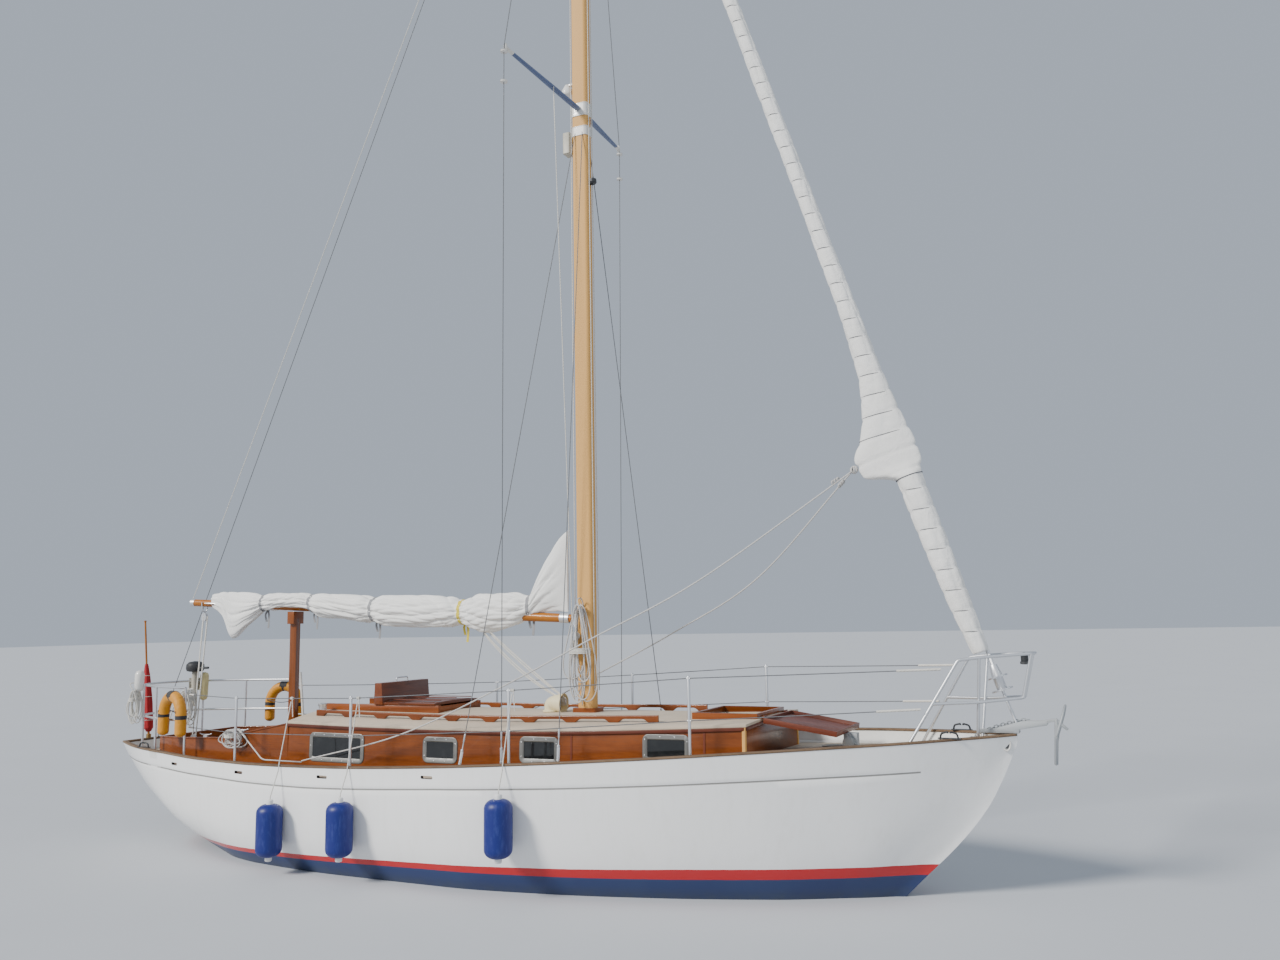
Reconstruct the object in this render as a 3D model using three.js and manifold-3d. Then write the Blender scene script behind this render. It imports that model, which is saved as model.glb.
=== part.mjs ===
// A long-keeled wooden sailing yacht, afloat at her mooring with her sails stowed.
// Millimetres, +X to the bow, +Y to port, +Z up, origin on the waterline amidships.
import * as THREE from "three";
import { mergeVertices } from "three/addons/utils/BufferGeometryUtils.js";
import Module from "manifold-3d";

const wasm = await Module();
wasm.setup();

// Driving dimensions
const GAP = 0.3; // between pieces that touch
const SHELL = 38; // bulwark thickness at the rail
const BULWARK = 110; // from the deck's edge to the rail
const DECK_THICKNESS = 24;
const DECK_CAMBER = 35;
const BALLAST_TOP = -1180;
const BALLAST_ENDS = [-2050, 1350]; // aft, forward
const RUDDER_HEEL = { x: -2300, z: -1500 }; // where the rudder's axis meets the heel
const RUDDER_RAKE = 0.5667; // aft run of the axis for each unit of height
const STOCK_RADIUS = 24;
const STOCK_PLAY = 1.2; // between the rudder stock and its tube
const TILLER_RADIUS = 22;
const SHAFT = { x: -2470, z: -850, rise: 0.3057, radius: 15 }; // propeller's centre, shaft's slope
const SHAFT_BORE = 16;
const ENGINE_BED = -690;
const TRUNK_WALL = 30;
const TRUNK_AFT = -2070;
const TRUNK_FRONT = 2613;
const TOP_THICKNESS = 22;
const MAST = { x: 800, foot: 1412, head: 13400, chord: 172, width: 122, taperFrom: 9800 };
const CAP = { width: 60, proud: 8, thickness: 20 }; // the rail's cap, proud of the planking
const GOOSENECK = { x: 668, z: 2275 };
const BOOM = { length: 4780, radius: 45, rise: 0.055, yaw: 3.2 }; // rise for each unit aft, yaw in degrees
const SPREADER = { z: 7400, tipZ: 7525, tipX: 640, tipY: 1180 };
const MAST_BAND = 66; // half-width of the iron bands at the shrouds and spreaders
const HOUNDS = 7150; // height of the lower shrouds' tangs
const FORESTAY = { x: 4622, z: 1350, slope: 3.184 };
const BACKSTAY = { x: -4892, z: 1008, slope: 2.2025 };
const WIRE = 4; // radius of a stay
const HATCHWAY = { front: -1345, y: 300 }; // the companionway's opening in the cabin top
const HATCH = { aft: -1315, front: -690, y: 375, seat: 1462, board: 1672 }; // as it lies, slid open
const SILL = 905; // height of the companionway's sill
const FORE_HATCH = { aft: 2010, front: 2600, y: 375, rim: 1450 };
const LID = { pinX: 2640, pinZ: 1424, clearance: 5, skirt: 12, plate: 16, opened: 189 }; // opened in degrees
const PUSHPIT_HEIGHT = 1628;
const TUMBLEHOME = 14; // lean-in of the coachroof's sides
const CROWN_STEPS = [-1, -0.75, -0.5, -0.25, 0, 0.25, 0.5, 0.75, 1]; // places across a crowned top

// Hull sections. Heights z and half-breadths y of the keel, the garboard, the bilge, the topside
// and the rail, with the aft lean of the section for each unit of height.
const SECTION_COLUMNS = ["x", "lean", "kz", "ky", "gz", "gy", "bz", "by", "tz", "ty", "rz", "ry"];
const SECTIONS = [
  [-4745, -0.45, 600, 60, 640, 225, 720, 335, 850, 398, 988, 430],
  [-4300, -0.2, 300, 40, 345, 240, 460, 470, 660, 590, 965, 652],
  [-3700, 0, -5, 40, 45, 230, 160, 560, 420, 805, 948, 865],
  [-3080, 0, -170, 40, -125, 200, 0, 680, 340, 985, 941, 1045],
  [-2960, 0, -290, 34, -190, 150, -30, 700, 320, 1010, 941, 1070],
  [-2650, 0, -830, 36, -420, 110, -110, 765, 290, 1090, 942, 1130],
  [-2260, 0, -1600, 50, -600, 150, -160, 835, 275, 1160, 944, 1200],
  [-1200, 0, -1600, 72, -700, 195, -220, 900, 255, 1235, 966, 1282],
  [0, 0, -1600, 76, -750, 190, -260, 885, 250, 1232, 1022, 1320],
  [1000, 0, -1540, 66, -760, 155, -280, 745, 250, 1125, 1082, 1278],
  [1900, 0, -1230, 50, -700, 120, -280, 545, 260, 925, 1140, 1165],
  [2700, 0, -800, 36, -520, 95, -220, 345, 280, 670, 1190, 970],
  [3350, 0, -330, 26, -200, 68, 0, 200, 400, 440, 1228, 750],
  [3836, 0, 143, 20, 235, 55, 400, 145, 700, 305, 1252, 535],
  [4174, 0, 484, 17, 560, 38, 690, 90, 910, 185, 1270, 345],
  [4381, 0, 749, 15, 800, 28, 890, 55, 1030, 105, 1280, 212],
  [4508, 0, 985, 14, 1010, 20, 1060, 32, 1150, 58, 1286, 120],
  [4620, 0, 1240, 12, 1250, 15, 1262, 20, 1276, 26, 1292, 34],
];

// Coachroof. Half-breadth at the top edge, that edge's height and the top's rise to its middle.
const TRUNK_COLUMNS = ["x", "y", "z", "crown"];
const TRUNK = [
  [TRUNK_AFT, 862, 1308, 88],
  [-1100, 898, 1298, 88],
  [0, 892, 1294, 84],
  [1000, 842, 1312, 72],
  [1900, 778, 1343, 34],
  [TRUNK_FRONT, 722, 1375, 15],
];

// Windows. Centre along x, centre height, width, height.
const WINDOWS = [
  [-1440, 1098, 640, 232],
  [-240, 1118, 335, 190],
  [772, 1146, 340, 190],
  [1938, 1190, 372, 190],
];

// Cockpit coaming. Half-breadth and height of its top edge, along x.
const COAMING = [
  [-4215, 540, 1076],
  [-3700, 655, 1090],
  [-3100, 765, 1120],
  [-2600, 825, 1205],
  [TRUNK_AFT - GAP, 872, 1300],
];
const COAMING_WALL = 26;
const SEAT = 640; // height of the cockpit's benches
const SOLE = 300; // height of the cockpit's floor

// Colour, roughness and metalness of each finish.
const FINISHES = {
  whitePaint: ["#f2f2ee", 0.25, 0],
  ironKeel: ["#1d2c55", 0.7, 0],
  deckPaint: ["#cfc3ac", 0.75, 0],
  varnish: ["#9a4a17", 0.3, 0],
  spruce: ["#cf8a35", 0.35, 0],
  teak: ["#8f7558", 0.8, 0],
  sail: ["#ece9e2", 0.9, 0],
  stainless: ["#c9ccd0", 0.25, 1],
  galvanised: ["#9aa0a3", 0.55, 1],
  bronze: ["#a07a3c", 0.4, 1],
  bluePaint: ["#46587c", 0.4, 0],
  fenderBlue: ["#16329a", 0.5, 0],
  buoyYellow: ["#e8a311", 0.7, 0],
  cream: ["#e9dfb4", 0.45, 0],
  glass: ["#15181d", 0.08, 0],
  ensignRed: ["#9c1f22", 0.85, 0],
  enginePaint: ["#50585c", 0.6, 0.2],
};

const yacht = new THREE.Group();

// Adds a solid or a geometry to the yacht as one named mesh.
function place(name, finish, shape) {
  const geometry = shape.isBufferGeometry ? shape : toGeometry(shape);
  const [color, roughness, metalness] = FINISHES[finish];
  const material = new THREE.MeshStandardMaterial({ color, roughness, metalness });
  const mesh = new THREE.Mesh(geometry, material);
  mesh.name = name;
  yacht.add(mesh);
  return mesh;
}

// Solids and geometries

function toSolid(geometry) {
  const bare = geometry.clone();
  bare.deleteAttribute("normal");
  bare.deleteAttribute("uv");
  const merged = mergeVertices(bare, 1e-3);
  const vertProperties = merged.attributes.position.array;
  const triVerts = new Uint32Array(merged.index.array);
  return new wasm.Manifold(new wasm.Mesh({ numProp: 3, vertProperties, triVerts }));
}

function toGeometry(solid) {
  const mesh = solid.getMesh();
  const geometry = new THREE.BufferGeometry();
  geometry.setAttribute("position", new THREE.BufferAttribute(mesh.vertProperties, 3));
  geometry.setIndex(new THREE.BufferAttribute(mesh.triVerts, 1));
  geometry.computeVertexNormals();
  return geometry;
}

function join(...solids) {
  return solids.reduce((sum, next) => sum.add(next));
}

function cut(solid, ...tools) {
  return tools.reduce((rest, tool) => rest.subtract(tool), solid);
}

// A solid turned about an axis through a point, by an angle in degrees.
function turned(solid, axis, degrees, centre = [0, 0, 0]) {
  const geometry = toGeometry(solid);
  geometry.translate(-centre[0], -centre[1], -centre[2]);
  const turn = new THREE.Matrix4().makeRotationAxis(
    new THREE.Vector3(...axis).normalize(),
    THREE.MathUtils.degToRad(degrees),
  );
  geometry.applyMatrix4(turn);
  geometry.translate(...centre);
  return toSolid(geometry);
}

function moved(solid, x, y, z) {
  return toSolid(toGeometry(solid).translate(x, y, z));
}

// The same solid on the other side of the centreline.
function mirrored(solid) {
  const geometry = toGeometry(solid).scale(1, -1, 1);
  const index = geometry.index.array;
  for (let i = 0; i < index.length; i += 3) [index[i], index[i + 1]] = [index[i + 1], index[i]];
  return toSolid(geometry);
}

function box(x0, x1, y0, y1, z0, z1) {
  const geometry = new THREE.BoxGeometry(x1 - x0, y1 - y0, z1 - z0);
  geometry.translate((x0 + x1) / 2, (y0 + y1) / 2, (z0 + z1) / 2);
  return toSolid(geometry);
}

// A round bar from one point to another, tapering from r0 to r1.
function rod(from, to, r0, r1 = r0, sides = 8) {
  const a = new THREE.Vector3(...from);
  const b = new THREE.Vector3(...to);
  const geometry = new THREE.CylinderGeometry(r1, r0, a.distanceTo(b), sides, 1);
  const turn = new THREE.Quaternion().setFromUnitVectors(
    new THREE.Vector3(0, 1, 0),
    b.clone().sub(a).normalize(),
  );
  geometry.applyQuaternion(turn);
  geometry.translate(...a.add(b).multiplyScalar(0.5).toArray());
  return toSolid(geometry);
}

// A round bar through a list of points, mitred at each bend.
function pipe(points, radius, sides = 6) {
  const at = points.map((point) => new THREE.Vector3(...point));
  const last = at.length - 1;
  const away = (i) => at[Math.min(i + 1, last)].clone().sub(at[Math.min(i, last - 1)]).normalize();
  const first = away(0);
  const up = Math.abs(first.z) > 0.8 ? new THREE.Vector3(1, 0, 0) : new THREE.Vector3(0, 0, 1);
  const side = new THREE.Vector3().crossVectors(up, first).normalize();
  const rings = at.map((centre, i) => {
    const before = away(Math.max(i - 1, 0));
    const after = away(i);
    const along = before.clone().add(after).normalize();
    side.addScaledVector(after, -side.dot(after)).normalize();
    const normal = new THREE.Vector3().crossVectors(after, side);
    return Array.from({ length: sides }, (_, k) => {
      const angle = (2 * Math.PI * k) / sides;
      const arm = side.clone().multiplyScalar(radius * Math.cos(angle));
      arm.addScaledVector(normal, radius * Math.sin(angle));
      // Each corner slides along the bar until it lies in the mitre's plane.
      arm.addScaledVector(after, -arm.dot(along) / after.dot(along));
      return centre.clone().add(arm).toArray();
    });
  });
  return loft(rings);
}

// A bent tube along a smooth curve through the points.
function bentTube(points, radius, steps, sides = 8) {
  const section = new THREE.Shape(new THREE.EllipseCurve(0, 0, radius, radius).getPoints(sides));
  const path = new THREE.CatmullRomCurve3(points.map((point) => new THREE.Vector3(...point)));
  path.curveType = "centripetal";
  return toSolid(
    new THREE.ExtrudeGeometry(section, { steps, extrudePath: path, bevelEnabled: false }),
  );
}

// A flat outline in the XZ plane, as thick as y0 to y1.
function sidePlate(outline, y0, y1) {
  const shape = new THREE.Shape(outline.map(([x, z]) => new THREE.Vector2(x, z)));
  const geometry = new THREE.ExtrudeGeometry(shape, { depth: y1 - y0, bevelEnabled: false });
  geometry.rotateX(Math.PI / 2);
  geometry.translate(0, y1, 0);
  return toSolid(geometry);
}

// A turned shape about a vertical axis at x, y, from a profile of [radius, height].
function turning(profile, x, y, sides = 16) {
  const geometry = new THREE.LatheGeometry(profile.map((p) => new THREE.Vector2(...p)), sides);
  geometry.rotateX(Math.PI / 2);
  geometry.translate(x, y, 0);
  return toSolid(geometry);
}

// A closed skin over rings that all have the same number of points, with flat ends.
function loft(rings) {
  const count = rings[0].length;
  const positions = rings.flat(2);
  const index = [];
  for (let r = 0; r < rings.length - 1; r += 1) {
    for (let i = 0; i < count; i += 1) {
      const a = r * count + i;
      const b = r * count + ((i + 1) % count);
      index.push(a, b, b + count, a, b + count, a + count);
    }
  }
  const last = (rings.length - 1) * count;
  for (const [a, b, c] of endFaces(rings[0])) index.push(a, b, c);
  for (const [a, b, c] of endFaces(rings[rings.length - 1])) index.push(last + a, last + c, last + b);
  const geometry = new THREE.BufferGeometry();
  geometry.setAttribute("position", new THREE.Float32BufferAttribute(positions, 3));
  geometry.setIndex(index);
  return outward(geometry);
}

// Triangles of a flat ring, wound against the ring's own direction.
function endFaces(ring) {
  const normal = new THREE.Vector3();
  ring.forEach((p, i) => {
    const q = ring[(i + 1) % ring.length];
    normal.x += (p[1] - q[1]) * (p[2] + q[2]);
    normal.y += (p[2] - q[2]) * (p[0] + q[0]);
    normal.z += (p[0] - q[0]) * (p[1] + q[1]);
  });
  const flatten = new THREE.Quaternion().setFromUnitVectors(
    normal.normalize(),
    new THREE.Vector3(0, 0, 1),
  );
  const outline = ring.map((p) => {
    const v = new THREE.Vector3(...p).applyQuaternion(flatten);
    return new THREE.Vector2(v.x, v.y);
  });
  return THREE.ShapeUtils.triangulateShape(outline, []).map(([a, b, c]) => {
    const [p, q, r] = [outline[a], outline[b], outline[c]];
    const area = (q.x - p.x) * (r.y - p.y) - (q.y - p.y) * (r.x - p.x);
    return area > 0 ? [a, c, b] : [a, b, c];
  });
}

// A geometry as a solid, turned inside out if its faces point inwards.
function outward(geometry) {
  const p = geometry.attributes.position;
  const index = geometry.index.array;
  const [a, b, c] = [new THREE.Vector3(), new THREE.Vector3(), new THREE.Vector3()];
  let volume = 0;
  for (let i = 0; i < index.length; i += 3) {
    a.fromBufferAttribute(p, index[i]);
    b.fromBufferAttribute(p, index[i + 1]);
    c.fromBufferAttribute(p, index[i + 2]);
    volume += a.dot(b.cross(c));
  }
  if (volume < 0) {
    for (let i = 0; i < index.length; i += 3) [index[i], index[i + 1]] = [index[i + 1], index[i]];
  }
  return toSolid(geometry);
}

// A table's row at any x, by a smooth curve through the rows that never overshoots them.
function rowAt(table, columns, x) {
  const last = table.length - 1;
  let i = 0;
  while (i < last - 1 && x > table[i + 1][0]) i += 1;
  const t = (x - table[i][0]) / (table[i + 1][0] - table[i][0]);
  const span = table[i + 1][0] - table[i][0];
  const row = {};
  columns.forEach((name, c) => {
    const rise = (k) => (table[k + 1][c] - table[k][c]) / (table[k + 1][0] - table[k][0]);
    const slope = (k) => {
      const [before, after] = [rise(Math.max(k - 1, 0)), rise(Math.min(k, last - 1))];
      return before * after > 0 ? (2 * before * after) / (before + after) : 0;
    };
    const [p, q, m, n] = [table[i][c], table[i + 1][c], slope(i) * span, slope(i + 1) * span];
    row[name] = (2 * p - 2 * q + m + n) * t ** 3 + (3 * q - 3 * p - 2 * m - n) * t ** 2 + m * t + p;
  });
  return row;
}

const sectionAt = (x) => rowAt(SECTIONS, SECTION_COLUMNS, x);
const trunkAt = (x) => rowAt(TRUNK, TRUNK_COLUMNS, x);

// Height of the cabin top's upper face.
function topZ(x, y = 0) {
  const edge = trunkAt(x);
  return edge.z + TOP_THICKNESS + edge.crown * (1 - (y / edge.y) ** 2);
}

// Half-breadths and heights up one side of a hull section, from the keel to the rail.
function sideCurve(section) {
  const { kz, ky, gz, gy, bz, by, tz, ty, rz, ry } = section;
  const points = [[ky, kz], [gy, gz], [by, bz], [ty, tz], [ry, rz]];
  const curve = new THREE.SplineCurve(points.map((p) => new THREE.Vector2(...p)));
  return curve.getPoints(12);
}

// Half-breadth of a hull section at a height.
function halfBreadth(section, z) {
  const side = sideCurve(section);
  let i = 0;
  while (i < side.length - 2 && side[i + 1].y < z) i += 1;
  const t = (z - side[i].y) / (side[i + 1].y - side[i].y);
  return THREE.MathUtils.lerp(side[i].x, side[i + 1].x, t);
}

function stations(from, to, count) {
  return Array.from({ length: count + 1 }, (_, i) => from + ((to - from) * i) / count);
}

// The sections that the hull is drawn from: each row, and one between rows that lie far apart.
const HULL_STATIONS = SECTIONS.flatMap((row, i) => {
  const next = SECTIONS[i + 1];
  return next && next[0] - row[0] > 400 ? [row[0], (row[0] + next[0]) / 2] : [row[0]];
});

// Half-breadth of the planked skin, straight between its sections.
function skinY(x, z) {
  let i = 0;
  while (HULL_STATIONS[i + 1] < x) i += 1;
  const [a, b] = [HULL_STATIONS[i], HULL_STATIONS[i + 1]];
  return THREE.MathUtils.lerp(halfBreadth(sectionAt(a), z), halfBreadth(sectionAt(b), z), (x - a) / (b - a));
}

// A point's place along x on a leaning section.
const leaned = (section, x, z) => x + section.lean * (z - section.kz);

// The rail's line and the deck's edge: x, half-breadth and height at each section.
const RAIL_LINE = HULL_STATIONS.map((x) => {
  const section = sectionAt(x);
  return [leaned(section, x, section.rz), section.ry, section.rz];
});
const DECK_STATIONS = [-4700, ...HULL_STATIONS.slice(1, -2), 4470];
const DECK_LINE = DECK_STATIONS.map((x) => {
  const section = sectionAt(x);
  const z = section.rz - BULWARK;
  return [leaned(section, x, z), halfBreadth(section, z) - SHELL, z];
});

// A column of such a line at any x, straight between its points.
function alongLine(line, x, column) {
  let i = 0;
  while (i < line.length - 2 && line[i + 1][0] < x) i += 1;
  const t = (x - line[i][0]) / (line[i + 1][0] - line[i][0]);
  return THREE.MathUtils.lerp(line[i][column], line[i + 1][column], t);
}

const railY = (x) => alongLine(RAIL_LINE, x, 1);
const railZ = (x) => alongLine(RAIL_LINE, x, 2);
const deckY = (x) => alongLine(DECK_LINE, x, 1);
const deckZ = (x) => alongLine(DECK_LINE, x, 2);

// Hull, ballast and deck

function hullLoft() {
  return loft(HULL_STATIONS.map((x) => {
    const section = sectionAt(x);
    const side = sideCurve(section);
    const at = (y, z) => [leaned(section, x, z), y, z];
    const port = side.map((p) => at(p.x, p.y));
    const starboard = side.map((p) => at(-p.x, p.y)).reverse();
    return [...port, ...starboard];
  }));
}

// The space inside the bulwarks, open at the top, down to a depth below the deck's face.
function deckSpace(depth) {
  return loft(DECK_STATIONS.map((x) => {
    const section = sectionAt(x);
    const edge = section.rz - BULWARK;
    const [yd, yr] = [halfBreadth(section, edge) - SHELL, section.ry - SHELL];
    const [xd, xr] = [leaned(section, x, edge), leaned(section, x, section.rz)];
    const [z, crown] = [edge - depth, deckCrown(yd)];
    const top = section.rz + 300;
    return [
      [xd, -yd, z], [xd, 0, z + crown], [xd, yd, z], [xr, yr, section.rz],
      [xr, yr, top], [xr, -yr, top], [xr, -yr, section.rz],
    ];
  }));
}

const deckCrown = (halfWidth) => (DECK_CAMBER * halfWidth) / 1300;

// A layer that follows the deck's face, between two heights above it, out to an inset.
function deckLayer(low, high, inset) {
  return loft(DECK_LINE.map(([station, edge, z], i) => {
    const x = station + (i === 0 ? inset : i === DECK_LINE.length - 1 ? -inset : 0);
    const y = Math.max(edge - inset, 5);
    const [crown, side] = [z + deckCrown(edge), z + deckCrown(edge) * (1 - y / edge)];
    return [
      [x, -y, side + low], [x, 0, crown + low], [x, y, side + low],
      [x, y, side + high], [x, 0, crown + high], [x, -y, side + high],
    ];
  }));
}

// A fitting that stands on the deck, cut off at the deck's face.
const DECK_BODY = deckLayer(-500, GAP, -60);
const onDeck = (solid) => cut(solid, DECK_BODY);

// A tapering box along x: rows of x, half-breadth, floor and ceiling.
function well(rows) {
  return loft(rows.map(([x, y, z0, z1]) => [[x, -y, z0], [x, y, z0], [x, y, z1], [x, -y, z1]]));
}

const axisX = (z) => RUDDER_HEEL.x - (z - RUDDER_HEEL.z) * RUDDER_RAKE;

// The space behind the sternpost and the propeller's aperture.
function rudderSpace() {
  const back = 41; // from the axis forward to the sternpost's face
  const behind = [[axisX(-1545) + back, -1545], [axisX(-205) + back, -205], [-3700, -205], [-3700, -1545]];
  const aperture = [[-2385, -1085], [axisX(-1085), -1085], [axisX(-620), -620], [-2385, -620]];
  return join(sidePlate(behind, -400, 400), sidePlate(aperture, -400, 400));
}

function makeHull() {
  const skin = hullLoft();
  const [aft, front] = BALLAST_ENDS;
  const iron = box(aft, front, -400, 400, -1700, BALLAST_TOP);
  place("ballast_keel", "ironKeel", skin.intersect(iron));
  const ironSpace = box(aft - GAP, front + GAP, -401, 401, -1701, BALLAST_TOP + GAP);
  const cabin = well([
    [-2030, 760, 230, 1500],
    [0, 790, 230, 1500],
    [1700, 620, 330, 1500],
    [2500, 480, 480, 1500],
  ]);
  const bilge = well([[-1960, 215, -480, 300], [1500, 215, -480, 300]]);
  const engineBed = well([[-1860, 175, ENGINE_BED, -400], [-1000, 175, ENGINE_BED, -400]]);
  const seats = well([[-4150, 490, SEAT, 1500], [-2105, 740, SEAT, 1500]]);
  const footWell = well([[-3850, 328, SOLE, 700], [-2180, 328, SOLE, 700]]);
  const shaftBore = rod(shaftPoint(-2600), shaftPoint(-1800), SHAFT_BORE, SHAFT_BORE, 12);
  const trunkRadius = STOCK_RADIUS + STOCK_PLAY;
  const stockBore = rod([axisX(-400), 0, -400], [axisX(700), 0, 700], trunkRadius, trunkRadius, 16);
  const past = -160; // past the deck's edge, out through the planking
  const far = 3000; // clear of the hull, above it or below it
  const [under, over] = [-DECK_THICKNESS - 30, -10]; // a layer round the deck plate's own
  const above = deckLayer(-DECK_THICKNESS - GAP, far, past);
  const below = deckLayer(-far, -DECK_THICKNESS, past);
  const onDecking = deckSpace(DECK_THICKNESS + GAP);
  const hull = cut(skin, ironSpace, rudderSpace(), onDecking, above);
  place("hull", "whitePaint", cut(hull, cabin, bilge, engineBed, seats, footWell, shaftBore, stockBore));
  place("bulwark", "whitePaint", cut(skin, onDecking, deckLayer(under, over, 0), below));
}

const shaftPoint = (x) => [x, 0, SHAFT.z + (x - SHAFT.x) * SHAFT.rise];

function makeDeck() {
  const plate = deckLayer(-DECK_THICKNESS, 0, GAP);
  const cabin = well([
    [TRUNK_AFT + 20, 800, 500, 1500],
    [0, 820, 500, 1500],
    [TRUNK_FRONT - 60, 640, 500, 1500],
  ]);
  const cockpit = well([[-4150, 490, 500, 1500], [-2105, 740, 500, 1500]]);
  place("deck", "deckPaint", cut(plate, cabin, cockpit));
}

// The varnished cap along the top of the bulwarks, round the transom.
function makeRailCap() {
  const { width, proud, thickness } = CAP;
  const section = (x, inner, outer, z, low = GAP) => [
    [x, inner, z + low], [x, outer, z + low], [x, outer, z + thickness], [x, inner, z + thickness],
  ];
  const side = (sign) => loft(RAIL_LINE.slice(0, -1).map(([x, y, z]) => {
    const outer = y + proud;
    return section(x, sign * Math.max(outer - width, 4), sign * outer, z);
  }));
  const [sternX, sternY, sternZ] = RAIL_LINE[0];
  const [sternAft, sternHalf] = [sternX - 6, sternY + proud];
  const stern = box(sternAft, sternAft + width, -sternHalf, sternHalf, sternZ + GAP, sternZ + thickness);
  const bowLow = 1; // the stem leans, so the cap's floor there is a little higher
  const bow = loft(RAIL_LINE.slice(-2).map(([x, y, z], i) => {
    return section(x + 10 * i, -y - proud, y + proud, z, bowLow);
  }));
  place("rail_cap", "teak", join(side(1), side(-1), stern, bow));
}

// Coachroof

// The coachroof's block inside its sides, with its top along the crown or well above it.
function trunkBlock(inset, lift) {
  const inner = stations(TRUNK_AFT, TRUNK_FRONT, 10).slice(1, -1);
  return loft([TRUNK_AFT + inset, ...inner, TRUNK_FRONT - inset].map((x) => {
    const { y, z, crown } = trunkAt(x);
    const foot = y + TUMBLEHOME - inset;
    const arch = CROWN_STEPS.map((t) => {
      const across = t * (y - inset);
      return [x, across, z + lift + crown * (1 - (across / y) ** 2)];
    });
    return [[x, foot, deckZ(x) - 30], [x, -foot, deckZ(x) - 30], ...arch];
  }));
}

function windowHole(x, z, w, h, depth) {
  const r = 30;
  const shape = new THREE.Shape();
  const [a, b] = [w / 2, h / 2];
  shape.moveTo(-a + r, -b);
  shape.lineTo(a - r, -b);
  shape.quadraticCurveTo(a, -b, a, -b + r);
  shape.lineTo(a, b - r);
  shape.quadraticCurveTo(a, b, a - r, b);
  shape.lineTo(-a + r, b);
  shape.quadraticCurveTo(-a, b, -a, b - r);
  shape.lineTo(-a, -b + r);
  shape.quadraticCurveTo(-a, -b, -a + r, -b);
  const geometry = new THREE.ExtrudeGeometry(shape, { depth, bevelEnabled: false, curveSegments: 2 });
  geometry.rotateX(Math.PI / 2);
  geometry.translate(x, 0, z);
  return geometry;
}

// The hole of a window through the port side, or of one that is larger by a margin.
const windowPrism = ([x, z, w, h], margin) => toSolid(
  windowHole(x, z, w + 2 * margin, h + 2 * margin, 400).translate(0, 1050, 0),
);

function makeTrunk() {
  const holes = WINDOWS.flatMap((row) => [windowPrism(row, 0), mirrored(windowPrism(row, 0))]);
  const companionway = box(TRUNK_AFT - 50, TRUNK_AFT + 80, -HATCHWAY.y, HATCHWAY.y, SILL, 1500);
  const walls = cut(trunkBlock(0, 0), trunkBlock(TRUNK_WALL, 200), ...holes, companionway);
  place("cabin_trunk", "varnish", onDeck(cut(walls, box(-2500, 3000, -700, 700, 500, 860))));
}

// A window: a pane that closes its hole, with a frame on the outer face.
function makeWindows() {
  WINDOWS.forEach((row, i) => {
    const frame = cut(windowPrism(row, 20).intersect(trunkBlock(-8, 100)), windowPrism(row, -24));
    const onFace = cut(frame, trunkBlock(-GAP, 100));
    const pane = cut(windowPrism(row, -GAP).intersect(trunkBlock(-2, 100)), trunkBlock(14, 100));
    const solid = join(onFace, pane);
    place("window_port_" + (i + 1), "glass", solid);
    place("window_stbd_" + (i + 1), "glass", mirrored(solid));
  });
}

// A layer along the crown of the cabin top, between two heights above the coachroof's edge.
function crownLayer(low, high, overhang) {
  const inner = stations(TRUNK_AFT, TRUNK_FRONT, 10).slice(1, -1);
  return loft([TRUNK_AFT - overhang, ...inner, TRUNK_FRONT + overhang].map((x) => {
    const edge = trunkAt(x);
    const arch = CROWN_STEPS.map((t) => {
      const rise = edge.crown * (1 - t ** 2);
      return [x, t * (edge.y + overhang), edge.z + rise];
    });
    const under = arch.map(([px, py, pz]) => [px, py, low === null ? 1000 : pz + low]);
    const upper = arch.map(([px, py, pz]) => [px, py, pz + high]).reverse();
    return [...under, ...upper];
  }));
}

function makeCabinTop() {
  const hatchway = box(TRUNK_AFT - 60, HATCHWAY.front, -HATCHWAY.y, HATCHWAY.y, 1200, 1600);
  const foreHatchway = box(FORE_HATCH.aft + 45, FORE_HATCH.front - 45, -330, 330, 1200, 1600);
  place("cabin_top", "deckPaint", cut(crownLayer(GAP, TOP_THICKNESS, 12), hatchway, foreHatchway));
}

// A fitting that stands on the cabin top, cut off at its face.
const CABIN_BODY = crownLayer(null, TOP_THICKNESS + GAP, 12);
const onCabinTop = (solid) => cut(solid, CABIN_BODY);

function makeHandrails() {
  const rail = (sign) => {
    const line = stations(-1900, 1780, 9);
    const yAt = (x) => sign * (trunkAt(x).y - 215);
    const foot = (x) => box(x - 45, x + 45, -16, 16, 1200, topZ(x, yAt(x)) + 45);
    const bar = loft(line.map((x) => {
      const [y, z] = [yAt(x), topZ(x, yAt(x))];
      return [[x, y - 14, z + 28], [x, y + 14, z + 28], [x, y + 14, z + 62], [x, y - 14, z + 62]];
    }));
    const feet = line.map((x, i) => {
      const inward = i === 0 ? 46 : i === line.length - 1 ? -46 : 0;
      return moved(foot(x + inward), 0, yAt(x + inward), 0);
    });
    return onCabinTop(join(bar, ...feet));
  };
  place("handrail_port", "varnish", rail(1));
  place("handrail_stbd", "varnish", rail(-1));
}

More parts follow.
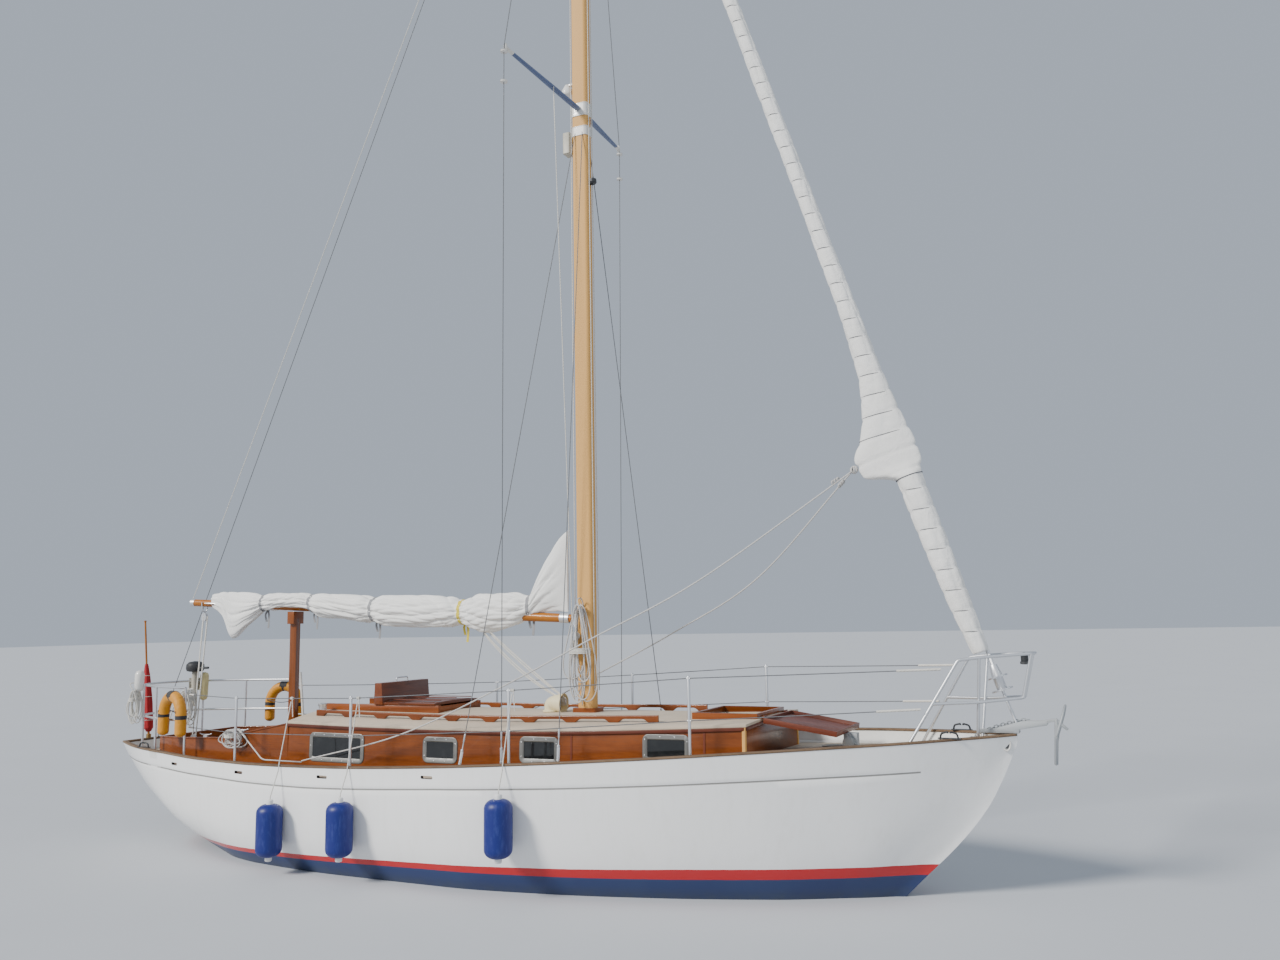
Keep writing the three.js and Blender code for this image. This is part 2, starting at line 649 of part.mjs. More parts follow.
// Companion hatch on its runners, open as it lies, with the board across its aft end.
function makeCompanionHatch() {
  const { aft, front, y, seat, board } = HATCH;
  const runner = (side) => onCabinTop(box(-2060, front + 40, side * 345 - 20, side * 345 + 20, 1330, seat));
  const stop = onCabinTop(box(front + 18, front + 40, -350, 350, 1330, seat - 10));
  place("hatch_runners", "varnish", join(runner(1), runner(-1), stop));
  const low = seat + GAP;
  const lid = loft([aft, front].map((x) => {
    const across = [-1, -0.5, 0, 0.5, 1];
    const under = across.map((t) => [x, t * y, low]);
    const upper = across.map((t) => [x, t * y, low + 20 + 14 * (1 - t ** 2)]).reverse();
    return [...under, ...upper];
  }));
  const upright = [[aft - 105, low], [aft + 5, low], [aft - 13, board], [aft - 93, board]];
  place("companion_hatch", "varnish", join(lid, sidePlate(upright, -y - 10, y + 10)));
}

function makeWashboard() {
  const half = HATCHWAY.y - GAP;
  const board = box(TRUNK_AFT + 3, TRUNK_AFT + 25, -half, half, SILL + GAP, 1085);
  place("washboard", "varnish", board);
}

// Fore hatch: a coaming on the cabin top, and its lid, a shallow tray folded forward.
function makeForeHatch() {
  const { aft, front, y, rim } = FORE_HATCH;
  const { pinX, pinZ, clearance, skirt, plate, opened } = LID;
  const knuckle = (a, b) => [1, -1].map((side) => rod([pinX, side * a, pinZ], [pinX, side * b, pinZ], 6));
  const outer = box(aft, front, -y, y, 1330, rim);
  const inner = box(aft + 28, front - 28, 28 - y, y - 28, 1200, 1700);
  const arm = (side) => box(front - 10, pinX + 4, side * 320 - 18, side * 320 + 18, 1380, pinZ - 5);
  const arms = cut(join(arm(1), arm(-1)), box(front + 16, pinX + 20, -400, 400, 1300, pinZ - 14));
  const frame = cut(join(outer, arms), inner);
  place("fore_hatch_coaming", "varnish", join(onCabinTop(frame), ...knuckle(302, 338)));
  const [a, b, side] = [aft - clearance - skirt, front + clearance + skirt, y + clearance + skirt];
  const top = rim + 2 + plate;
  const cap = box(a, b, -side, side, pinZ, top);
  const hollow = box(a + skirt, b - skirt, skirt - side, side - skirt, pinZ - 50, rim + 2);
  const leaf = (s) => box(b - 2, pinX + 2, s * 278 - 20, s * 278 + 20, pinZ, pinZ + 5);
  const lid = join(cut(cap, hollow), leaf(1), leaf(-1), ...knuckle(258, 301.4));
  place("fore_hatch_lid", "varnish", turned(lid, [0, 1, 0], opened, [pinX, 0, pinZ]));
}

// Cockpit

function makeCockpit() {
  const wall = (inset, low, high) => loft(COAMING.map(([x, y, z]) => [
    [x, inset - y, deckZ(x) - low], [x, y - inset, deckZ(x) - low],
    [x, y - inset, z + high], [x, inset - y, z + high],
  ]));
  const [aftX] = COAMING[0];
  const inner = cut(wall(COAMING_WALL, 200, 300), box(aftX - 50, aftX + COAMING_WALL, -900, 900, 0, 2000));
  place("cockpit_coaming", "varnish", onDeck(cut(wall(0, 40, 0), inner)));
  const bench = (sign) => loft([[-4130, 484], [-2125, 732]].map(([x, y]) => {
    const z = SEAT + GAP;
    return [[x, sign * 334, z], [x, sign * y, z], [x, sign * y, z + 22], [x, sign * 334, z + 22]];
  }));
  const riser = (sign) => box(-3845, -2185, sign * 317 - 10, sign * 317 + 10, SOLE + GAP, SEAT + 22);
  const ledge = (sign) => box(-3845, -2185, sign * 331 - 20, sign * 331 + 20, SEAT + 1, SEAT + 22);
  const hole = rod([axisX(200), 0, 200], [axisX(400), 0, 400], STOCK_RADIUS + 6, STOCK_RADIUS + 6, 16);
  const sole = cut(box(-3845, -2185, -318, 318, SOLE + GAP, SOLE + 20), hole);
  const lining = join(sole, ...[1, -1].flatMap((sign) => [bench(sign), riser(sign), ledge(sign)]));
  place("cockpit_seats", "teak", lining);
}

// Rudder, tiller, engine and propeller

function makeSteering() {
  const lead = 2; // blade's front edge, behind the axis
  const outline = [
    [axisX(-1480) - lead, -1480], [axisX(-300) - lead, -300], [-3400, -225],
    [-3480, -330], [-3440, -620], [-3250, -1000], [-2960, -1340], [-2640, -1500],
  ];
  const blade = sidePlate(outline, -22, 22);
  const stock = rod([axisX(-1532), 0, -1532], [axisX(800), 0, 800], STOCK_RADIUS, STOCK_RADIUS, 12);
  const head = rod([axisX(772), 0, 772], [axisX(842), 0, 842], 38, 38, 12);
  place("rudder", "ironKeel", join(blade, stock));
  const line = [[axisX(806) + 10, 0, 806], [-3350, 0, 856], [-3070, 0, 908], [-2800, 0, 960]];
  const tiller = bentTube(line, TILLER_RADIUS, 6);
  const bore = rod([axisX(700), 0, 700], [axisX(900), 0, 900], STOCK_RADIUS + GAP, STOCK_RADIUS + GAP, 12);
  place("tiller", "varnish", cut(join(head, tiller), bore));
}

function makeDrive() {
  place("engine", "enginePaint", box(-1750, -1080, -165, 165, ENGINE_BED + GAP, 30));
  const hub = join(
    rod(shaftPoint(-2530), shaftPoint(-2440), 30, 38, 12),
    rod(shaftPoint(-2500), shaftPoint(-1757), SHAFT.radius, SHAFT.radius, 12),
  );
  const axis = [1, 0, SHAFT.rise];
  const [cx, , cz] = shaftPoint(-2480);
  const blades = [0, 120, 240].map((angle) => {
    const outline = [[-28, 20], [28, 20], [62, 90], [56, 145], [10, 172], [-40, 150], [-58, 90]];
    const shape = new THREE.Shape(outline.map(([u, v]) => new THREE.Vector2(u, v)));
    const flat = new THREE.ExtrudeGeometry(shape, { depth: 8, bevelEnabled: false });
    flat.translate(0, 0, -4);
    flat.rotateY(THREE.MathUtils.degToRad(62));
    flat.rotateX(Math.PI / 2);
    flat.rotateY(-Math.atan(SHAFT.rise));
    flat.translate(cx, 0, cz);
    return turned(toSolid(flat), axis, angle, [cx, 0, cz]);
  });
  place("propeller", "bronze", join(hub, ...blades));
}

// Mast, spreaders and boom

function mastSection(z, chord, width) {
  const [a, b, c] = [chord / 2, width / 2, 34];
  const { x } = MAST;
  return [
    [x + a, -b + c, z], [x + a, b - c, z], [x + a - c, b, z], [x - a + c, b, z],
    [x - a, b - c, z], [x - a, -b + c, z], [x - a + c, -b, z], [x + a - c, -b, z],
  ];
}

function makeMast() {
  const { foot, head, chord, width, taperFrom, x } = MAST;
  const spar = loft([
    mastSection(foot, chord, width),
    mastSection(taperFrom, chord, width),
    mastSection(head, chord * 0.62, width * 0.66),
  ]);
  const step = box(x - 125, x + 125, -95, 95, 1330, foot + 30);
  const bands = [
    box(x - 90, x + 90, -MAST_BAND, MAST_BAND, HOUNDS - 30, HOUNDS + 60),
    box(x - 90, x + 90, -MAST_BAND, MAST_BAND, SPREADER.z - 70, SPREADER.z + 60),
    box(x - 72, x + 72, -MAST_BAND, MAST_BAND, head - 220, head - 130),
    box(x - 92, x + 100, -46, 46, head - 60, head + 30),
  ];
  const gooseneck = [
    box(GOOSENECK.x - 14, x, -16, 16, GOOSENECK.z - 84, GOOSENECK.z - 61),
    box(GOOSENECK.x - 14, x, -16, 16, GOOSENECK.z + 27, GOOSENECK.z + 50),
  ];
  const winch = rod([x - 80, -55, 2110], [x - 80, -130, 2110], 34, 42, 12);
  const lampTop = 7720;
  const lamp = join(
    box(x - 150, x - 80, -20, 20, lampTop - 20, lampTop),
    turning([[0, 7600], [62, 7600], [62, 7640], [24, lampTop], [0, lampTop]], x - 160, 0),
  );
  const reflector = join(
    box(x - 190, x - 110, -60, 60, 6960, 7180),
    box(x - 120, x - 80, -15, 15, 7050, 7080),
  );
  const foundation = onCabinTop(join(spar, step));
  place("mast", "spruce", join(foundation, ...bands, ...gooseneck, winch, lamp, reflector));
}

function makeSpreaders() {
  const { z, tipX, tipY, tipZ } = SPREADER;
  const arm = cut(
    join(
      rod([MAST.x - 5, 40, z - 3], [tipX, tipY, tipZ], 24, 16, 8),
      rod([tipX, tipY, tipZ - 22], [tipX, tipY, tipZ + 40], 20, 14, 8),
    ),
    mastSpace(),
  );
  place("spreader_port", "bluePaint", arm);
  place("spreader_stbd", "bluePaint", mirrored(arm));
}

// The room that the mast and its bands take up.
function mastSpace() {
  const half = MAST_BAND + GAP;
  return box(MAST.x - 130, MAST.x + 130, -half, half, 1000, MAST.head - 70);
}

// The boom's line in its own frame, before it is turned to where it lies.
const boomPoint = (run, lift = 0) => [GOOSENECK.x - run, 0, GOOSENECK.z + run * BOOM.rise + lift];
const onBoom = (solid) => turned(solid, [0, 0, 1], BOOM.yaw, [GOOSENECK.x, 0, 0]);

function makeBoom() {
  const { length, radius } = BOOM;
  const spar = rod(boomPoint(30), boomPoint(length), radius, radius * 0.86, 12);
  const fork = join(
    box(GOOSENECK.x - 60, GOOSENECK.x + 12, -14, 14, GOOSENECK.z - 60, GOOSENECK.z + 26),
    rod([GOOSENECK.x, 0, GOOSENECK.z - 60.6], [GOOSENECK.x, 0, GOOSENECK.z + 26.6], 10),
  );
  const cap = rod(boomPoint(length - 30), boomPoint(length + 12), radius * 0.95, radius * 0.9, 12);
  place("boom", "varnish", onBoom(join(spar, fork, cap)));
}

// Stowed mainsail, a bundle on the boom. Run along the boom, bottom, top and half-breadth.
function makeMainsail() {
  const bundle = [
    [70, 60, 560, 10], [160, 60, 520, 34], [320, 55, 390, 78], [480, 20, 330, 105], [700, -40, 260, 125],
    [1000, -110, 215, 140], [1350, -140, 190, 148], [1700, -165, 180, 150], [2100, -170, 165, 150],
    [2600, -120, 165, 140], [3000, -100, 165, 128], [3240, -34, 165, 120], [3460, -30, 150, 120],
    [3640, -60, 150, 120], [3900, -90, 140, 112], [4180, -210, 120, 80], [4380, -60, 110, 70],
    [4470, -46, 90, 56],
  ];
  const sections = 12;
  const rings = bundle.map(([run, low, high, half]) => {
    const middle = (low + high) / 2;
    return Array.from({ length: sections }, (_, i) => {
      const angle = (2 * Math.PI * i) / sections;
      const [x, , z] = boomPoint(run, middle + ((high - low) / 2) * Math.sin(angle));
      return [x, half * Math.cos(angle), z];
    });
  });
  const { length, radius } = BOOM;
  const sparSpace = rod(boomPoint(30), boomPoint(length), radius + GAP, radius * 0.86 + GAP, 12);
  place("stowed_mainsail", "sail", onBoom(cut(loft(rings), sparSpace)));
}

// Boom crutch: a post in the cockpit under the boom.
function makeCrutch() {
  const run = 3330;
  const [x, , z] = boomPoint(run);
  const top = z - BOOM.radius - 5;
  const angle = THREE.MathUtils.degToRad(BOOM.yaw);
  const [px, py] = [GOOSENECK.x - (GOOSENECK.x - x) * Math.cos(angle), -(GOOSENECK.x - x) * Math.sin(angle)];
  const post = join(
    box(px - 45, px + 45, py - 30, py + 30, SOLE + 20 + GAP, top - 60),
    box(px - 45, px + 45, py - 75, py + 75, top - 130, top),
  );
  place("boom_crutch", "varnish", post);
}

// Standing rigging

const stayPoint = (stay, x) => [x, 0, stay.z + Math.abs(stay.x - x) * stay.slope];

// An oval ring square to a line in the centre plane, shifted aft of it.
function ringAlong(centre, along, rx, ry, aft) {
  const count = 10;
  const forward = new THREE.Vector3(...along).normalize();
  const side = new THREE.Vector3(0, 1, 0);
  const normal = new THREE.Vector3().crossVectors(side, forward);
  return Array.from({ length: count }, (_, i) => {
    const angle = (2 * Math.PI * i) / count;
    const p = new THREE.Vector3(...centre);
    p.addScaledVector(normal, rx * Math.cos(angle) - aft);
    p.addScaledVector(side, ry * Math.sin(angle));
    return p.toArray();
  });
}

// Furled headsail in its sleeve, wound round the forestay. Height, half-width, half-thickness.
function makeForestay() {
  const along = [-1, 0, FORESTAY.slope];
  const atHeight = (z) => stayPoint(FORESTAY, FORESTAY.x - (z - FORESTAY.z) / FORESTAY.slope);
  const sleeve = [
    [1955, 70, 66], [2300, 92, 82], [2900, 108, 92], [3420, 114, 92], [3560, 262, 60], [3700, 275, 66],
    [3880, 205, 72], [4100, 150, 76], [4400, 108, 78], [5200, 84, 74], [8100, 70, 64],
    [11000, 48, 46], [12700, 26, 26],
  ];
  const behind = 0.72; // how far the sleeve's middle lies aft of the stay, as a share of its half-width
  const rings = sleeve.map(([z, rx, ry]) => ringAlong(atHeight(z), along, rx, ry, rx * behind));
  const upper = rod(atHeight(12600), [MAST.x + 90, 0, MAST.head - 20], WIRE + 2);
  place("furled_genoa", "sail", cut(join(loft(rings), upper), mastheadSpace()));
  const wire = rod(atHeight(1830), atHeight(1954.4), 16);
  const spool = join(
    rod(atHeight(1640), atHeight(1652), 84, 84, 16),
    rod(atHeight(1652), atHeight(1740), 40, 40, 12),
    rod(atHeight(1740), atHeight(1752), 80, 80, 16),
    rod(atHeight(1752), atHeight(1840), 44, 30, 12),
  );
  const links = [-22, 22].map((y) => {
    const [a, b] = [atHeight(1330), atHeight(1640)];
    return rod([a[0], y, a[2]], [b[0], y, b[2]], 9);
  });
  const [lx, , lz] = atHeight(1334);
  const pin = rod([lx, GAP - 44, lz], [lx, 44 - GAP, lz], 12);
  place("furler", "stainless", join(wire, spool, ...links, pin));
}

// The room that the masthead's crane takes up.
function mastheadSpace() {
  const { x, head } = MAST;
  return box(x - 92 - GAP, x + 100 + GAP, -46 - GAP, 46 + GAP, head - 60 - GAP, head + 30 + GAP);
}

function makeBackstay() {
  const head = [MAST.x - 70, 0, MAST.head - 10];
  const foot = [BACKSTAY.x, 0, BACKSTAY.z + 20];
  const wire = join(rod(foot, head, WIRE, WIRE, 6), rod(foot, stayPoint(BACKSTAY, BACKSTAY.x + 150), 9));
  const lug = box(BACKSTAY.x - 20, BACKSTAY.x + 22, -9, 9, BACKSTAY.z + GAP, BACKSTAY.z + 62);
  const below = box(-5000, -4700, -50, 50, 900, BACKSTAY.z + GAP);
  place("backstay", "stainless", cut(join(wire, lug), mastheadSpace(), below));
}

// Shrouds. Name, chainplate's x and the upper end. The cap shroud passes the spreader's tip.
function makeShrouds() {
  const { tipX, tipY, tipZ } = SPREADER;
  const shrouds = [
    ["aft_lower", 134, [MAST.x - 40, MAST_BAND - 4, HOUNDS]],
    ["cap_shroud", 577, [tipX, tipY + 26, tipZ]],
    ["fwd_lower", 1097, [MAST.x + 40, MAST_BAND - 4, HOUNDS]],
  ];
  shrouds.forEach(([name, x, end]) => {
    const foot = [x, deckY(x) - 95, deckZ(x) - 20];
    const direction = new THREE.Vector3(...end).sub(new THREE.Vector3(...foot)).normalize();
    const along = (distance) => new THREE.Vector3(...foot).addScaledVector(direction, distance).toArray();
    const head = [MAST.x, MAST_BAND - 4, MAST.head - 150];
    const wire = name === "cap_shroud" ? pipe([foot, end, head], WIRE, 6) : rod(foot, end, WIRE, WIRE, 6);
    const plate = box(x - 18, x + 18, foot[1] - 12, foot[1] + 12, foot[2], foot[2] + 62);
    const screw = join(rod(foot, along(350), 9), rod(along(140), along(270), 14));
    const shroud = onDeck(cut(join(wire, plate, screw), mastSpace(), spreaderSpace()));
    place(name + "_port", "stainless", shroud);
    place(name + "_stbd", "stainless", mirrored(shroud));
  });
}

function spreaderSpace() {
  const { tipX, tipY, tipZ } = SPREADER;
  return rod([tipX, tipY, tipZ - 24], [tipX, tipY, tipZ + 42], 20.6, 14.6, 8);
}

// Guard rails, pulpit and pushpit

const POST_XS = [-2550, -1000, 685, 2240];
const WIRE_HEIGHTS = [725, 390]; // guard wires above the deck's edge
const TUBE = 12.5; // radius of a stanchion, pulpit or pushpit tube
const POST_HEIGHT = 745; // of a stanchion above the deck's edge
const BASE_RADIUS = 28; // of the round foot of a stanchion or pushpit leg

const postY = (x) => deckY(x) - 34;
const GUARD_POINTS = [[-3530, 770], ...POST_XS.map((x) => [x, postY(x)])];

// A point of a guard wire between its posts.
function guardPoint(x, height) {
  const ends = GUARD_POINTS.map(([px, py]) => [px, py, deckZ(px)]);
  return [x, alongLine(ends, x, 1), alongLine(ends, x, 2) + height];
}

function makeGuardrails() {
  const posts = POST_XS.map((x) => {
    const [y, low] = [postY(x), deckZ(x)];
    const tube = rod([x, y, low - 20], [x, y, low + POST_HEIGHT], TUBE, TUBE, 6);
    return onDeck(join(tube, rod([x, y, low - 20], [x, y, low + 18], BASE_RADIUS)));
  });
  const wires = WIRE_HEIGHTS.map((height, i) => pipe([
    ...GUARD_POINTS.map(([x]) => guardPoint(x, height)),
    [[4120, 3960][i], [372, 432][i], [1822, 1516][i]],
  ], WIRE, 6));
  const port = join(...posts, ...wires);
  place("guardrail_port", "stainless", port);
  place("guardrail_stbd", "stainless", mirrored(port));
}

function makePulpit() {
  const [topBend, topSide] = [[4245, 315, 1890], [4400, 262, 1908]];
  const [topFront, middle] = [[4770, 85, 1932], [4690, 64, 1590]];
  const aftLeg = [3790, deckY(3790) - 38, deckZ(3790) - 20];
  const between = (a, b, t) => a.map((value, i) => value + (b[i] - value) * t);
  const kneePoint = between(aftLeg, topBend, 0.94);
  const half = join(
    pipe([aftLeg, kneePoint, topBend, topSide, [4640, 165, 1925], topFront, [4798, 0, 1934]], TUBE),
    pipe([[4330, deckY(4330) - 34, deckZ(4330) - 20], topSide], TUBE),
    pipe([between(aftLeg, topBend, 0.55), [4370, 224, 1562], middle, [4690, 0, 1590]], TUBE),
    pipe([middle, topFront], TUBE),
  );
  place("pulpit", "stainless", onDeck(join(half, mirrored(half))));
}

const PUSHPIT_CORNERS = [[-3560, 800], [-4180, 640], [-4640, 420], [-4765, 270], [-4812, 0]];

function makePushpit() {
  const corners = PUSHPIT_CORNERS;
  const feet = corners.slice(0, 3).map(([x, y]) => {
    const foot = [x + 4, Math.min(y - 8, deckY(x) - 34), deckZ(x) - 20];
    const leg = rod(foot, [x, y, PUSHPIT_HEIGHT], TUBE, TUBE, 6);
    return join(leg, rod(foot, [x + 4, foot[1], foot[2] + 36], BASE_RADIUS));
  });
  const rail = (z) => pipe(corners.map(([x, y]) => [x, y, z]), TUBE);
  const half = join(rail(PUSHPIT_HEIGHT), rail(PUSHPIT_HEIGHT - 338), ...feet);
  place("pushpit", "stainless", onDeck(join(half, mirrored(half))));
}

// Ground tackle

function makeBow() {
  const cheek = [
    [4330, 1300], [4640, 1300], [4640, 1342], [4850, 1380],
    [4850, 1412], [4660, 1408], [4470, 1352], [4330, 1332],
  ];
  const roller = join(
    sidePlate(cheek, 44, 50),
    sidePlate(cheek, -50, -44),
    box(4340, 4640, -50, 50, 1300, 1321),
    rod(pinEnd(-50), pinEnd(50), ROLLER_PIN),
  );
  place("bow_roller", "galvanised", cut(roller, box(4200, 4700, -80, 80, 1200, 1312 + GAP)));
  const shank = sidePlate(
    [[4665, 1366], [4900, 1404], [4985, 1340], [5000, 1352], [4915, 1432], [4665, 1388]],
    -9, 9,
  );
  const fluke = (side) => loft([
    [[4913, -10 * side, 1404], [4925, -10 * side, 1386], [4940, -10 * side, 1400]],
    [[4898, 118 * side, 1300], [4908, 118 * side, 1286], [4922, 118 * side, 1300]],
    [[4878, 12 * side, 1085], [4890, 12 * side, 1072], [4902, 12 * side, 1087]],
  ]);
  const hoopLine = [
    [4915, -112, 1305], [4960, -105, 1440], [4985, 0, 1530], [4960, 105, 1440], [4915, 112, 1305],
  ];
  const spine = rod([4916, 0, 1420], [4891, 0, 1078], 15);
  const blades = join(fluke(1), fluke(-1), bentTube(hoopLine, 10, 12), spine);
  const pinSpace = rod(pinEnd(-60), pinEnd(60), ROLLER_PIN + 2 * GAP);
  place("anchor", "galvanised", cut(join(shank, blades), pinSpace));
}

const ROLLER_PIN = 9; // radius of the pin at the bow roller's tip
const pinEnd = (y) => [4820, y, 1394];

// Height of the open fore hatch lid's lowest edge.
function lidRest() {
  const turn = THREE.MathUtils.degToRad(LID.opened);
  const x = FORE_HATCH.aft - LID.clearance - LID.skirt - LID.pinX;
  const z = FORE_HATCH.rim + 2 + LID.plate - LID.pinZ;
  return LID.pinZ - x * Math.sin(turn) + z * Math.cos(turn);
}

function makeWindlass() {
  const x = 3295;
  const low = deckZ(x) + 20;
  const top = lidRest();
  const body = join(
    box(x - 90, x + 90, -70, 70, low - 60, low + 28),
    box(x - 55, x + 60, -40, 40, low - 60, top - GAP),
    rod([x, -105, low + 73], [x, 105, low + 73], 34, 34, 12),
    rod([x, -112, low + 73], [x, -100, low + 73], 48, 48, 12),
  );
  place("windlass", "galvanised", onDeck(body));
}

// Loose gear

function makeFenders() {
  const [r, length] = [118, 470];
  [[-1800, 165], [-945, 235], [690, 345]].forEach(([x, low], i) => {
    const high = low + length;
    const profile = [
      [0, low - 40], [30, low - 30], [34, low], [r * 0.8, low + 24], [r, low + 75],
      [r, high - 75], [r * 0.8, high - 24], [34, high], [30, high + 30], [0, high + 40],
    ];
    const y = -(Math.max(skinY(x, low + 75), skinY(x, high - 75)) + r + GAP);
    const body = turning(profile, x, y, 14);
    const onWire = (along) => guardPoint(along, WIRE_HEIGHTS[0]).map((v, axis) => (axis === 1 ? -v : v));
    const lanyard = pipe([[x, y, high + 20], [x, -(railY(x) + 16), railZ(x) + 12], onWire(x + 32)], 4.5);
    const hitch = rod(onWire(x + 18), onWire(x + 46), 13);
    const wire = pipe([onWire(x + 4), onWire(x + 60)], WIRE + GAP);
    place("fender_" + (i + 1), "fenderBlue", cut(join(body, lanyard, hitch), wire));
  });
}

// Horseshoe lifebuoys, against the outside of the pushpit's sides: an arch on two straight legs.
function makeLifebuoys() {
  const [section, half, rise, middle, foot] = [58, 185, 205, 1340, 1085];
  const [[x0, y0], [x1, y1]] = PUSHPIT_CORNERS;
  const slant = Math.atan2(y0 - y1, x0 - x1);
  const horseshoe = (x, side) => {
    const rail = THREE.MathUtils.lerp(y1, y0, (x - x1) / (x0 - x1));
    const y = side * (rail + (section + TUBE + GAP) / Math.cos(slant));
    const arch = Array.from({ length: 9 }, (_, i) => {
      const angle = (Math.PI * i) / 8;
      return [x + half * Math.cos(angle), y, middle + rise * Math.sin(angle)];
    });
    const legs = [half, -half].map((dx) => [[x + dx, y, foot], [x + dx, y, (foot + middle) / 2]]);
    const ring = bentTube([...legs[0], ...arch, ...legs[1].reverse()], section, 20, 8);
    return turned(ring, [0, 0, 1], side * THREE.MathUtils.radToDeg(slant), [x, y, middle]);
  };
  place("lifebuoy_stbd", "buoyYellow", horseshoe(-3700, -1));
  place("lifebuoy_port", "buoyYellow", horseshoe(-3750, 1));
}

function makeEnsign() {
  const capTop = RAIL_LINE[0][2] + 20 + GAP;
  const [foot, head] = [[-4890, -120, capTop + 16], [-5030, -120, 2350]];
  const between = (t) => foot.map((value, i) => value + (head[i] - value) * t);
  const flag = rod(between(0.1), between(0.58), 46, 24, 10);
  const shoe = box(-4912, -4870, -142, -98, capTop, capTop + 42);
  place("ensign_staff", "ensignRed", join(rod(foot, head, 14), flag, shoe));
}

function makeVent() {
  const [x, y] = [430, -60];
  const base = topZ(x) - 40;
  const vent = join(
    turning([[0, base], [75, base], [75, base + 150], [70, base + 165], [0, base + 165]], x, y),
    rod([x, y, base + 110], [x + 150, y, base + 110], 80, 95, 14),
  );
  place("cowl_vent", "cream", onCabinTop(vent));
}

function makeWinches() {
  const [x, y] = [-1990, 480];
  const low = topZ(x, y) - 30;
  const drum = [[0, 0], [58, 0], [58, 14], [40, 34], [36, 70], [46, 96], [46, 112], [0, 112]];
  const winch = onCabinTop(turning(drum.map(([r, h]) => [r, low + h]), x, y, 14));
  place("winch_cabin_port", "stainless", winch);
  place("winch_cabin_stbd", "stainless", mirrored(winch));
}

makeHull();
makeDeck();
makeRailCap();
makeTrunk();
makeWindows();
makeCabinTop();
makeHandrails();
makeCompanionHatch();
makeWashboard();
makeForeHatch();
makeCockpit();
makeSteering();
makeDrive();
makeMast();
makeSpreaders();
makeBoom();
makeMainsail();
makeCrutch();
makeForestay();
makeBackstay();
makeShrouds();
makeGuardrails();
makePulpit();
makePushpit();
makeBow();
makeWindlass();
makeFenders();
makeLifebuoys();
makeEnsign();
makeVent();
makeWinches();

export default yacht;
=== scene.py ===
"""Dresses a wooden sailing yacht: hull, spars, sails, rigging and deck gear, in metres."""
import logging
import math
from dataclasses import dataclass, field
from enum import Enum
from typing import Sequence

import bpy
import numpy as np
from mathutils import Matrix, Vector


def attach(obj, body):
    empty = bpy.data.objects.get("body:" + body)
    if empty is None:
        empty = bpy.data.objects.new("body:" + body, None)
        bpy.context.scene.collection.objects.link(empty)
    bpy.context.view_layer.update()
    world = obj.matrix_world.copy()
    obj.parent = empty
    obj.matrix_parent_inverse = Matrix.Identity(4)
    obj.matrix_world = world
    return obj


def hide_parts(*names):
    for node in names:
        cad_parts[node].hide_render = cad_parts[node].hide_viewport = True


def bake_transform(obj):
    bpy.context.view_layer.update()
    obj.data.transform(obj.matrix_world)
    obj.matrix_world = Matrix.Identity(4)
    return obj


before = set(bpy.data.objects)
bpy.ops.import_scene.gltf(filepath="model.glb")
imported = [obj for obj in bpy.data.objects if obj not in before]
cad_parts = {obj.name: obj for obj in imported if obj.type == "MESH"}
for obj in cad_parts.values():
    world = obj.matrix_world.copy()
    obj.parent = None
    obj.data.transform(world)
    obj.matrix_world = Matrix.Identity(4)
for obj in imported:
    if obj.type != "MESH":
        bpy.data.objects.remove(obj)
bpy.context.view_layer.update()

LOG = logging.getLogger("yacht")
Array = np.ndarray
Point = Sequence[float]
Triple = tuple[float, float, float]  # a place, a direction or a linear colour
GAP = 0.0003  # between pieces that touch


class Axis(Enum):
    """The axis that a grain, a plate or a turning follows."""
    X = 0
    Y = 1
    Z = 2


# Curves and grids

def resample(points: Array, count: int) -> Array:
    """A polyline taken again at equal steps of its own length.

    Args:
        points: The line's points, m by 3.
        count: How many points to give back.
    Returns:
        The new points, count by 3.
    """
    run = np.r_[0, np.cumsum(np.linalg.norm(np.diff(points, axis=0), axis=1))]
    even = np.linspace(0, run[-1], count)
    return np.stack([np.interp(even, run, points[:, i]) for i in range(3)], 1)


def smooth(points: Sequence[Point], count: int) -> Array:
    """A Catmull-Rom curve through points: on each span the cubic whose slope at a point is half the
    step between that point's neighbours, then taken at equal steps of length.

    Args:
        points: The points that the curve passes.
        count: How many points to give back.
    Returns:
        The curve's points, count by 3.
    """
    p = np.asarray(points, float)
    ends = np.vstack([2 * p[0] - p[1], p, 2 * p[-1] - p[-2]])
    s = np.linspace(0, len(p) - 1, 12 * len(p) + count)
    i = np.minimum(s.astype(int), len(p) - 2)
    t = (s - i)[:, None]
    a, b, c, d = ends[i], ends[i + 1], ends[i + 2], ends[i + 3]
    cubic = 2 * b + (c - a) * t + (2 * a - 5 * b + 4 * c - d) * t**2 + (3 * b - a - 3 * c + d) * t**3
    return resample(cubic / 2, count)


def rounded(points: Sequence[Point], radius: float, steps: int = 6) -> Array:
    """A polyline whose corners are parabolas that start and end a radius away from the corner.

    Args:
        points: The corners.
        radius: How far from a corner its bend begins.
        steps: Points in each bend.
    Returns:
        The rounded line's points.
    """
    p = np.asarray(points, float)
    line = [p[:1]]
    for before, corner, after in zip(p, p[1:], p[2:]):
        reach = min(radius, np.linalg.norm(corner - before) * 0.45, np.linalg.norm(after - corner) * 0.45)
        start = corner + unit(before - corner) * reach
        end = corner + unit(after - corner) * reach
        t = np.linspace(0, 1, steps)[:, None]
        line.append((1 - t) ** 2 * start + 2 * t * (1 - t) * corner + t**2 * end)
    return np.vstack([*line, p[-1:]])


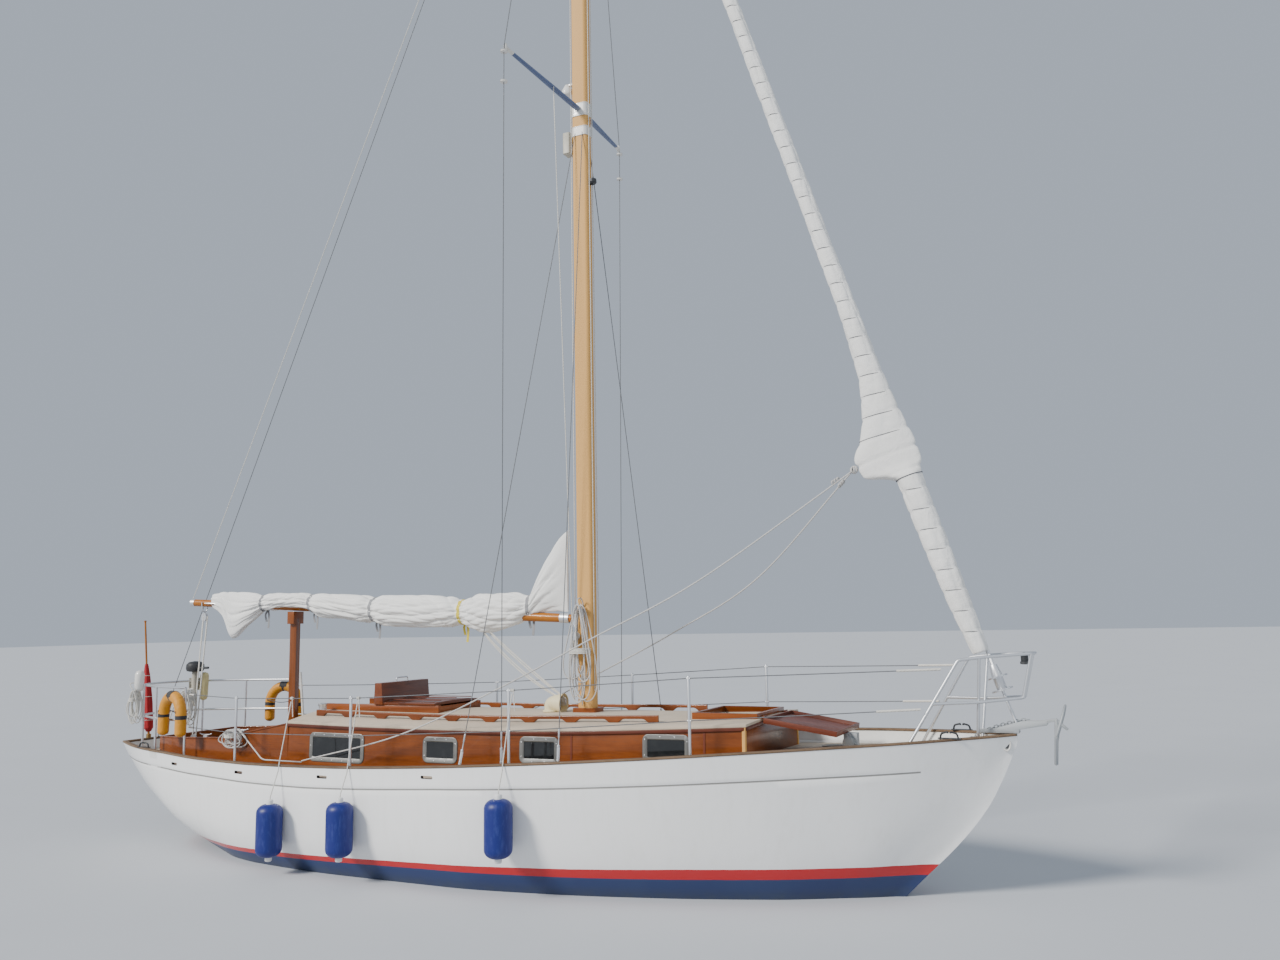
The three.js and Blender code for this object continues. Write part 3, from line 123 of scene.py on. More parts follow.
def sagging(start: Point, end: Point, drop: float, count: int = 40) -> Array:
    """A slack line between two points: a straight line lowered by a parabola, deepest in the middle.

    Args:
        start: Its first point.
        end: Its last point.
        drop: How far its middle hangs below the straight line.
        count: How many points to give back.
    Returns:
        The line's points.
    """
    t = np.linspace(0, 1, count)[:, None]
    return np.asarray(start) * (1 - t) + np.asarray(end) * t - np.array([0, 0, 4 * drop]) * t * (1 - t)


def eased(line: Array, reach: int) -> Array:
    """A line whose kinks are rounded: each point becomes the mean of its neighbours, twice over.

    Args:
        line: Its points.
        reach: How many neighbours count on each side.
    Returns:
        As many points.
    """
    window = np.ones(2 * reach + 1) / (2 * reach + 1)
    for _ in range(2):
        wider = np.pad(line, ((reach, reach), (0, 0)), "edge")
        line = np.stack([np.convolve(wider[:, c], window, "valid") for c in range(3)], 1)
    return line


def unit(vectors: Array) -> Array:
    """The same directions at a length of one."""
    return vectors / np.linalg.norm(vectors, axis=-1, keepdims=True)


def bearings(count: int) -> Array:
    """Even angles round a circle."""
    return np.linspace(0, 2 * math.pi, count, endpoint=False)


def circle(radius: float, sides: int) -> Array:
    """A round profile, sides by 2."""
    a = bearings(sides)
    return radius * np.stack([np.cos(a), np.sin(a)], 1)


def rectangle(half_width: float, half_height: float, corner: float, steps: int = 4) -> Array:
    """A rectangle's profile with round corners: each corner is a quarter circle about its own centre.

    Args:
        half_width: Half of its width.
        half_height: Half of its height.
        corner: The corners' radius.
        steps: Points in each corner.
    Returns:
        The profile, four times steps by 2.
    """
    quarter = np.linspace(0, math.pi / 2, steps)
    angles = (quarter + np.arange(4)[:, None] * math.pi / 2).ravel()
    signs = np.repeat([[1, 1], [-1, 1], [-1, -1], [1, -1]], steps, axis=0)
    centres = signs * [half_width - corner, half_height - corner]
    return centres + corner * np.stack([np.cos(angles), np.sin(angles)], 1)


def sweep(path: Array | Sequence[Point], profile: Array, up: Point | None = None) -> Array:
    """A profile carried along a path, square to it: point = path + sideways * profile x + up * profile y.

    Args:
        path: The path's points, m by 3.
        profile: The profile, n by 2, or one for each point, m by n by 2.
        up: A direction that the profile's second axis leans towards; without one, the direction in
            which the path turns least.
    Returns:
        The rings, m by n by 3.
    """
    path = np.asarray(path, float)
    along = unit(np.gradient(path, axis=0))
    if up is None:
        up = np.linalg.eigh(along.T @ along)[1][:, 0]
    side = unit(np.cross(along, np.asarray(up, float)))
    rise = np.cross(side, along)
    profile = np.broadcast_to(profile, (len(path), *np.shape(profile)[-2:]))
    return path[:, None] + side[:, None] * profile[..., :1] + rise[:, None] * profile[..., 1:]


def tube(path: Array | Sequence[Point], radius: float | Array, sides: int = 12) -> Array:
    """A round tube along a path, with one radius or one for each point."""
    return sweep(path, np.multiply.outer(np.broadcast_to(radius, len(path)), circle(1, sides)))


def lathe(profile: Sequence[Point], base: Point, axis: Point = (0, 0, 1), sides: int = 32) -> Array:
    """A turned form: point = base + axis * height + radius * (cosine, sine) across the axis.

    Args:
        profile: Rows of radius and height.
        base: Where height is nought.
        axis: The turning's axis.
        sides: Points round it.
    Returns:
        The rings, one for each row.
    """
    rows = np.asarray(profile, float)
    z = unit(np.asarray(axis, float))
    x = unit(np.cross(z, [0, 1, 0] if abs(z[1]) < 0.9 else [1, 0, 0]))
    section = circle(1, sides)
    round_it = section[:, :1] * x + section[:, 1:] * np.cross(z, x)
    return np.asarray(base) + rows[:, 1, None, None] * z + rows[:, 0, None, None] * round_it


def slab(outline: Array, axis: Axis, low: float, high: float) -> Array:
    """A flat outline in the plane across an axis, as thick as low to high.

    Args:
        outline: The outline's points, n by 2, in the order of the other two axes.
        axis: The axis that it is thick along.
        low: Its first face.
        high: Its last face.
    Returns:
        Two rings, 2 by n by 3.
    """
    outline = np.asarray(outline, float)
    return np.stack([np.insert(outline, axis.value, level, axis=1) for level in (low, high)])


def block(low: Point, high: Point) -> Array:
    """A box between two corners, as two rings."""
    (x0, y0, z0), (x1, y1, z1) = low, high
    return slab([(x0, y0), (x1, y0), (x1, y1), (x0, y1)], Axis.Z, z0, z1)


def mirrored(rings: Array) -> Array:
    """The same rings on the other side of the centreline."""
    return rings * [1, -1, 1]


class Shape:
    """Gathers closed grids of points into one mesh."""

    def __init__(self) -> None:
        """Starts empty."""
        self.points: list[Array] = []
        self.faces: list[list[int]] = []
        self.marks: list[int] = []
        self.uvs: list[Array] = []
        self.count = 0

    def add(self, rings: Array, mark: int = 0, hoop: bool = False, turn: float = 1.0) -> "Shape":
        """Adds rings joined into a skin, closed round each ring and capped at both ends.

        Args:
            rings: The rings, m by n by 3.
            mark: Which of the piece's finishes it has.
            hoop: Whether the last ring joins the first, in place of caps.
            turn: What the UV map's first value grows to round a ring; the second is in metres.
        Returns:
            This shape, so that calls can follow each other.
        """
        rings = np.asarray(rings, float)
        m, n = rings.shape[:2]
        rows = m if hoop else m - 1
        i, k = (a.ravel() for a in np.meshgrid(np.arange(rows), np.arange(n), indexing="ij"))
        after, beside = (i + 1) % m, (k + 1) % n
        quads = np.stack([i * n + k, i * n + beside, after * n + beside, after * n + k], 1)
        steps = np.linalg.norm(np.diff(rings.mean(1), axis=0), axis=1)
        if m == 2 or steps.sum() < 1e-6:
            steps = np.linalg.norm(np.diff(rings, axis=0), axis=2).max(1)
        run = np.r_[0, np.cumsum(steps), steps.sum() + (steps.mean() if hoop else 0)]
        uv = np.stack([
            np.stack([k, k + 1, k + 1, k], 1) * turn / n,
            np.stack([run[i], run[i], run[i + 1], run[i + 1]], 1),
        ], 2)
        flat = rings.reshape(-1, 3) - rings.reshape(-1, 3).mean(0)
        a, b, c, d = (flat[quads[:, j]] for j in range(4))
        volume = np.sum(a * np.cross(b, c)) + np.sum(a * np.cross(c, d))
        caps = [] if hoop else [np.arange(n)[::-1], (m - 1) * n + np.arange(n)]
        for cap in caps:
            fan = flat[cap]
            volume += np.sum(fan[0] * np.cross(fan[1:-1], fan[2:]))
        if volume < 0:
            quads, uv = quads[:, ::-1], uv[:, ::-1]
            caps = [cap[::-1] for cap in caps]
        self.points.append(rings.reshape(-1, 3))
        self.faces += (quads + self.count).tolist() + [(cap + self.count).tolist() for cap in caps]
        self.marks += [mark] * (len(quads) + len(caps))
        self.uvs += [uv.reshape(-1, 2)] + [circle(0.01, n) for _ in caps]
        self.count += m * n
        return self

    def both(self, rings: Array, mark: int = 0, **options: float) -> "Shape":
        """Adds rings and their mirror image across the centreline."""
        return self.add(rings, mark, **options).add(mirrored(np.asarray(rings, float)), mark, **options)

    def mesh(self, name: str, crease: float) -> bpy.types.Mesh:
        """Makes the mesh.

        Args:
            name: The mesh's name.
            crease: Degrees at which two faces meet in a hard edge.
        Returns:
            The mesh, with its UV map.
        """
        mesh = bpy.data.meshes.new(name)
        mesh.from_pydata(np.vstack(self.points).tolist(), [], self.faces)
        mesh.uv_layers.new(name="UVMap").data.foreach_set("uv", np.vstack(self.uvs).ravel())
        mesh.polygons.foreach_set("material_index", self.marks)
        mesh.polygons.foreach_set("use_smooth", [True] * len(self.faces))
        mesh.update()
        mesh.set_sharp_from_angle(angle=math.radians(crease))
        return mesh

    def build(self, name: str, finish: "Finish | Sequence[Finish]", slot: str, body: str = "hull",
              replaces: Sequence[str] = (), bevel: float = 0.0, crease: float = 40.0) -> bpy.types.Object:
        """Makes the piece, dresses it and sets it on its body.

        Args:
            name: The piece's name.
            finish: Its finish, or one for each mark.
            slot: The record's material slot; not used.
            body: The body that it rides on, or nothing for a piece left unattached.
            replaces: The frame's nodes that it stands for.
            bevel: Width of its rounded edges.
            crease: Degrees at which an edge stays hard.
        Returns:
            The piece.
        """
        piece = bpy.data.objects.new(name, self.mesh(name, crease))
        bpy.context.scene.collection.objects.link(piece)
        for one in finish if isinstance(finish, (list, tuple)) else [finish]:
            piece.data.materials.append(one.material())
        if bevel:
            round_edges(piece, bevel)
        if body:
            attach(piece, body)
        if replaces:
            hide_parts(*replaces)
        LOG.info("%s: %d faces", name, len(self.faces))
        return piece


def round_edges(piece: bpy.types.Object, width: float) -> None:
    """Rounds a piece's edges that are sharper than 35 degrees with a live bevel.

    Args:
        piece: The piece.
        width: The bevel's width.
    """
    bevel = piece.modifiers.new("edges", "BEVEL")
    bevel.width = width
    bevel.segments = 2
    bevel.limit_method = "ANGLE"
    bevel.angle_limit = math.radians(35)
    bevel.harden_normals = False


def carve(rings: Shape, cutters: Sequence[Shape], name: str) -> bpy.types.Mesh:
    """Cuts shapes out of a shape.

    Args:
        rings: The shape that is cut.
        cutters: The shapes that are taken away.
        name: The new mesh's name.
    Returns:
        The mesh that is left.
    """
    scene = bpy.context.scene
    body = bpy.data.objects.new(name, rings.mesh(name + "_solid", 40))
    tools = [bpy.data.objects.new(f"{name}_cut_{i}", c.mesh("cut", 40)) for i, c in enumerate(cutters)]
    for piece in (body, *tools):
        scene.collection.objects.link(piece)
    for tool in tools:
        cut = body.modifiers.new("cut", "BOOLEAN")
        cut.object = tool
        cut.operation = "DIFFERENCE"
        cut.solver = "MANIFOLD"
    bpy.context.view_layer.update()
    mesh = bpy.data.meshes.new_from_object(body.evaluated_get(bpy.context.evaluated_depsgraph_get()))
    for piece in (body, *tools):
        bpy.data.objects.remove(piece)
    mesh.name = name
    mesh.polygons.foreach_set("use_smooth", [True] * len(mesh.polygons))
    mesh.set_sharp_from_angle(angle=math.radians(35))
    return mesh


# Shader nodes

Socket = bpy.types.NodeSocket


class Graph:
    """Adds nodes to one node tree and links them."""

    def __init__(self, tree: bpy.types.NodeTree) -> None:
        """Works on a tree."""
        self.tree = tree

    def add(self, kind: str, inputs: dict | None = None, **settings: object) -> bpy.types.Node:
        """Adds a node.

        Args:
            kind: The node's type, without the word ShaderNode.
            inputs: Values or sockets for its inputs, by name or number.
            settings: The node's own properties.
        Returns:
            The node.
        """
        node = self.tree.nodes.new("ShaderNode" + kind)
        for key, value in settings.items():
            setattr(node, key, value)
        self.fill(node, inputs or {})
        return node

    def fill(self, node: bpy.types.Node, inputs: dict) -> None:
        """Links sockets to a node's inputs and sets the values of the others.

        Args:
            node: The node.
            inputs: Values or sockets, by the input's name or number.
        """
        for key, value in inputs.items():
            if isinstance(value, bpy.types.NodeSocket):
                self.tree.links.new(value, node.inputs[key])
            else:
                node.inputs[key].default_value = value

    def math(self, operation: str, a: Socket | float, b: Socket | float = 0.0) -> Socket:
        """The result of a Math node."""
        return self.add("Math", {0: a, 1: b}, operation=operation).outputs[0]

    def times(self, a: Socket | float, b: Socket | float) -> Socket:
        """The product of two values."""
        return self.math("MULTIPLY", a, b)

    def mix(self, mask: Socket | float, a: Socket | Sequence[float], b: Socket | Sequence[float]) -> Socket:
        """Two colours mixed by a mask."""
        node = self.add("Mix", {0: mask, 6: rgba(a), 7: rgba(b)}, data_type="RGBA")
        return node.outputs[2]

    def remap(self, value: Socket, low: float, high: float, to_low: float, to_high: float) -> Socket:
        """A value's span from low to high, laid on another span and held inside it."""
        inputs = {0: value, 1: low, 2: high, 3: to_low, 4: to_high}
        return self.add("MapRange", inputs, clamp=True).outputs[0]

    def ramp(self, value: Socket, stops: Sequence[tuple[float, float]]) -> Socket:
        """A value read off a line through stops.

        Args:
            value: Where the line is read, from 0 to 1.
            stops: Rows of place and height, both between 0 and 1.
        Returns:
            The line's height there.
        """
        node = self.add("ValToRGB", {0: value})
        ramp = node.color_ramp
        for place, height in stops[1:-1]:
            ramp.elements.new(place).color = (height, height, height, 1)
        for element, (place, height) in ((ramp.elements[0], stops[0]), (ramp.elements[-1], stops[-1])):
            element.position = place
            element.color = (height, height, height, 1)
        return node.outputs[0]

    def noise(self, vector: Socket, scale: float | Socket, detail: float = 4.0, rough: float = 0.5,
              warp: float = 0.0) -> Socket:
        """A Noise Texture's value."""
        inputs = {"Vector": vector, "Scale": scale, "Detail": detail, "Roughness": rough, "Distortion": warp}
        return self.add("TexNoise", inputs).outputs[0]

    def place(self, name: str = "Object") -> Socket:
        """The piece's own coordinates."""
        return self.add("TexCoord").outputs[name]

    def stretch(self, vector: Socket, scale: Sequence[float]) -> Socket:
        """A vector scaled along each axis."""
        return self.add("Mapping", {"Vector": vector, "Scale": tuple(scale)}).outputs[0]

    def bump(self, height: Socket, distance: float, strength: float = 1.0,
             normal: Socket | None = None) -> Socket:
        """A normal raised by a height.

        Args:
            height: The height, from 0 to 1.
            distance: What a height of 1 stands for, in metres.
            strength: How much of it shows.
            normal: The normal that it is added to, if not the face's own.
        Returns:
            The new normal.
        """
        inputs = {"Height": height, "Distance": distance, "Strength": strength}
        if normal:
            inputs["Normal"] = normal
        return self.add("Bump", inputs).outputs[0]

    def group(self, tree: bpy.types.NodeTree, inputs: dict) -> bpy.types.Node:
        """Places a shared node group with its values."""
        return self.add("Group", inputs, node_tree=tree)


def rgba(colour: Socket | Sequence[float]) -> Socket | Sequence[float]:
    """A colour with its alpha; a socket stays as it is."""
    return colour if isinstance(colour, bpy.types.NodeSocket) or len(colour) == 4 else (*colour, 1.0)


def shared_group(name: str, inputs: dict[str, str], outputs: dict[str, str]) -> tuple:
    """Starts a shader node group.

    Args:
        name: The group's name.
        inputs: Socket kind of each input.
        outputs: Socket kind of each output.
    Returns:
        The tree, its graph, its input node and its output node.
    """
    tree = bpy.data.node_groups.new(name, "ShaderNodeTree")
    for way, sockets in (("INPUT", inputs), ("OUTPUT", outputs)):
        for key, kind in sockets.items():
            tree.interface.new_socket(key, in_out=way, socket_type="NodeSocket" + kind)
    return tree, Graph(tree), tree.nodes.new("NodeGroupInput"), tree.nodes.new("NodeGroupOutput")


def grain_group() -> bpy.types.NodeTree:
    """Wood: wavy figure from stretched noise, and fine pores from noise stretched far more.

    Returns:
        The group's tree.
    """
    tree, g, given, out = shared_group(
        "Grain", {"Vector": "Vector", "Scale": "Float"}, {"Figure": "Float", "Pores": "Float"})
    warp = g.noise(given.outputs["Vector"], 0.9, 2.0)
    bent = g.add("VectorMath", {0: given.outputs["Vector"], 1: warp}, operation="ADD").outputs[0]
    rings = g.noise(bent, given.outputs["Scale"], 5.0, 0.6, 0.6)
    figure = g.math("SINE", g.times(rings, 22.0))
    fine = g.noise(given.outputs["Vector"], g.times(given.outputs["Scale"], 9.0), 3.0, 0.7)
    broad = g.remap(g.noise(bent, g.times(given.outputs["Scale"], 0.35), 3.0), 0.3, 0.7, 0, 1)
    both = g.math("ADD", g.times(g.remap(figure, -1, 1, 0, 1), 0.45), g.times(broad, 0.55))
    g.fill(out, {"Figure": both, "Pores": g.remap(fine, 0.52, 0.72, 0, 1)})
    return tree


def wear_group() -> bpy.types.NodeTree:
    """Wear: worn edges where the surface is pointed, broken up by noise, and soft patches of dirt.

    Returns:
        The group's tree.
    """
    tree, g, given, out = shared_group(
        "Wear", {"Vector": "Vector", "Scale": "Float"}, {"Edges": "Float", "Patches": "Float"})
    pointed = g.add("NewGeometry").outputs["Pointiness"]
    broken = g.noise(given.outputs["Vector"], g.times(given.outputs["Scale"], 6.0), 5.0, 0.65)
    edge = g.remap(g.math("ADD", pointed, g.times(broken, 0.06)), 0.55, 0.62, 0, 1)
    patches = g.remap(g.noise(given.outputs["Vector"], given.outputs["Scale"], 6.0, 0.6), 0.42, 0.68, 0, 1)
    g.fill(out, {"Edges": edge, "Patches": patches})
    return tree


def weave_group() -> bpy.types.NodeTree:
    """Cloth: two sets of threads that cross, each a sine across its own axis, and their soft creases.

    Returns:
        The group's tree.
    """
    tree, g, given, out = shared_group(
        "Weave", {"Vector": "Vector", "Threads": "Float"}, {"Height": "Float", "Creases": "Float"})
    parts = g.add("SeparateXYZ", {0: given.outputs["Vector"]}).outputs
    waves = [g.math("SINE", g.times(parts[i], given.outputs["Threads"])) for i in (0, 1, 2)]
    cross = g.math("MAXIMUM", g.times(waves[0], waves[1]), g.times(waves[1], waves[2]))
    creases = g.noise(given.outputs["Vector"], 9.0, 6.0, 0.6, 1.2)
    g.fill(out, {"Height": cross, "Creases": g.remap(creases, 0.35, 0.7, 0, 1)})
    return tree


GROUPS = {"grain": grain_group(), "wear": wear_group(), "weave": weave_group()}


# Finishes

@dataclass(frozen=True)
class Finish:
    """A surface finish: its name, colour and roughness."""
    name: str
    colour: Triple
    roughness: float = 0.5

    def material(self) -> bpy.types.Material:
        """The finish's material, made the first time that it is asked for.

        Returns:
            The material.
        """
        found = bpy.data.materials.get(self.name)
        if found:
            return found
        material = bpy.data.materials.new(self.name)
        material.use_nodes = True
        material.diffuse_color = rgba(self.colour)
        graph = Graph(material.node_tree)
        shader = material.node_tree.nodes["Principled BSDF"]
        shader.inputs["Roughness"].default_value = self.roughness
        self.dress(graph, shader)
        return material

    def dress(self, g: Graph, shader: bpy.types.Node) -> None:
        """Links the finish's nodes to the shader; each finish has its own."""
        raise NotImplementedError

    def link(self, g: Graph, shader: bpy.types.Node, **inputs: Socket | float) -> None:
        """Fills the shader's inputs, named with underscores for spaces."""
        g.fill(shader, {name.replace("_", " "): value for name, value in inputs.items()})


def scaled(colour: Sequence[float], factor: float) -> tuple[float, ...]:
    """A colour made lighter or darker by a factor."""
    return tuple(c * factor for c in colour)


@dataclass(frozen=True)
class Paint(Finish):
    """Brushed paint: faint brush marks, soft patches and chipped edges over wood."""
    coat: float = 0.0
    worn: Triple = (0.4, 0.3, 0.2)
    wear: float = 0.3
    uneven: float = 0.08

    def dress(self, g: Graph, shader: bpy.types.Node) -> None:
        """Colour with patches and worn edges, and a low bump of brush marks.

        Args:
            g: The material's nodes.
            shader: Its Principled BSDF.
        """
        at = g.place()
        wear = g.group(GROUPS["wear"], {"Vector": at, "Scale": 3.0}).outputs
        darker = scaled(self.colour, 1 - 2 * self.uneven)
        colour = g.mix(g.times(wear["Patches"], 0.8), self.colour, darker)
        colour = g.mix(g.times(wear["Edges"], self.wear), colour, self.worn)
        brush = g.noise(g.stretch(at, (3, 3, 40)), 6.0, 4.0, 0.6)
        rough = g.remap(wear["Patches"], 0, 1, self.roughness * 0.85, min(1, self.roughness * 1.25))
        self.link(g, shader, Base_Color=colour, Roughness=rough, Normal=g.bump(brush, 0.0006, 0.5),
                  Coat_Weight=self.coat, Coat_Roughness=0.06)


@dataclass(frozen=True)
class Ground(Finish):
    """A matt floor, even but for a faint mottle."""

    def dress(self, g: Graph, shader: bpy.types.Node) -> None:
        """Fills the shader with the colour and one slightly darker, in broad soft patches."""
        patches = g.remap(g.noise(g.place(), 0.5, 3.0, 0.5), 0.35, 0.65, 0, 1)
        self.link(g, shader, Base_Color=g.mix(patches, self.colour, scaled(self.colour, 0.98)))


@dataclass(frozen=True)
class HullPaint(Finish):
    """The planked side: gloss white, a red boot band, and navy below it, by height and place."""
    band: Triple = (0.50, 0.008, 0.012)
    bottom: Triple = (0.012, 0.030, 0.115)
    top_line: tuple[tuple[float, float], ...] = (
        (-5.0, 0.118), (-3.6, 0.130), (-2.0, 0.160), (-0.26, 0.205), (2.15, 0.262), (3.5, 0.270), (5.0, 0.27))
    width_line: tuple[tuple[float, float], ...] = (
        (-5.0, 0.035), (-3.6, 0.038), (-0.26, 0.052), (2.15, 0.088), (5.0, 0.088))

    def dress(self, g: Graph, shader: bpy.types.Node) -> None:
        """Zones from the Object height against lines that rise towards the bow.

        Args:
            g: The material's nodes.
            shader: Its Principled BSDF.
        """
        at = g.place()
        parts = g.add("SeparateXYZ", {0: at}).outputs
        along = g.remap(parts["X"], -5, 5, 0, 1)
        stops = [[((x + 5) / 10, z) for x, z in line] for line in (self.top_line, self.width_line)]
        top, width = (g.ramp(along, line) for line in stops)
        ragged = g.times(g.math("SUBTRACT", g.noise(at, 9.0, 3.0), 0.5), 0.006)
        height = g.math("ADD", parts["Z"], ragged)
        below_top = g.math("LESS_THAN", height, top)
        below_band = g.math("LESS_THAN", height, g.math("SUBTRACT", top, width))
        wear = g.group(GROUPS["wear"], {"Vector": g.stretch(at, (1, 1, 0.35)), "Scale": 1.6}).outputs
        streaks = g.remap(g.noise(g.stretch(at, (6, 6, 0.5)), 2.2, 5.0, 0.65), 0.5, 0.85, 0, 0.35)
        white = g.mix(streaks, self.colour, (0.74, 0.73, 0.68))
        scum = g.remap(parts["Z"], 0.0, 0.10, 0.55, 0.0)
        navy = g.mix(g.times(wear["Patches"], 0.6), self.bottom, (0.02, 0.045, 0.13))
        navy = g.mix(g.times(scum, g.noise(at, 14.0, 6.0)), navy, (0.07, 0.075, 0.03))
        colour = g.mix(below_top, white, self.band)
        colour = g.mix(below_band, colour, navy)
        planks = g.math("PINGPONG", g.times(parts["Z"], 8.0), 0.5)
        seams = g.remap(planks, 0.0, 0.02, 0, 1)
        fair = g.noise(g.stretch(at, (0.5, 0.5, 1.5)), 2.0, 3.0, 0.5)
        normal = g.bump(seams, 0.0003, 0.35, g.bump(fair, 0.012, 0.35))
        rough = g.remap(below_band, 0, 1, 0.16, 0.62)
        self.link(g, shader, Base_Color=colour, Roughness=rough, Normal=normal,
                  Coat_Weight=0.35, Coat_Roughness=0.05)


@dataclass(frozen=True)
class Varnish(Finish):
    """Varnished wood: figure and pores along its grain, patches of colour, worn edges, a clear coat."""
    dark: Triple = (0.2, 0.05, 0.01)
    grain: Axis = Axis.X
    coat: float = 0.8
    plank: float = 0.0

    def dress(self, g: Graph, shader: bpy.types.Node) -> None:
        """Grain stretched along one axis; planks of a width differ a little in colour.

        Args:
            g: The material's nodes.
            shader: Its Principled BSDF.
        """
        at = g.place()
        scale = [9.0, 9.0, 9.0]
        scale[self.grain.value] = 0.55
        long_grain = g.stretch(at, scale)
        grain = g.group(GROUPS["grain"], {"Vector": long_grain, "Scale": 1.0}).outputs
        wear = g.group(GROUPS["wear"], {"Vector": at, "Scale": 2.5}).outputs
        colour = g.mix(grain["Figure"], self.colour, self.dark)
        colour = g.mix(g.times(grain["Pores"], 0.55), colour, scaled(self.dark, 0.45))
        colour = g.mix(g.times(wear["Patches"], 0.22), colour, scaled(self.colour, 1.3))
        if self.plank:
            across = g.add("SeparateXYZ", {0: at}).outputs["Y" if self.grain is Axis.X else "X"]
            board = g.math("FLOOR", g.math("DIVIDE", across, self.plank))
            tone = g.add("TexWhiteNoise", {"W": board}, noise_dimensions="1D").outputs[0]
            colour = g.mix(g.times(tone, 0.35), colour, self.dark)
        colour = g.mix(g.times(wear["Edges"], 0.35), colour, scaled(self.colour, 1.5))
        rough = g.remap(grain["Pores"], 0, 1, self.roughness, min(1.0, self.roughness + 0.2))
        self.link(g, shader, Base_Color=colour, Roughness=rough, Normal=g.bump(grain["Pores"], 0.0004, 0.4),
                  Specular_IOR_Level=0.3, Coat_Weight=self.coat, Coat_Roughness=0.08)


@dataclass(frozen=True)
class Metal(Finish):
    """Metal: patches of tarnish and fine scratches."""
    tarnish: Triple = (0.3, 0.3, 0.3)
    patchy: float = 0.3
    pitted: float = 0.0

    def dress(self, g: Graph, shader: bpy.types.Node) -> None:
        """Tarnish in patches, rougher where it lies, over fine scratches or pits.

        Args:
            g: The material's nodes.
            shader: Its Principled BSDF.
        """
        at = g.place()
        wear = g.group(GROUPS["wear"], {"Vector": at, "Scale": 14.0}).outputs
        mask = g.times(wear["Patches"], self.patchy)
        colour = g.mix(mask, self.colour, self.tarnish)
        rough = g.remap(mask, 0, 1, self.roughness, min(1.0, self.roughness + 0.4))
        scratches = g.noise(g.stretch(at, (40, 40, 400)), 4.0, 3.0, 0.6)
        pits = g.noise(at, 260.0, 4.0, 0.7)
        normal = g.bump(pits, 0.0012, 0.25 + self.pitted, g.bump(scratches, 0.0001, 0.3))
        self.link(g, shader, Base_Color=colour, Roughness=rough, Normal=normal, Metallic=1.0)


@dataclass(frozen=True)
class Cloth(Finish):
    """Woven cloth: threads, creases and a soft sheen, with stains in soft patches."""
    stain: Triple = (0.62, 0.60, 0.55)
    stained: float = 0.35
    threads: float = 2400.0
    crease: float = 0.006

    def dress(self, g: Graph, shader: bpy.types.Node) -> None:
        """Thread bump over broad creases; stains follow soft patches.

        Args:
            g: The material's nodes.
            shader: Its Principled BSDF.
        """
        at = g.place()
        weave = g.group(GROUPS["weave"], {"Vector": at, "Threads": self.threads}).outputs
        wear = g.group(GROUPS["wear"], {"Vector": at, "Scale": 2.2}).outputs
        mask = g.times(wear["Patches"], self.stained)
        colour = g.mix(mask, self.colour, self.stain)
        creased = g.bump(weave["Creases"], self.crease, 0.5)
        rough = g.remap(mask, 0, 1, self.roughness, min(1.0, self.roughness + 0.1))
        normal = g.bump(weave["Height"], 0.0004, 0.5, creased)
        self.link(g, shader, Base_Color=colour, Roughness=rough, Normal=normal,
                  Sheen_Weight=0.12, Sheen_Roughness=0.5)


@dataclass(frozen=True)
class RopeLay(Finish):
    """Laid rope: strands that wind along the rope's own UV map, with a second colour in the grooves between
    strands: painted shade in the grooves, which on the flecked rope also carries its blue fleck.
    """
    fleck_and_groove_shade: Triple = (0.5, 0.48, 0.44)
    pitch: float = 0.03
    strands: float = 3.0

    def dress(self, g: Graph, shader: bpy.types.Node) -> None:
        """Height from the winding angle: round the rope plus its length over the pitch.

        Args:
            g: The material's nodes.
            shader: Its Principled BSDF.
        """
        parts = g.add("SeparateXYZ", {0: g.place("UV")}).outputs
        winding = g.math("ADD", g.times(parts["X"], self.strands),
                         g.math("DIVIDE", parts["Y"], self.pitch))
        strand = g.math("PINGPONG", winding, 0.5)
        dirt = g.noise(g.place(), 20.0, 4.0)
        # A second colour where the strands meet: painted shade in the grooves, and on the flecked rope its
        # blue fleck as well.
        fleck_and_groove_shade_mask = g.times(g.remap(strand, 0.0, 0.16, 1.0, 0.0), 0.85)
        colour = g.mix(fleck_and_groove_shade_mask, self.colour, self.fleck_and_groove_shade)
        colour = g.mix(g.remap(dirt, 0.4, 0.8, 0, 0.4), colour, scaled(self.colour, 0.6))
        rough = g.remap(dirt, 0, 1, self.roughness, min(1.0, self.roughness + 0.1))
        normal = g.bump(g.remap(strand, 0, 0.5, 0, 1), 0.002, 0.7)
        self.link(g, shader, Base_Color=colour, Roughness=rough, Normal=normal)


@dataclass(frozen=True)
class Vinyl(Finish):
    """Moulded vinyl or plastic: a fine pebble, scuffs and a thin bloom."""
    scuff: Triple = (0.1, 0.15, 0.45)
    scuffed: float = 0.3

    def dress(self, g: Graph, shader: bpy.types.Node) -> None:
        """Scuffs in upright streaks over a fine pebble.

        Args:
            g: The material's nodes.
            shader: Its Principled BSDF.
        """
        at = g.place()
        marks = g.remap(g.noise(g.stretch(at, (12, 12, 3)), 3.0, 6.0, 0.65), 0.5, 0.8, 0, self.scuffed)
        colour = g.mix(marks, self.colour, self.scuff)
        pebble = g.noise(at, 420.0, 2.0)
        rough = g.remap(marks, 0, 1, self.roughness, min(1.0, self.roughness + 0.3))
        self.link(g, shader, Base_Color=colour, Roughness=rough, Normal=g.bump(pebble, 0.0004, 0.35))


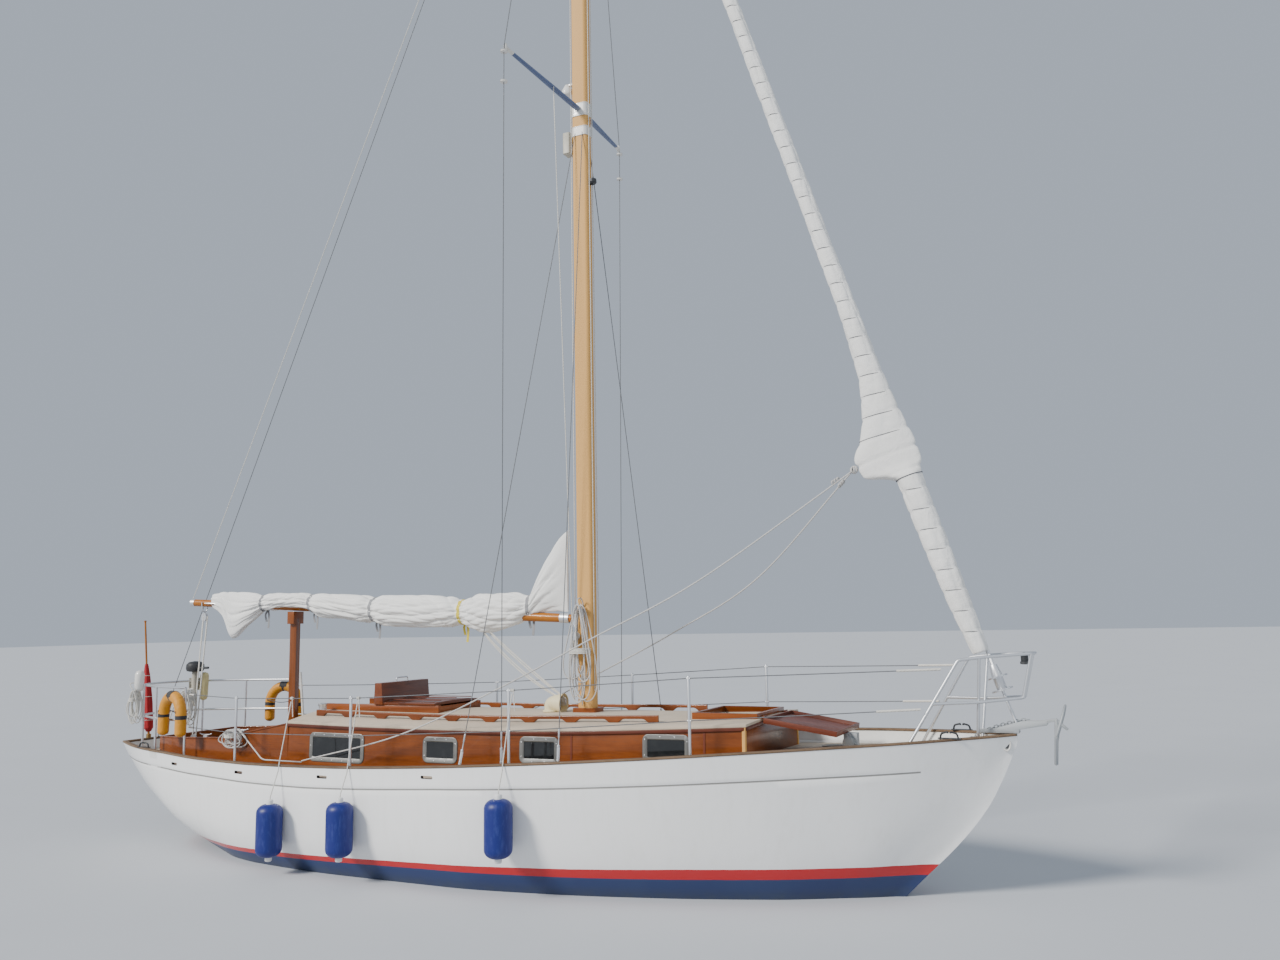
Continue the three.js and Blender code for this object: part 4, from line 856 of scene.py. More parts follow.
@dataclass(frozen=True)
class ShadeDarkenedGlass(Finish):
    """Glass whose near-black colour is painted shade of the cabin behind it, with dust that dulls it a
    little.
    """

    def dress(self, g: Graph, shader: bpy.types.Node) -> None:
        """Plain transmission and a roughness that grows with dust.

        Args:
            g: The material's nodes.
            shader: Its Principled BSDF.
        """
        dust = g.noise(g.place(), 12.0, 5.0, 0.6)
        shade_tint = g.mix(g.remap(dust, 0.5, 0.8, 0, 0.25), self.colour, (0.12, 0.13, 0.13))
        self.link(g, shader, Base_Color=shade_tint, Roughness=g.remap(dust, 0.4, 0.8, self.roughness, 0.16),
                  Transmission_Weight=0.35, IOR=1.5)


HULL_PAINT = HullPaint("hull paint", (0.90, 0.90, 0.885), 0.16)
WHITE = Paint("white paint", (0.80, 0.80, 0.77), 0.28, coat=0.3)
NAVY = Paint("antifouling", (0.012, 0.030, 0.115), 0.65, wear=0.5, worn=(0.10, 0.08, 0.06))
DECK = Paint("deck paint", (0.57, 0.475, 0.365), 0.72, wear=0.5, worn=(0.42, 0.36, 0.28), uneven=0.10)
SLATE = Paint("slate blue paint", (0.105, 0.145, 0.27), 0.42, wear=0.6, worn=(0.35, 0.36, 0.38))
DARK = Paint("dark grey paint", (0.022, 0.024, 0.027), 0.45, worn=(0.12, 0.12, 0.12))
BEIGE = Paint("beige housing", (0.50, 0.47, 0.38), 0.5, worn=(0.3, 0.28, 0.22))
# Dark grey for the faces of the seam's groove under the rail: painted shade in the groove.
SEAM_SHADE = Paint("seam groove shade", (0.27, 0.265, 0.25), 0.65, worn=(0.15, 0.14, 0.12))
ENGINE = Paint("engine paint", (0.12, 0.15, 0.16), 0.5, worn=(0.25, 0.15, 0.08))
MAHOGANY = Varnish("mahogany side", (0.235, 0.062, 0.010), 0.28, dark=(0.110, 0.025, 0.004), coat=0.25,
                   plank=0.16)
# A darker copy of the mahogany: on the fore hatch lid and the mouldings under the top's edge it is painted
# shade; on the butt straps and hatch battens it is their own darker colour.
DARK_AND_SHADED_MAHOGANY = Varnish("dark mahogany and painted shade", (0.135, 0.030, 0.012), 0.45, dark=(0.060, 0.013, 0.007), coat=0.15)
ACROSS = Varnish("mahogany across", (0.165, 0.042, 0.011), 0.30, dark=(0.075, 0.018, 0.006), grain=Axis.Y,
                 coat=0.4)
UPRIGHT = Varnish("mahogany upright", (0.215, 0.060, 0.011), 0.28, dark=(0.095, 0.022, 0.005), grain=Axis.Z,
                  coat=0.3)
SPRUCE = Varnish("spruce", (0.50, 0.178, 0.006), 0.32, dark=(0.30, 0.085, 0.004), grain=Axis.Z, coat=0.15)
BOOM_WOOD = Varnish("boom spruce", (0.42, 0.145, 0.014), 0.32, dark=(0.23, 0.066, 0.007), coat=0.2)
TEAK = Varnish("weathered teak", (0.175, 0.115, 0.070), 0.70, dark=(0.085, 0.052, 0.032), coat=0.05)
STAINLESS = Metal("stainless", (0.125, 0.128, 0.135), 0.20, tarnish=(0.08, 0.075, 0.07), patchy=0.4)
GALVANISED = Metal("galvanised", (0.47, 0.48, 0.50), 0.48, tarnish=(0.26, 0.22, 0.18), patchy=0.6, pitted=0.4)
BRONZE = Metal("bronze", (0.42, 0.25, 0.09), 0.40, tarnish=(0.10, 0.16, 0.11), patchy=0.7, pitted=0.3)
ALUMINIUM = Metal("anodised aluminium", (0.24, 0.24, 0.23), 0.50, tarnish=(0.16, 0.16, 0.155), patchy=0.3)
SAIL = Cloth("sailcloth", (0.82, 0.81, 0.775), 0.78)
SLEEVE = Cloth("sleeve cloth", (0.84, 0.835, 0.81), 0.75, stained=0.25)
ENSIGN = Cloth("ensign cloth", (0.38, 0.008, 0.010), 0.85, stain=(0.20, 0.008, 0.016), threads=3000.0)
BUOY = Cloth("buoy cover", (0.64, 0.26, 0.001), 0.55, stain=(0.44, 0.19, 0.01), threads=1500.0)
WEBBING = Cloth("black webbing", (0.02, 0.02, 0.022), 0.8, stain=(0.06, 0.06, 0.06))
BAG = Cloth("pale bag", (0.72, 0.62, 0.30), 0.8, stain=(0.4, 0.34, 0.2))
YELLOW_TIE = Cloth("yellow tie", (0.75, 0.60, 0.05), 0.8, stain=(0.5, 0.4, 0.1))
GREY_TIE = Cloth("grey tie", (0.30, 0.30, 0.31), 0.8, stain=(0.2, 0.2, 0.2))
ROPE = RopeLay("white rope", (0.72, 0.70, 0.64), 0.8)
FLECK_ROPE = RopeLay("flecked rope", (0.62, 0.60, 0.56), 0.8, fleck_and_groove_shade=(0.16, 0.18, 0.26))
DARK_ROPE = RopeLay("dark lashing", (0.10, 0.10, 0.12), 0.85, fleck_and_groove_shade=(0.05, 0.05, 0.06))
WIRE_LAY = RopeLay("wire rope", (0.17, 0.175, 0.185), 0.4, fleck_and_groove_shade=(0.08, 0.08, 0.08), pitch=0.05, strands=7.0)
FENDER = Vinyl("royal blue vinyl", (0.003, 0.011, 0.15), 0.46)
FENDER_EYE = Vinyl("white vinyl", (0.72, 0.72, 0.72), 0.5, scuff=(0.4, 0.4, 0.42))
CREAM = Vinyl("cream moulding", (0.74, 0.66, 0.42), 0.45, scuff=(0.45, 0.38, 0.22))
# The panes' near-black colour is painted shade of the cabin behind them.
SHADED_GLASS = ShadeDarkenedGlass("glass over painted cabin shade", (0.018, 0.021, 0.024), 0.05)


def dress(finish: Finish, slot: str, *nodes: str, bevel: float = 0.003) -> None:
    """Gives the frame's own pieces a finish and softened edges.

    Args:
        finish: What they are finished in.
        slot: Their slot in the record, for the log.
        nodes: Their names.
        bevel: Width of their rounded edges.
    """
    for name in nodes:
        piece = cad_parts[name]
        piece.data.materials.clear()
        piece.data.materials.append(finish.material())
        piece.data.polygons.foreach_set("use_smooth", [True] * len(piece.data.polygons))
        weld = piece.modifiers.new("weld", "WELD")
        weld.merge_threshold = 0.00002
        round_edges(piece, bevel)
        split = piece.modifiers.new("split", "EDGE_SPLIT")
        split.split_angle = math.radians(32)
        LOG.info("%s dressed as %s", name, slot)


# Lines of the hull and the coachroof

# Sections in millimetres, as [x, lean, keel z, y, garboard z, y, bilge z, y, topside z, y, rail z, y].
# The lean is the section's aft run for each unit of height.
SECTIONS = [
    [-4745, -0.45, 600, 60, 640, 225, 720, 335, 850, 398, 988, 430],
    [-4300, -0.2, 300, 40, 345, 240, 460, 470, 660, 590, 965, 652],
    [-3700, 0, -5, 40, 45, 230, 160, 560, 420, 805, 948, 865],
    [-3080, 0, -170, 40, -125, 200, 0, 680, 340, 985, 941, 1045],
    [-2960, 0, -290, 34, -190, 150, -30, 700, 320, 1010, 941, 1070],
    [-2650, 0, -830, 36, -420, 110, -110, 765, 290, 1090, 942, 1130],
    [-2260, 0, -1600, 50, -600, 150, -160, 835, 275, 1160, 944, 1200],
    [-1200, 0, -1600, 72, -700, 195, -220, 900, 255, 1235, 966, 1282],
    [0, 0, -1600, 76, -750, 190, -260, 885, 250, 1232, 1022, 1320],
    [1000, 0, -1540, 66, -760, 155, -280, 745, 250, 1125, 1082, 1278],
    [1900, 0, -1230, 50, -700, 120, -280, 545, 260, 925, 1140, 1165],
    [2700, 0, -800, 36, -520, 95, -220, 345, 280, 670, 1190, 970],
    [3350, 0, -330, 26, -200, 68, 0, 200, 400, 440, 1228, 750],
    [3836, 0, 143, 20, 235, 55, 400, 145, 700, 305, 1252, 535],
    [4174, 0, 484, 17, 560, 38, 690, 90, 910, 185, 1270, 345],
    [4381, 0, 749, 15, 800, 28, 890, 55, 1030, 105, 1280, 212],
    [4508, 0, 985, 14, 1010, 20, 1060, 32, 1150, 58, 1286, 120],
    [4620, 0, 1240, 12, 1250, 15, 1262, 20, 1276, 26, 1292, 34],
]
# The coachroof's top edge in millimetres: x, half-breadth, height, rise to the middle.
TRUNK = [
    [-2070, 862, 1308, 88], [-1100, 898, 1298, 88], [0, 892, 1294, 84],
    [1000, 842, 1312, 72], [1900, 778, 1343, 34], [2613, 722, 1375, 15],
]
# Windows in metres: centre along x, centre height, width, height.
WINDOWS = [
    (-1.440, 1.098, 0.640, 0.232), (-0.240, 1.118, 0.335, 0.190),
    (0.772, 1.146, 0.340, 0.190), (1.938, 1.190, 0.372, 0.190),
]
# The cockpit coaming's top edge in metres: x, half-breadth, height.
COAMING = np.array([
    (-4.215, 0.540, 1.076), (-3.700, 0.655, 1.090), (-3.100, 0.765, 1.120),
    (-2.600, 0.825, 1.205), (-2.0703, 0.872, 1.300),
])
BULWARK = 0.110  # height of the rail above the deck's edge
SHELL = 0.038  # thickness of the hull
CAMBER = 0.035  # crown of the deck where it is 1.3 to a side
TOP = 0.022  # thickness of the cabin top
AFT, FORE = -4.745, 4.620  # the hull's first and last sections
TRUNK_FRONT = 2.613
SHAFT_RISE = 0.3057  # of the propeller's shaft, for each unit forward
GOOSENECK = (0.668, 0.0, 2.275)


def between_rows(table: Array, x: Array) -> Array:
    """A table's row at each x: a cubic between rows whose slope at a row is the harmonic mean of the
    rises on either side, or nought where they differ in sign, so that it never overshoots.

    Args:
        table: Rows whose first column is x.
        x: Where to read it.
    Returns:
        One row for each x.
    """
    x = np.atleast_1d(np.asarray(x, float))
    rise = np.diff(table, axis=0) / np.diff(table[:, :1], axis=0)
    product = rise[:-1] * rise[1:]
    total = np.where(product > 0, rise[:-1] + rise[1:], 1.0)
    slopes = np.vstack([rise[:1], np.where(product > 0, 2 * product / total, 0), rise[-1:]])
    i = np.clip(np.searchsorted(table[:, 0], x) - 1, 0, len(table) - 2)
    span = (table[i + 1, :1] - table[i, :1])
    t = (x[:, None] - table[i, :1]) / span
    p, q, m, n = table[i], table[i + 1], slopes[i] * span, slopes[i + 1] * span
    return (2 * p - 2 * q + m + n) * t**3 + (3 * q - 3 * p - 2 * m - n) * t**2 + m * t + p


class Lines:
    """The hull's, deck's and coachroof's faces, at any place along them."""

    def __init__(self) -> None:
        """Reads the tables into metres and works out the straight runs of rail, deck and coachroof."""
        self.table = np.array(SECTIONS, float) / 1000
        self.table[:, 1] *= 1000
        xs = self.table[:, 0]
        far = np.diff(xs) > 0.4
        self.stations = np.sort(np.r_[xs, (xs[:-1] + xs[1:])[far] / 2])
        rail = between_rows(self.table, self.stations)
        self.rail = np.stack([self.leaned(rail, self.stations, rail[:, 10]), rail[:, 11], rail[:, 10]], 1)
        at = np.r_[-4.7, self.stations[1:-2], 4.47]
        rows = between_rows(self.table, at)
        z = rows[:, 10] - BULWARK
        self.deck = np.stack([self.leaned(rows, at, z), self.breadth(at, z) - SHELL, z], 1)
        self.trunk_x = np.linspace(-2.070, TRUNK_FRONT, 11)
        self.trunk = between_rows(np.array(TRUNK, float) / 1000, self.trunk_x)

    @staticmethod
    def leaned(rows: Array, x: Array, z: Array) -> Array:
        """A point's place along x on a leaning section."""
        return x + rows[:, 1] * (z - rows[:, 2])

    def side(self, x: Array, t: Array) -> Array:
        """One side of the sections: a Catmull-Rom curve with its end points doubled.

        Args:
            x: The sections' places, m of them.
            t: Places up the side, from 0 at the keel to 4 at the rail, n of them.
        Returns:
            Half-breadth and height, m by n by 2.
        """
        rows = between_rows(self.table, x)
        knots = np.stack([rows[:, 3::2], rows[:, 2::2]], 2)
        ends = np.concatenate([knots[:, :1], knots, knots[:, -1:]], 1)
        i = np.minimum(t.astype(int), 3)
        u = (t - i)[None, :, None]
        a, b, c, d = (ends[:, i + k] for k in range(4))
        return (2 * b + (c - a) * u + (2 * a - 5 * b + 4 * c - d) * u**2 + (3 * b - a - 3 * c + d) * u**3) / 2

    def breadth(self, x: Array, z: Array) -> Array:
        """The skin's half-breadth, on the straight line between the two points of its side about a height.

        Args:
            x: Places along the hull.
            z: A height for each.
        Returns:
            A half-breadth for each.
        """
        fine = np.linspace(0, 4, 121)
        side = self.side(np.atleast_1d(x), fine)
        k = np.clip((side[..., 1] < np.atleast_1d(z)[:, None]).sum(1) - 1, 0, len(fine) - 2)
        row = np.arange(len(side))
        (y0, z0), (y1, z1) = side[row, k].T, side[row, k + 1].T
        return y0 + (y1 - y0) * np.clip((z - z0) / np.where(z1 > z0, z1 - z0, 1), 0, 1)

    def skin_y(self, x: float, z: float) -> float:
        """The skin's half-breadth at one point."""
        return float(self.breadth(np.array([x]), np.array([z]))[0])

    def rail_y(self, x: Array | float) -> Array | float:
        """The rail's half-breadth."""
        return np.interp(x, self.rail[:, 0], self.rail[:, 1])

    def rail_z(self, x: Array | float) -> Array | float:
        """The rail's height."""
        return np.interp(x, self.rail[:, 0], self.rail[:, 2])

    def deck_y(self, x: Array | float) -> Array | float:
        """The deck's half-breadth."""
        return np.interp(x, self.deck[:, 0], self.deck[:, 1])

    def deck_z(self, x: Array | float) -> Array | float:
        """The height of the deck's edge."""
        return np.interp(x, self.deck[:, 0], self.deck[:, 2])

    def deck_top(self, x: float, y: float) -> float:
        """The height of the deck's face, crowned to the middle."""
        edge = self.deck_y(x)
        return float(self.deck_z(x) + CAMBER * edge / 1.3 * (1 - min(abs(y) / edge, 1)))

    def trunk_at(self, x: Array | float, column: int) -> Array | float:
        """A column of the coachroof's top edge: 1 half-breadth, 2 height, 3 crown."""
        return np.interp(x, self.trunk_x, self.trunk[:, column])

    def trunk_y(self, x: Array | float, z: Array | float) -> Array | float:
        """The half-breadth of the coachroof's side, which leans in by 14 mm over its height.

        Args:
            x: Places along it.
            z: Heights on it.
        Returns:
            The half-breadths.
        """
        top = self.trunk_at(x, 2)
        low = self.deck_z(x) - 0.03
        return self.trunk_at(x, 1) + 0.014 * (top - z) / (top - low)

    def top_z(self, x: Array | float, y: Array | float = 0.0) -> Array | float:
        """The height of the cabin top's face."""
        t = np.asarray(y) / self.trunk_at(x, 1)
        return self.trunk_at(x, 2) + TOP + self.trunk_at(x, 3) * (1 - t**2)


LINES = Lines()


@dataclass
class Hull:
    """The planked hull with its bulwarks, carved inside, its rail cap and the deck's edge."""
    stations: int = 150
    seam_depth: float = 0.003
    slots: tuple[tuple[float, float], ...] = ((-3.57, 0.866), (-2.39, 0.868), (-1.27, 0.888), (-0.08, 0.942))

    def seam_drop(self, x: Array) -> Array:
        """How far the seam lies below the rail.

        Args:
            x: Places along the hull.
        Returns:
            The drop at each.
        """
        places = [AFT, -3.05, -2.23, -1.5, 0, 0.64, 1.19, 1.95, 2.72, 3.52, FORE]
        drops = [0.147, 0.147, 0.163, 0.177, 0.177, 0.188, 0.197, 0.207, 0.215, 0.222, 0.225]
        return np.interp(x, places, drops)

    def seam(self, x: Array, rows: Array) -> Array:
        """Heights of the seam at stations, from the rows of the lines there."""
        return rows[:, 10] - np.minimum(self.seam_drop(x), (rows[:, 10] - rows[:, 2]) * 0.6)

    def skin(self) -> Shape:
        """The outer skin: sections at close stations, each from the keel up to the seam by equal steps
        along its curve, a V groove at the seam, then by equal heights to the rail.

        Returns:
            The closed shape.
        """
        x = np.unique(np.round(np.r_[np.linspace(AFT, FORE, self.stations), LINES.table[:, 0]], 4))
        rows = between_rows(LINES.table, x)
        seam = self.seam(x, rows)
        fine = np.linspace(0, 4, 201)
        side = LINES.side(x, fine)
        at_seam = np.array([np.interp(z - 0.007, s[:, 1], fine) for z, s in zip(seam, side)])
        steps = np.linspace(0, 1, 56)
        lower = np.stack([
            np.stack([np.interp(steps * end, fine, s[:, c]) for c in (0, 1)], 1)
            for end, s in zip(at_seam, side)])
        rise = np.r_[-0.0025, 0.0025, 0.007]
        tops = seam[:, None] + rise
        above = tops[:, -1:] + (rows[:, 10:11] - tops[:, -1:]) * np.linspace(0, 1, 7)[1:]
        heights = np.concatenate([tops, above], 1)
        breadths = np.stack([np.interp(h, s[:, 1], s[:, 0]) for h, s in zip(heights, side)])
        fade = np.clip((3.95 - x) / 0.5, 0, 1)[:, None] * self.seam_depth
        breadths[:, :2] -= fade
        profile = np.concatenate([lower, np.stack([breadths, heights], 2)], 1)
        y, z = profile[..., 0], profile[..., 1]
        along = x[:, None] + rows[:, 1:2] * (z - rows[:, 2:3])
        port = np.stack([along, y, z], 2)
        return Shape().add(np.concatenate([port, mirrored(port)[:, ::-1]], 1))

    def deck_space(self) -> Array:
        """The room inside the bulwarks, open at the top, down to below the deck.

        Returns:
            Its rings along the hull.
        """
        at = np.linspace(-4.7, 4.47, 90)
        rows = between_rows(LINES.table, at)
        edge = rows[:, 10] - BULWARK
        yd = LINES.breadth(at, edge) - SHELL
        yr = rows[:, 11] - SHELL
        xd, xr = LINES.leaned(rows, at, edge), LINES.leaned(rows, at, rows[:, 10])
        low, top, none = edge - 0.045, rows[:, 10] + 0.3, np.zeros(len(at))
        port = [(xd, yd, low), (xr, yr, rows[:, 10]), (xr, yr, top)]
        ring = [(xd, none, low + CAMBER * yd / 1.3), *port, *((x, -y, z) for x, y, z in reversed(port))]
        return np.stack([np.stack(point, 1) for point in ring], 1)

    def well(self, rows: Sequence[Point]) -> Array:
        """A tapering box along x, from rows of x, half-breadth, floor and ceiling."""
        return np.array([[(x, -y, a), (x, y, a), (x, y, b), (x, -y, b)] for x, y, a, b in rows])

    def cutters(self) -> list[Shape]:
        """What is carved out of the hull.

        Returns:
            The deck's room, cabin, bilge, engine bed, seats, foot well, bores, rudder and slots.
        """
        axis = RudderGear.axis_x
        low, high, room = -1.545, -0.205, 0.041
        behind = [(axis(low) + room, low), (axis(high) + room, high), (-3.7, high), (-3.7, low)]
        aperture = [(-2.385, -1.085), (axis(-1.085), -1.085), (axis(-0.62), -0.62), (-2.385, -0.62)]
        wells = [
            [(-2.03, 0.76, 0.23, 1.5), (0, 0.79, 0.23, 1.5), (1.7, 0.62, 0.33, 1.5), (2.5, 0.48, 0.48, 1.5)],
            [(-1.96, 0.215, -0.48, 0.3), (1.5, 0.215, -0.48, 0.3)],
            [(-1.86, 0.175, -0.69, -0.4), (-1.0, 0.175, -0.69, -0.4)],
            [(-4.15, 0.49, 0.64, 1.5), (-2.105, 0.74, 0.64, 1.5)],
            [(-3.85, 0.328, 0.3, 0.7), (-2.18, 0.328, 0.3, 0.7)],
        ]
        bores = [
            tube([Propeller.shaft(-2.6), Propeller.shaft(-1.8)], 0.016, 24),
            tube([(axis(-0.4), 0, -0.4), (axis(0.7), 0, 0.7)], 0.0252, 32),
        ]
        solids = [self.deck_space(), *(self.well(rows) for rows in wells), *bores]
        solids += [slab(behind, Axis.Y, -0.4, 0.4), slab(aperture, Axis.Y, -0.4, 0.4)]
        shapes = [Shape().add(rings) for rings in solids]
        slots = Shape()
        for x, z in self.slots:
            y = LINES.skin_y(x, z)
            outline = rectangle(0.062, 0.0135, 0.011) + [x, z]
            slots.both(slab(outline, Axis.Y, y - 0.12, y + 0.06))
        return [*shapes, slots]

    def build_skin(self) -> None:
        """Carves the skin, and gives the inside, the slots and the seam their finishes by place: white
        inside, and dark grey in the slots' tunnels and the seam's groove as painted shade.
        """
        mesh = carve(self.skin(), self.cutters(), "hull_skin")
        count = len(mesh.polygons)
        centres, normals = np.empty(count * 3), np.empty(count * 3)
        mesh.polygons.foreach_get("center", centres)
        mesh.polygons.foreach_get("normal", normals)
        x, y, z = centres.reshape(-1, 3).T
        keel = between_rows(LINES.table, x)[:, 2]
        transom = AFT - 0.45 * (z - 0.6)
        lean = np.interp(x, LINES.table[:, 0], LINES.table[:, 1])
        station = x - lean * (z - keel)
        skin = LINES.breadth(np.clip(station, AFT, FORE), z)
        inside = np.abs(y) < skin - 0.012
        inside &= (z > keel + 0.03) & (x > transom + 0.012) & (z > -0.5) & ((x > -2.0) | (z > 0.25))
        # Faces inside the freeing slots' tunnels take the dark grey paint: painted shade in the slots.
        in_slot_shade = np.any([(np.abs(x - a) < 0.066) & (np.abs(z - b) < 0.016) for a, b in self.slots], axis=0)
        in_slot_shade &= (np.abs(y) < skin - 0.002) & (np.abs(y) > skin - 0.040)
        stations = np.linspace(AFT, FORE, self.stations)
        rows = between_rows(LINES.table, stations)
        heights = self.seam(stations, rows)
        line = np.interp(x, LINES.leaned(rows, stations, heights), heights)
        # Faces along the seam's groove take the dark grey: painted shade in the groove.
        in_seam_shade = (np.abs(z - line) < 0.0058) & (x < 3.9) & ~inside
        mesh.materials.clear()
        # Marks: 0 hull paint, 1 white inside, 2 dark grey as painted shade in the slots, 3 dark grey as
        # painted shade in the seam's groove.
        for finish in (HULL_PAINT, WHITE, DARK, SEAM_SHADE):
            mesh.materials.append(finish.material())
        index = np.where(in_slot_shade, 2, np.where(in_seam_shade, 3, inside.astype(int)))
        mesh.polygons.foreach_set("material_index", index)
        piece = bpy.data.objects.new("hull_skin", mesh)
        bpy.context.scene.collection.objects.link(piece)
        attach(piece, "hull")
        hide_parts("hull", "bulwark", "ballast_keel")
        LOG.info("hull_skin: %d faces", count)

    def build_cap(self) -> None:
        """The rail's cap: a rounded board whose outer edge is 8 mm proud of the skin."""
        x = np.linspace(AFT, FORE - 0.005, 120)
        rows = between_rows(LINES.table, x)
        along = LINES.leaned(rows, x, rows[:, 10])
        outer = rows[:, 11] + 0.008
        inner = np.maximum(outer - 0.060, 0.0015)
        board = rectangle(1, 1, 0.45, 4)
        half = (outer - inner) / 2
        ring = np.stack([
            np.broadcast_to(along[:, None], (len(x), len(board))),
            (inner + half)[:, None] + half[:, None] * board[:, 0],
            (rows[:, 10] + 0.0105)[:, None] + 0.0100 * board[:, 1],
        ], 2)
        across = np.array([(-4.8956, y, 0.9985) for y in np.linspace(-0.436, 0.436, 9)])
        cap = Shape().both(ring).add(sweep(across, rectangle(0.030, 0.0097, 0.008), (0, 0, 1)))
        cap.build("rail_cap_board", TEAK, "weathered_teak", replaces=["rail_cap"])

    def build_edge(self) -> None:
        """A fillet between the deck and the bulwark."""
        x = np.linspace(-4.66, 4.40, 110)
        rows = between_rows(LINES.table, x)
        z = rows[:, 10] - BULWARK
        line = np.stack([LINES.leaned(rows, x, z), LINES.breadth(x, z) - SHELL, z + 0.001], 1)
        section = [(-0.006, -0.008), (-0.006, 0.020), (0.004, 0.018), (0.018, 0.004), (0.020, -0.008)]
        fillet = Shape().both(sweep(line, np.array(section), (0, 0, 1)))
        fillet.build("waterway_fillet", WHITE, "topside_white")

    def build(self) -> None:
        """Builds the hull and dresses the deck."""
        self.build_skin()
        self.build_cap()
        self.build_edge()
        dress(DECK, "deck_paint", "deck")


@dataclass
class Coachroof:
    """The varnished coachroof: sides, windows, mouldings, handrails, top and hatches."""
    frame_proud: float = 0.008
    joints: tuple[float, ...] = (1.08, 2.27)

    def window_frames(self) -> Shape:
        """Frames whose section runs round each hole: outline grown by the section's first value and
        raised off the wall by its second, with screws along the middle.

        Returns:
            All the frames and screws, the screws with the second mark.
        """
        section = [(0.020, -0.001), (0.020, 0.005), (0.015, 0.008), (-0.017, 0.008), (-0.024, 0.004),
                   (-0.024, -0.013), (-0.002, -0.013), (-0.002, -0.001)]
        shape = Shape()
        for x, z, w, h in WINDOWS:
            loops = [rectangle(w / 2 + e, h / 2 + e, 0.034 + e, 8) for e, _ in section]
            ring = np.stack([
                np.stack([x + o[:, 0], LINES.trunk_y(x + o[:, 0], z + o[:, 1]) + d, z + o[:, 1]], 1)
                for o, (_, d) in zip(loops, section)], 1)
            shape.both(ring, hoop=True)
            path = resample(np.insert(rectangle(w / 2, h / 2, 0.034, 8), 1, 0, axis=1), 60)
            count = int(round((w + h) / 0.075))
            for k in np.linspace(0, 59, count, endpoint=False).astype(int):
                px, pz = x + path[k, 0], z + path[k, 2]
                base = (px, LINES.trunk_y(px, pz) + self.frame_proud - 0.001, pz)
                head = [(0.0048, 0), (0.0046, 0.0015), (0.003, 0.0024), (0.001, 0.0026)]
                shape.both(lathe(head, base, (0, 1, 0), 8), 1)
        return shape

    def panes(self) -> Shape:
        """Panes: a rounded outline between two distances from the wall.

        Returns:
            All the panes.
        """
        shape = Shape()
        for x, z, w, h in WINDOWS:
            o = rectangle(w / 2 - 0.018, h / 2 - 0.018, 0.02, 6)
            wall = LINES.trunk_y(x + o[:, 0], z + o[:, 1])
            shape.both(np.stack([np.stack([x + o[:, 0], wall + d, z + o[:, 1]], 1) for d in (-0.012, 0.001)]))
        return shape

    def edge_line(self, out: float, drop: float) -> Array:
        """A line round the sides and the front.

        Args:
            out: How far out from the wall it lies.
            drop: How far below the top's edge.
        Returns:
            Its points, with rounded corners.
        """
        x = LINES.trunk_x
        side = np.stack([x, LINES.trunk[:, 1] + out, LINES.trunk[:, 2] - drop], 1)
        side[-1, 0] = TRUNK_FRONT + out
        t = np.linspace(1, -1, 13)[1:-1]
        y_front, z_front, crown = LINES.trunk[-1, 1:]
        z = z_front - drop + crown * (1 - t**2)
        front = np.stack([np.full(11, TRUNK_FRONT + out), t * (y_front + out), z], 1)
        return rounded(np.vstack([side, front, mirrored(side)[::-1]]), 0.04)

    def mouldings(self) -> None:
        """Dark mouldings under the top's edge and along the deck, their darkness painted shade, and butt
        straps and corner posts.
        """
        shape = Shape().add(sweep(self.edge_line(0.0085, 0.015), rectangle(0.0085, 0.014, 0.005), (0, 0, 1)))
        x = LINES.trunk_x
        deck = LINES.deck_z(x)
        foot = np.stack([x, LINES.trunk_y(x, deck + 0.01) + 0.006, deck + 0.013], 1)
        shape.both(sweep(resample(foot, 60), rectangle(0.006, 0.012, 0.004), (0, 0, 1)))
        shape.build("coachroof_moulding", DARK_AND_SHADED_MAHOGANY, "mahogany", crease=50)
        straps = Shape()
        for x in self.joints:
            z = np.array([LINES.deck_z(x) + 0.03, LINES.trunk_at(x, 2) - 0.03])
            line = np.stack([[x, x], LINES.trunk_y(x, z) + 0.0012, z], 1)
            straps.both(sweep(line, rectangle(0.009, 0.002, 0.001), (0, 1, 0)))
        straps.build("butt_straps", DARK_AND_SHADED_MAHOGANY, "mahogany")
        posts = Shape()
        z = np.array([LINES.deck_z(2.6) - 0.01, LINES.trunk_at(TRUNK_FRONT, 2) - 0.002])
        line = np.stack([[2.603, 2.603], LINES.trunk_y(2.603, z) - 0.006, z], 1)
        posts.both(sweep(line, rectangle(0.016, 0.016, 0.006), (1, 0, 0)))
        posts.build("corner_posts", SPRUCE, "spruce")

    def handrails(self) -> None:
        """Scalloped rails: a board on edge whose lower edge rises in an arch between its ten feet."""
        feet = np.linspace(-1.9, 1.78, 10)
        feet[0] += 0.046
        feet[-1] -= 0.046
        x = np.linspace(-1.9, 1.78, 361)
        y = LINES.trunk_at(x, 1) - 0.215
        nearest = np.min(np.abs(x[:, None] - feet), axis=1)
        rise = np.clip((nearest - 0.045) / 0.055, 0, 1)
        roof = LINES.top_z(x, y)
        low = roof + 0.0005 + 0.030 * np.sin(rise * math.pi / 2)
        top = roof + 0.060
        board = rectangle(1, 1, 0.5, 4)
        middle, half = (low + top) / 2, (top - low) / 2
        corner = np.clip(0.008 / half, 0, 0.9)[:, None]
        height = np.sign(board[:, 1]) * (1 - (1 - np.abs(board[:, 1])) * corner / 0.5)
        ring = np.stack([np.broadcast_to(x[:, None], (len(x), len(board))), y[:, None] + 0.013 * board[:, 0],
                         middle[:, None] + half[:, None] * height], 2)
        nodes = ["handrail_port", "handrail_stbd"]
        Shape().both(ring).build("handrails", MAHOGANY, "mahogany", replaces=nodes)

